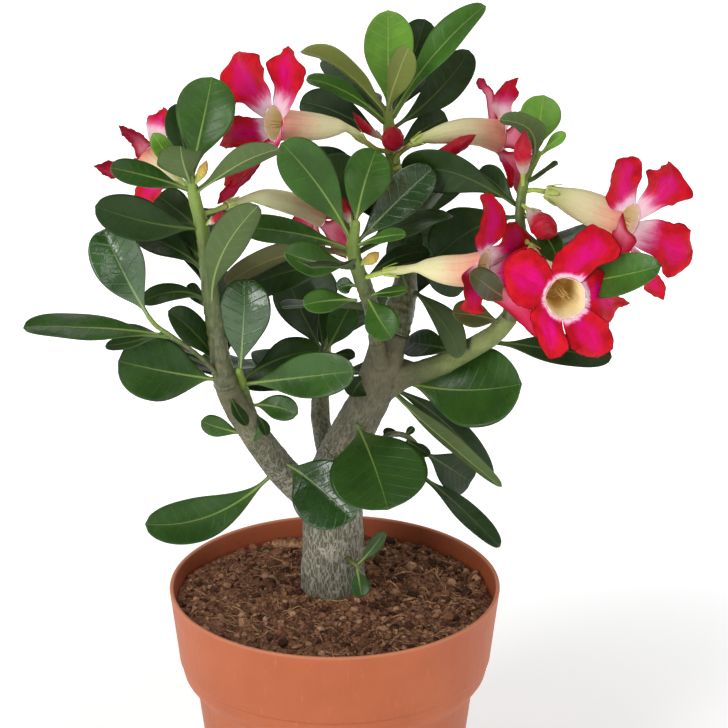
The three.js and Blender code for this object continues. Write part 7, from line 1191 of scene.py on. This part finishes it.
# ------------------------------------------------------------------------------------------------ flowers
FLOWER_NODE = {"F1": "flower_upper_left", "F2": "flower_middle_left", "F3": "flower_middle_right", "F4": "flower_front",
               "F5": "flower_right", "F6": "flower_upper_right", "F7": "flower_far_left"}


def sepals(mesh, base, axis, r, length, n=5, spread=0.35, seed=0):
    """Small pointed green sepals hugging the foot of a tube or bud."""
    axis = unit(np.array(axis, float))
    e1 = unit(np.cross(axis, [0.3, 0.2, 1.0]))
    e2 = np.cross(axis, e1)
    for k in range(n):
        a = 2 * math.pi * k / n + seed
        d = e1 * math.cos(a) + e2 * math.sin(a)
        w = np.cross(axis, d)
        nt, ns = 9, 7
        t = np.linspace(0, 1, nt)[:, None]
        s = np.linspace(-1, 1, ns)[None, :]
        hw = r * 0.62 * (np.sqrt(np.clip(t + 0.12, 0, 1)) * (1 - t) ** 0.75 * 1.35) + 0.04
        out = r * (0.75 + 0.45 * np.sin(np.clip(t, 0, 1) * 2.0)) + spread * r * t ** 2
        C = base + axis * (t * length)[..., None] * 1.0
        ang = s * hw / np.maximum(out, 0.2)
        X = C + (d[None, None, :] * np.cos(ang)[..., None] + w[None, None, :] * np.sin(ang)[..., None]) * out[..., None]
        Nn = unit(d[None, None, :] * np.cos(ang)[..., None] + w[None, None, :] * np.sin(ang)[..., None])
        th = 0.16 * np.sqrt(np.clip(1 - s ** 2, 0, 1)) * np.ones_like(t)
        lens(mesh, X, Nn, th, {"frac": t, "along": t * length})


def traced_lobe(m, key, li, ed_, C, R, a, e1, e2, r_, rng):
    """One petal lobe between two side lines A and B that run from the mouth's ring to the tip; n is its upper face."""
    nt, ns = 44, 27
    A, B, nv = np.array(ed_["A"], float), np.array(ed_["B"], float), unit(np.array(ed_["n"], float))
    A, _ = spline(np.hstack([A, np.ones((len(A), 1))]), n=nt)
    B, _ = spline(np.hstack([B, np.ones((len(B), 1))]), n=nt)
    A, B = A[:, :3], B[:, :3]
    tip = (A[-1] + B[-1]) / 2
    A[-1] = tip + (A[-2] - tip) * 0.25
    B[-1] = tip + (B[-2] - tip) * 0.25
    t = np.linspace(0, 1, nt)[:, None]
    s = np.linspace(-1, 1, ns)[None, :]
    hw = np.maximum(np.linalg.norm(A - B, axis=1)[:, None] / 2, 0.12)
    Wm = float(hw.max())
    mid = (A + B) / 2
    Ln = float(np.linalg.norm(np.diff(mid, axis=0), axis=1).sum())
    face = np.array([0.0, -0.925, 0.380]) if nv @ np.array([0.0, -0.925, 0.380]) > 0 else np.array([0.0, 0.925, -0.380])
    ph = rng.rand() * 6.28
    wd = unit(B - A + 1e-9)
    # slightly torn, uneven margins
    rag = 0.16 * np.sin(t * 6.28 * 5.3 + ph) + 0.12 * np.sin(t * 6.28 * 9.1 + ph * 2)
    rag2 = 0.16 * np.sin(t * 6.28 * 4.7 + ph * 1.7) + 0.12 * np.sin(t * 6.28 * 10.3 + ph)
    fade = smooth(0.15, 0.4, t) * smooth(1.0, 0.93, t)
    A = A - wd * rag * fade
    B = B + wd * rag2 * fade
    X = A[:, None, :] * ((1 - s) / 2)[..., None] + B[:, None, :] * ((1 + s) / 2)[..., None]
    # the lobe arches out of the mouth, its tip bends back, its margins are wavy and a groove runs along its middle
    arch = 0.10 * Ln * np.sin(np.pi * np.clip(t, 0, 1) ** 0.8) - 0.11 * Ln * smooth(0.55, 1.0, t) ** 1.4
    cup = 0.16 * hw * (s ** 2 - 0.35)
    X = X + face[None, None, :] * (arch + cup)[..., None]
    ruff = 0.24 * hw * np.abs(s) ** 2.0 * np.sin(t * 6.28 * 1.15 + ph + 2.6 * (s > 0)) * smooth(0.12, 0.45, t)
    ruff = ruff + 0.09 * hw * np.abs(s) ** 3 * np.sin(t * 6.28 * 3.1 + ph * 2 + 1.7 * (s > 0)) * smooth(0.25, 0.6, t)
    groove = -0.32 * np.exp(-(s * hw / 1.2) ** 2) * smooth(0.1, 0.4, t) * smooth(1.0, 0.8, t)
    fold = 0.16 * np.sin(s * 5.0 + ph + t * 1.5) * smooth(0.1, 0.5, t) * smooth(1.0, 0.85, t)
    tw = 0.40 * s * smooth(0.05, 0.5, t)
    X = X + nv[None, None, :] * ((ruff + groove + fold) * np.minimum(1.0, hw / 2.0) + tw)[..., None]
    sg = 1.0 if ed_["sign"] < 0 else -1.0
    ang = r_ + 0.6283 * s * sg
    dirb = math.cos(r_) * e1 + math.sin(r_) * e2
    dm = mid - mid[0]
    ax = dm @ a
    dp = dm - ax[:, None] * a
    dr = np.clip(np.minimum(dp @ dirb, np.linalg.norm(dp, axis=1)), 0, None)
    ring = C + (np.cos(ang)[None, ..., None] * e1 + np.sin(ang)[None, ..., None] * e2)[0] * (R * 0.985 + dr)[:, None, None] + a * 0.1
    ring = ring + (ax[:, None] * a + dp - dr[:, None] * dirb)[:, None, :]
    k1 = smooth(0.0, 0.26, t)[..., None]
    X = ring * (1 - k1) + X * k1
    gu = np.gradient(X, axis=0)
    gv = np.gradient(X, axis=1)
    Nn = unit(np.cross(gu, gv) + 1e-12)
    if (Nn[nt // 2, ns // 2] @ nv) < 0:
        Nn = -Nn
    Nn[-1] = nv
    thk = 0.20 * np.clip((1 - np.abs(s) ** 6), 0, 1) * np.ones_like(t)
    le = np.minimum((1 - np.abs(s)) * hw, (1 - t) * Ln * 1.1)
    lens(m, X, Nn, thk, {"lt": t, "la": s * np.ones_like(t), "le": le, "hw": np.full_like(t, Wm), "var": rng.rand(), "pale": PALE.get(key, 0.6)})


def build_flower(key):
    f = FLOWERS[key]
    node = FLOWER_NODE[key]
    rng = np.random.RandomState(50 + ord(key[1]))
    tb = np.array(f["tube"], float)
    axis = unit(np.array(f["axis"], float))
    S, q = spline(tb, 0.55)
    Tn, U, W = frames(S[:, :3])
    n = len(S)
    sides = 40
    th = np.linspace(0, 2 * math.pi, sides, endpoint=False)
    # the tube's outer wall, a rolled lip, and the inner wall down to a closed end
    wall = 0.38
    C = S[-1, :3]
    R = tb[-1, 3]
    # ring directions at the mouth turn into the flower's own frame
    e1 = unit(np.cross(axis, [0, 0, 1.0]))
    e2 = np.cross(axis, e1)
    ring_t = unit(np.cross(np.cross(axis, Tn[-1]) if np.linalg.norm(np.cross(axis, Tn[-1])) > 1e-3 else e1, axis))
    rows, ft, ins = [], [], []
    flute = 1 + 0.035 * np.cos(5 * th)[None, :] * smooth(0.35, 0.9, np.linspace(0, 1, n))[:, None]
    blend = smooth(0.72, 1.0, np.linspace(0, 1, n))[:, None]
    # turn U, W toward the flower frame near the mouth
    U2 = unit(U * (1 - blend) + e1 * blend) if (U[-1] @ e1) > 0.2 else None
    # the start angle of the tube's ring that best matches e1
    a0 = math.atan2(float(e1 @ W[-1]), float(e1 @ U[-1]))
    for i in range(n):
        A = math.cos(a0) * U[i] + math.sin(a0) * W[i]
        Bv = -math.sin(a0) * U[i] + math.cos(a0) * W[i]
        b = float(blend[i, 0])
        Ax = unit(A * (1 - b) + e1 * b)
        Bx = unit(Bv * (1 - b) + e2 * b)
        rr = S[i, 3] * flute[i]
        rows.append(S[i, :3] + (np.cos(th)[:, None] * Ax + np.sin(th)[:, None] * Bx) * rr[:, None])
        ft.append(i / (n - 1))
        ins.append(0.0)
    lip = rows[-1]
    ctr = lip.mean(0)
    rows.append(ctr + (lip - ctr) * (1 - 0.5 * wall / R) + axis * 0.22)
    ft.append(1.0)
    ins.append(0.6)
    inner = [i for i in range(n - 1, int(n * 0.66), -2)]
    for i in inner:
        c = S[i, :3]
        rows.append(c + (rows[i] - c) * max(0.2, 1 - wall / S[i, 3]))
        ft.append(i / (n - 1))
        ins.append(1.0)
    V = np.array(rows).reshape(-1, 3)
    F = []
    m_ = len(rows)
    for i in range(m_ - 1):
        for j in range(sides):
            k = (j + 1) % sides
            F.append((i * sides + j, i * sides + k, (i + 1) * sides + k, (i + 1) * sides + j))
    V = np.vstack([V, [S[0, :3]], [S[inner[-1], :3] - Tn[inner[-1]] * 0.8]])
    c0, c1 = m_ * sides, m_ * sides + 1
    for j in range(sides):
        F.append((c0, (j + 1) % sides, j))
        F.append((c1, (m_ - 1) * sides + j, (m_ - 1) * sides + (j + 1) % sides))
    fta = np.concatenate([np.repeat(ft, sides), [0, ft[-1]]])
    ina = np.concatenate([np.repeat(ins, sides), [0, 1]])
    faa = np.concatenate([np.tile(np.minimum(th, 2 * math.pi - th), m_), [0, 0]])
    m = Mesh()
    m.add(V, F, {"ft": fta, "inside": ina, "fa": faa, "greenish": 1.0 if key in ("F2",) else 0.0})
    m.build("tube_" + node, MATS["tube"], "petal", node)
    # lobes
    m = Mesh()
    a = axis
    for li, (tip, Wd, ra) in enumerate(f["lobes"]):
        ed_ = f["edges"][li] if "edges" in f else None
        if ed_ is not None:
            traced_lobe(m, key, li, ed_, C, R, a, e1, e2, math.radians(ra), rng)
            continue
        tip = np.array(tip, float)
        r_ = math.radians(ra)
        dirb = math.cos(r_) * e1 + math.sin(r_) * e2
        base = C + dirb * R
        u = unit(tip - base)
        nv = unit(a - (a @ u) * u)
        w = np.cross(u, nv)
        if w @ unit(np.cross(a, dirb)) < 0:
            w = -w
        Ln = np.linalg.norm(tip - base)
        Mi = (base + tip) / 2 + nv * 0.12 * Ln
        nt, ns = 40, 25
        t = np.linspace(0, 1, nt)
        t = t * 0.8 + 0.2 * (1 - (1 - t) ** 2.4)
        t[-1] = 1.0
        t = t[:, None]
        s = np.linspace(-1, 1, ns)[None, :]
        wf = np.interp(t[:, 0], [0, .15, .35, .55, .72, .86, .93, .97, 1], [.62, .84, 1.04, 1.12, 1.08, .88, .66, .46, .06])[:, None]
        # an uneven outline: each lobe leans to one side, with a small point
        skew = 0.10 * (1 if li % 2 else -1)
        hw = wf * Wd / 2 * WIDE.get(key, 1.0)
        P = (1 - t) ** 2 * base + 2 * (1 - t) * t * Mi + t ** 2 * tip
        ph = rng.rand() * 6.28
        ruff = 0.16 * hw * np.abs(s) ** 2.2 * np.sin(t * 6.28 * 1.25 + ph + 2.4 * (s > 0)) * smooth(0.15, 0.5, t)
        ruff = ruff + 0.05 * hw * np.abs(s) ** 3 * np.sin(t * 6.28 * 3.4 + ph * 2 + 1.7 * (s > 0)) * smooth(0.25, 0.6, t)
        curl = -0.10 * Ln * smooth(0.62, 1.0, t) ** 1.5 * RECURVE.get(key, 1.0)
        groove = -0.35 * np.exp(-(s * hw / 1.3) ** 2) * smooth(0.1, 0.4, t) * smooth(1.0, 0.8, t)
        cup = 0.10 * hw * s ** 2
        patch = P[:, None, :] + w[None, None, :] * (s * hw * (1 + skew * t * s))[..., None] + nv[None, None, :] * (cup + ruff + groove + curl)[..., None]
        # near the throat the sheet follows the mouth's ring
        hw2 = np.maximum(hw, R * 0.588)
        patch2 = P[:, None, :] + w[None, None, :] * (s * hw2)[..., None] + nv[None, None, :] * cup[..., None]
        ang = r_ + 0.6283 * s * np.sign(float(np.cross(a, dirb) @ w))
        ringp = C + (np.cos(ang)[..., None] * e1 + np.sin(ang)[..., None] * e2) * R * 0.985 + a * 0.1
        ringp = np.broadcast_to(ringp, patch.shape) + (P - base)[:, None, :]
        k1 = smooth(0.0, 0.40, t)[..., None]
        k2 = smooth(0.0, 0.45, t)[..., None]
        X = ringp * (1 - k1) + (patch2 * (1 - k2) + patch * k2) * k1
        # neighbouring lobes lie over each other like a pinwheel
        X = X + a[None, None, :] * (0.45 * s * smooth(0.05, 0.5, t))[..., None]
        gu = np.gradient(X, axis=0)
        gv = np.gradient(X, axis=1)
        Nn = unit(np.cross(gu, gv))
        if (Nn[nt // 2, ns // 2] @ nv) < 0:
            Nn = -Nn
        Nn[-1] = nv
        thk = 0.20 * np.clip((1 - np.abs(s) ** 6), 0, 1) * np.ones_like(t)
        ed = np.minimum((1 - np.abs(s)) * hw, (1 - t) * Ln * 1.25)
        lens(m, X, Nn, thk, {"lt": t, "la": s * np.ones_like(t), "le": ed, "hw": np.full_like(t, Wd * 0.5), "var": rng.rand(), "pale": PALE.get(key, 0.6)})
    m.build("petals_" + node, MATS["petal"], "petal", node)
    # stamen tails in the throat
    m = Mesh()
    i0 = int(n * 0.72)
    for k in range(5):
        aa = 2 * math.pi * k / 5 + 0.3
        d = math.cos(aa) * e1 + math.sin(aa) * e2
        p0 = S[i0, :3] + d * 0.5
        p1 = (S[i0, :3] + C) / 2 + d * 0.9 + axis * 0.5
        p2 = C + d * (1.2 + 0.6 * rng.rand()) + axis * (0.2 + rng.rand())
        P, _ = spline(np.array([[*p0, 0.42], [*p1, 0.30], [*p2, 0.12]]), 0.8)
        tube(m, P, 7)
    # the cone that the anthers form
    p0, p1 = S[int(n * 0.66), :3], C - axis * (0.75 * R)
    P, _ = spline(np.array([[*p0, 0.25 * R], [*((p0 + p1) / 2), 0.24 * R], [*p1, 0.06 * R]]), 0.6)
    tube(m, P, 12, wob=0.2)
    m.build("anthers_" + node, MATS["stamen"], "petal", node)
    # calyx and stalk
    m = Mesh()
    sepals(m, S[0, :3] - Tn[0] * 0.4, Tn[1], max(1.3, S[0, 3] * 1.06), 6.2, seed=rng.rand() * 3)
    ped = np.array(f["ped"], float)
    rr = np.array([1.05, 0.95, 1.15])[:len(ped)] if len(ped) == 3 else np.linspace(1.0, 1.1, len(ped))
    P, _ = spline(np.hstack([ped, rr[:, None]]), 0.7)
    tube(m, P, 12, wob=0.06, seed=5)
    m.build("stalk_" + node, MATS["calyx"], "green_shoot", SHOOT_NODE[f["stem"]])


BUD_NODE = {"B1": "bud_top", "B2": "bud_right_upper", "B3": "bud_right", "B4": "bud_behind", "B5": "shoot_middle",
            "B6": "shoot_left", "B7": "shoot_top", "B8": "shoot_left", "B9": "shoot_middle"}


def build_bud(key):
    b = BUDS[key]
    node = BUD_NODE[key]
    base, tip, r, kind = np.array(b["b"], float), np.array(b["t"], float), b["r"], b["kind"]
    L = np.linalg.norm(tip - base)
    ax = unit(tip - base)
    # the stalk takes the first part when the bud is far from its stem
    k0 = 0.30 if L > 12 else 0.18
    if kind == "long":
        k0 = 0.16
    p0 = base + ax * L * k0
    Lb = L * (1 - k0)
    n, sides = 44, 40
    t = np.linspace(0, 1, n)
    if kind == "long":
        prof = np.interp(t, [0, .12, .45, .66, .80, .92, 1], [.55, .62, .72, .98, 1.0, .55, .02])
    else:
        prof = np.interp(t, [0, .08, .26, .45, .62, .80, .93, 1], [.42, .60, .78, 1.0, .98, .62, .26, .02])
    prof = np.convolve(np.pad(prof, 2, "edge"), [.1, .2, .4, .2, .1], "valid")
    prof[-1] = 0.03
    th = np.linspace(0, 2 * math.pi, sides, endpoint=False)
    e1 = unit(np.cross(ax, [0.2, 0.1, 1.0]))
    e2 = np.cross(ax, e1)
    tw = 3.6 * smooth(0.30, 1.0, t)
    ang = 5 * (th[None, :] + tw[:, None])
    saw = (ang / (2 * math.pi)) % 1.0
    amp = 0.13 * smooth(0.28, 0.55, t)[:, None] * smooth(1.0, 0.9, t)[:, None] + 0.02
    rr = r * prof[:, None] * (1 + amp * (saw - 0.5))
    bend = unit(np.cross(ax, e1)) * 0.04 * L
    C = p0 + ax[None, :] * (t * Lb)[:, None] + bend[None, :] * (np.sin(t * 3.14))[:, None]
    V = C[:, None, :] + (np.cos(th)[None, :, None] * e1 + np.sin(th)[None, :, None] * e2) * rr[..., None]
    F = []
    for i in range(n - 1):
        for j in range(sides):
            k = (j + 1) % sides
            F.append((i * sides + j, i * sides + k, (i + 1) * sides + k, (i + 1) * sides + j))
    V = np.vstack([V.reshape(-1, 3), [C[0]], [C[-1] + ax * 0.1]])
    for j in range(sides):
        F.append((n * sides, (j + 1) % sides, j))
        F.append((n * sides + 1, (n - 1) * sides + j, (n - 1) * sides + (j + 1) % sides))
    seam = np.exp(-((np.minimum(saw, 1 - saw)) / 0.10) ** 2)
    m = Mesh()
    m.add(V, F, {"ft": np.concatenate([np.repeat(t, sides), [0, 1]]), "fa": np.concatenate([np.tile(th, n), [0, 0]]),
                 "seam": np.concatenate([seam.reshape(-1), [0, 0]]), "greenish": 1.0 if kind == "green" else 0.0})
    m.build("bud_skin_" + key, MATS["bud"], "bud_skin", node)
    m = Mesh()
    sepals(m, p0 - ax * 0.3, ax, max(0.9, r * 0.44), min(4.2, Lb * 0.34), seed=len(key) + r)
    st = np.array([[*base, 0.9 if r > 2 else 0.7], [*((base + p0) / 2), 0.8 if r > 2 else 0.6], [*(p0 + ax * 0.5), max(0.8, r * 0.36)]])
    P, _ = spline(st, 0.5)
    tube(m, P, 12, wob=0.05)
    m.build("calyx_" + key, MATS["calyx"], "green_shoot", SHOOT_NODE[b["stem"]])


# ------------------------------------------------------------------------------------------------ light, floor, camera
def studio():
    sc = bpy.context.scene
    sc.view_settings.view_transform = "Standard"
    sc.view_settings.look = "None"
    w = bpy.data.worlds.new("studio")
    sc.world = w
    w.use_nodes = True
    nt = w.node_tree
    bg = nt.nodes["Background"]
    # a pale room: bright round the horizon, dimmer overhead, so that gloss comes from the soft lights
    tc = nt.nodes.new("ShaderNodeTexCoord")
    sep = nt.nodes.new("ShaderNodeSeparateXYZ")
    mr = nt.nodes.new("ShaderNodeMapRange")
    mr.interpolation_type = "SMOOTHSTEP"
    mr.inputs["From Min"].default_value = 0.06
    mr.inputs["From Max"].default_value = 0.36
    mr.inputs["To Min"].default_value = 0.95
    mr.inputs["To Max"].default_value = WORLD
    nt.links.new(tc.outputs["Generated"], sep.inputs[0])
    nt.links.new(sep.outputs["Z"], mr.inputs["Value"])
    nt.links.new(mr.outputs["Result"], bg.inputs["Strength"])
    bg.inputs["Color"].default_value = (1.0, 1.0, 1.0, 1.0)

    def area(name, loc, target, size, watts, color=(1, 1, 1)):
        d = bpy.data.lights.new(name, "AREA")
        d.shape = "RECTANGLE"
        d.size, d.size_y = size
        d.energy = watts
        d.color = color
        o = bpy.data.objects.new(name, d)
        o.location = loc
        v = Vector(target) - Vector(loc)
        o.rotation_euler = v.to_track_quat("-Z", "Y").to_euler()
        sc.collection.objects.link(o)
        return o

    area("key", (-0.88, -1.08, 0.98), (0.0, 0.0, 0.24), (0.50, 1.15), KEY)
    area("top", (-0.15, 0.35, 1.55), (0.0, 0.0, 0.2), (1.0, 0.9), TOP)
    area("fill", (0.62, -1.25, 1.22), (0.0, 0.0, 0.24), (0.5, 0.5), FILL)
    area("side", (1.45, -0.35, 0.72), (0.0, 0.0, 0.24), (0.6, 1.0), SIDE)
    # floor: a large round sheet
    import bmesh
    bm = bmesh.new()
    bmesh.ops.create_circle(bm, cap_ends=True, radius=9.0, segments=96)
    me = bpy.data.meshes.new("floor")
    bm.to_mesh(me)
    bm.free()
    me.materials.append(MATS["floor"])
    fl = bpy.data.objects.new("floor", me)
    sc.collection.objects.link(fl)
    cd = bpy.data.cameras.new("camera")
    cd.sensor_width = 36.0
    cd.lens = 188.11
    cd.clip_start = 0.05
    cd.clip_end = 60.0
    cam = bpy.data.objects.new("camera", cd)
    cam.location = (0.0115, -1.3520, 0.7647)
    cam.rotation_euler = (math.radians(67.634), 0.0, 0.0)
    sc.collection.objects.link(cam)
    sc.camera = cam


def main():
    materials()
    studio()
    build_pot()
    build_soil()
    build_trunk()
    build_shoots()
    for k, row in enumerate(LEAVES):
        build_leaf(row, k)
    for key in FLOWERS:
        build_flower(key)
    for key in BUDS:
        build_bud(key)


main()
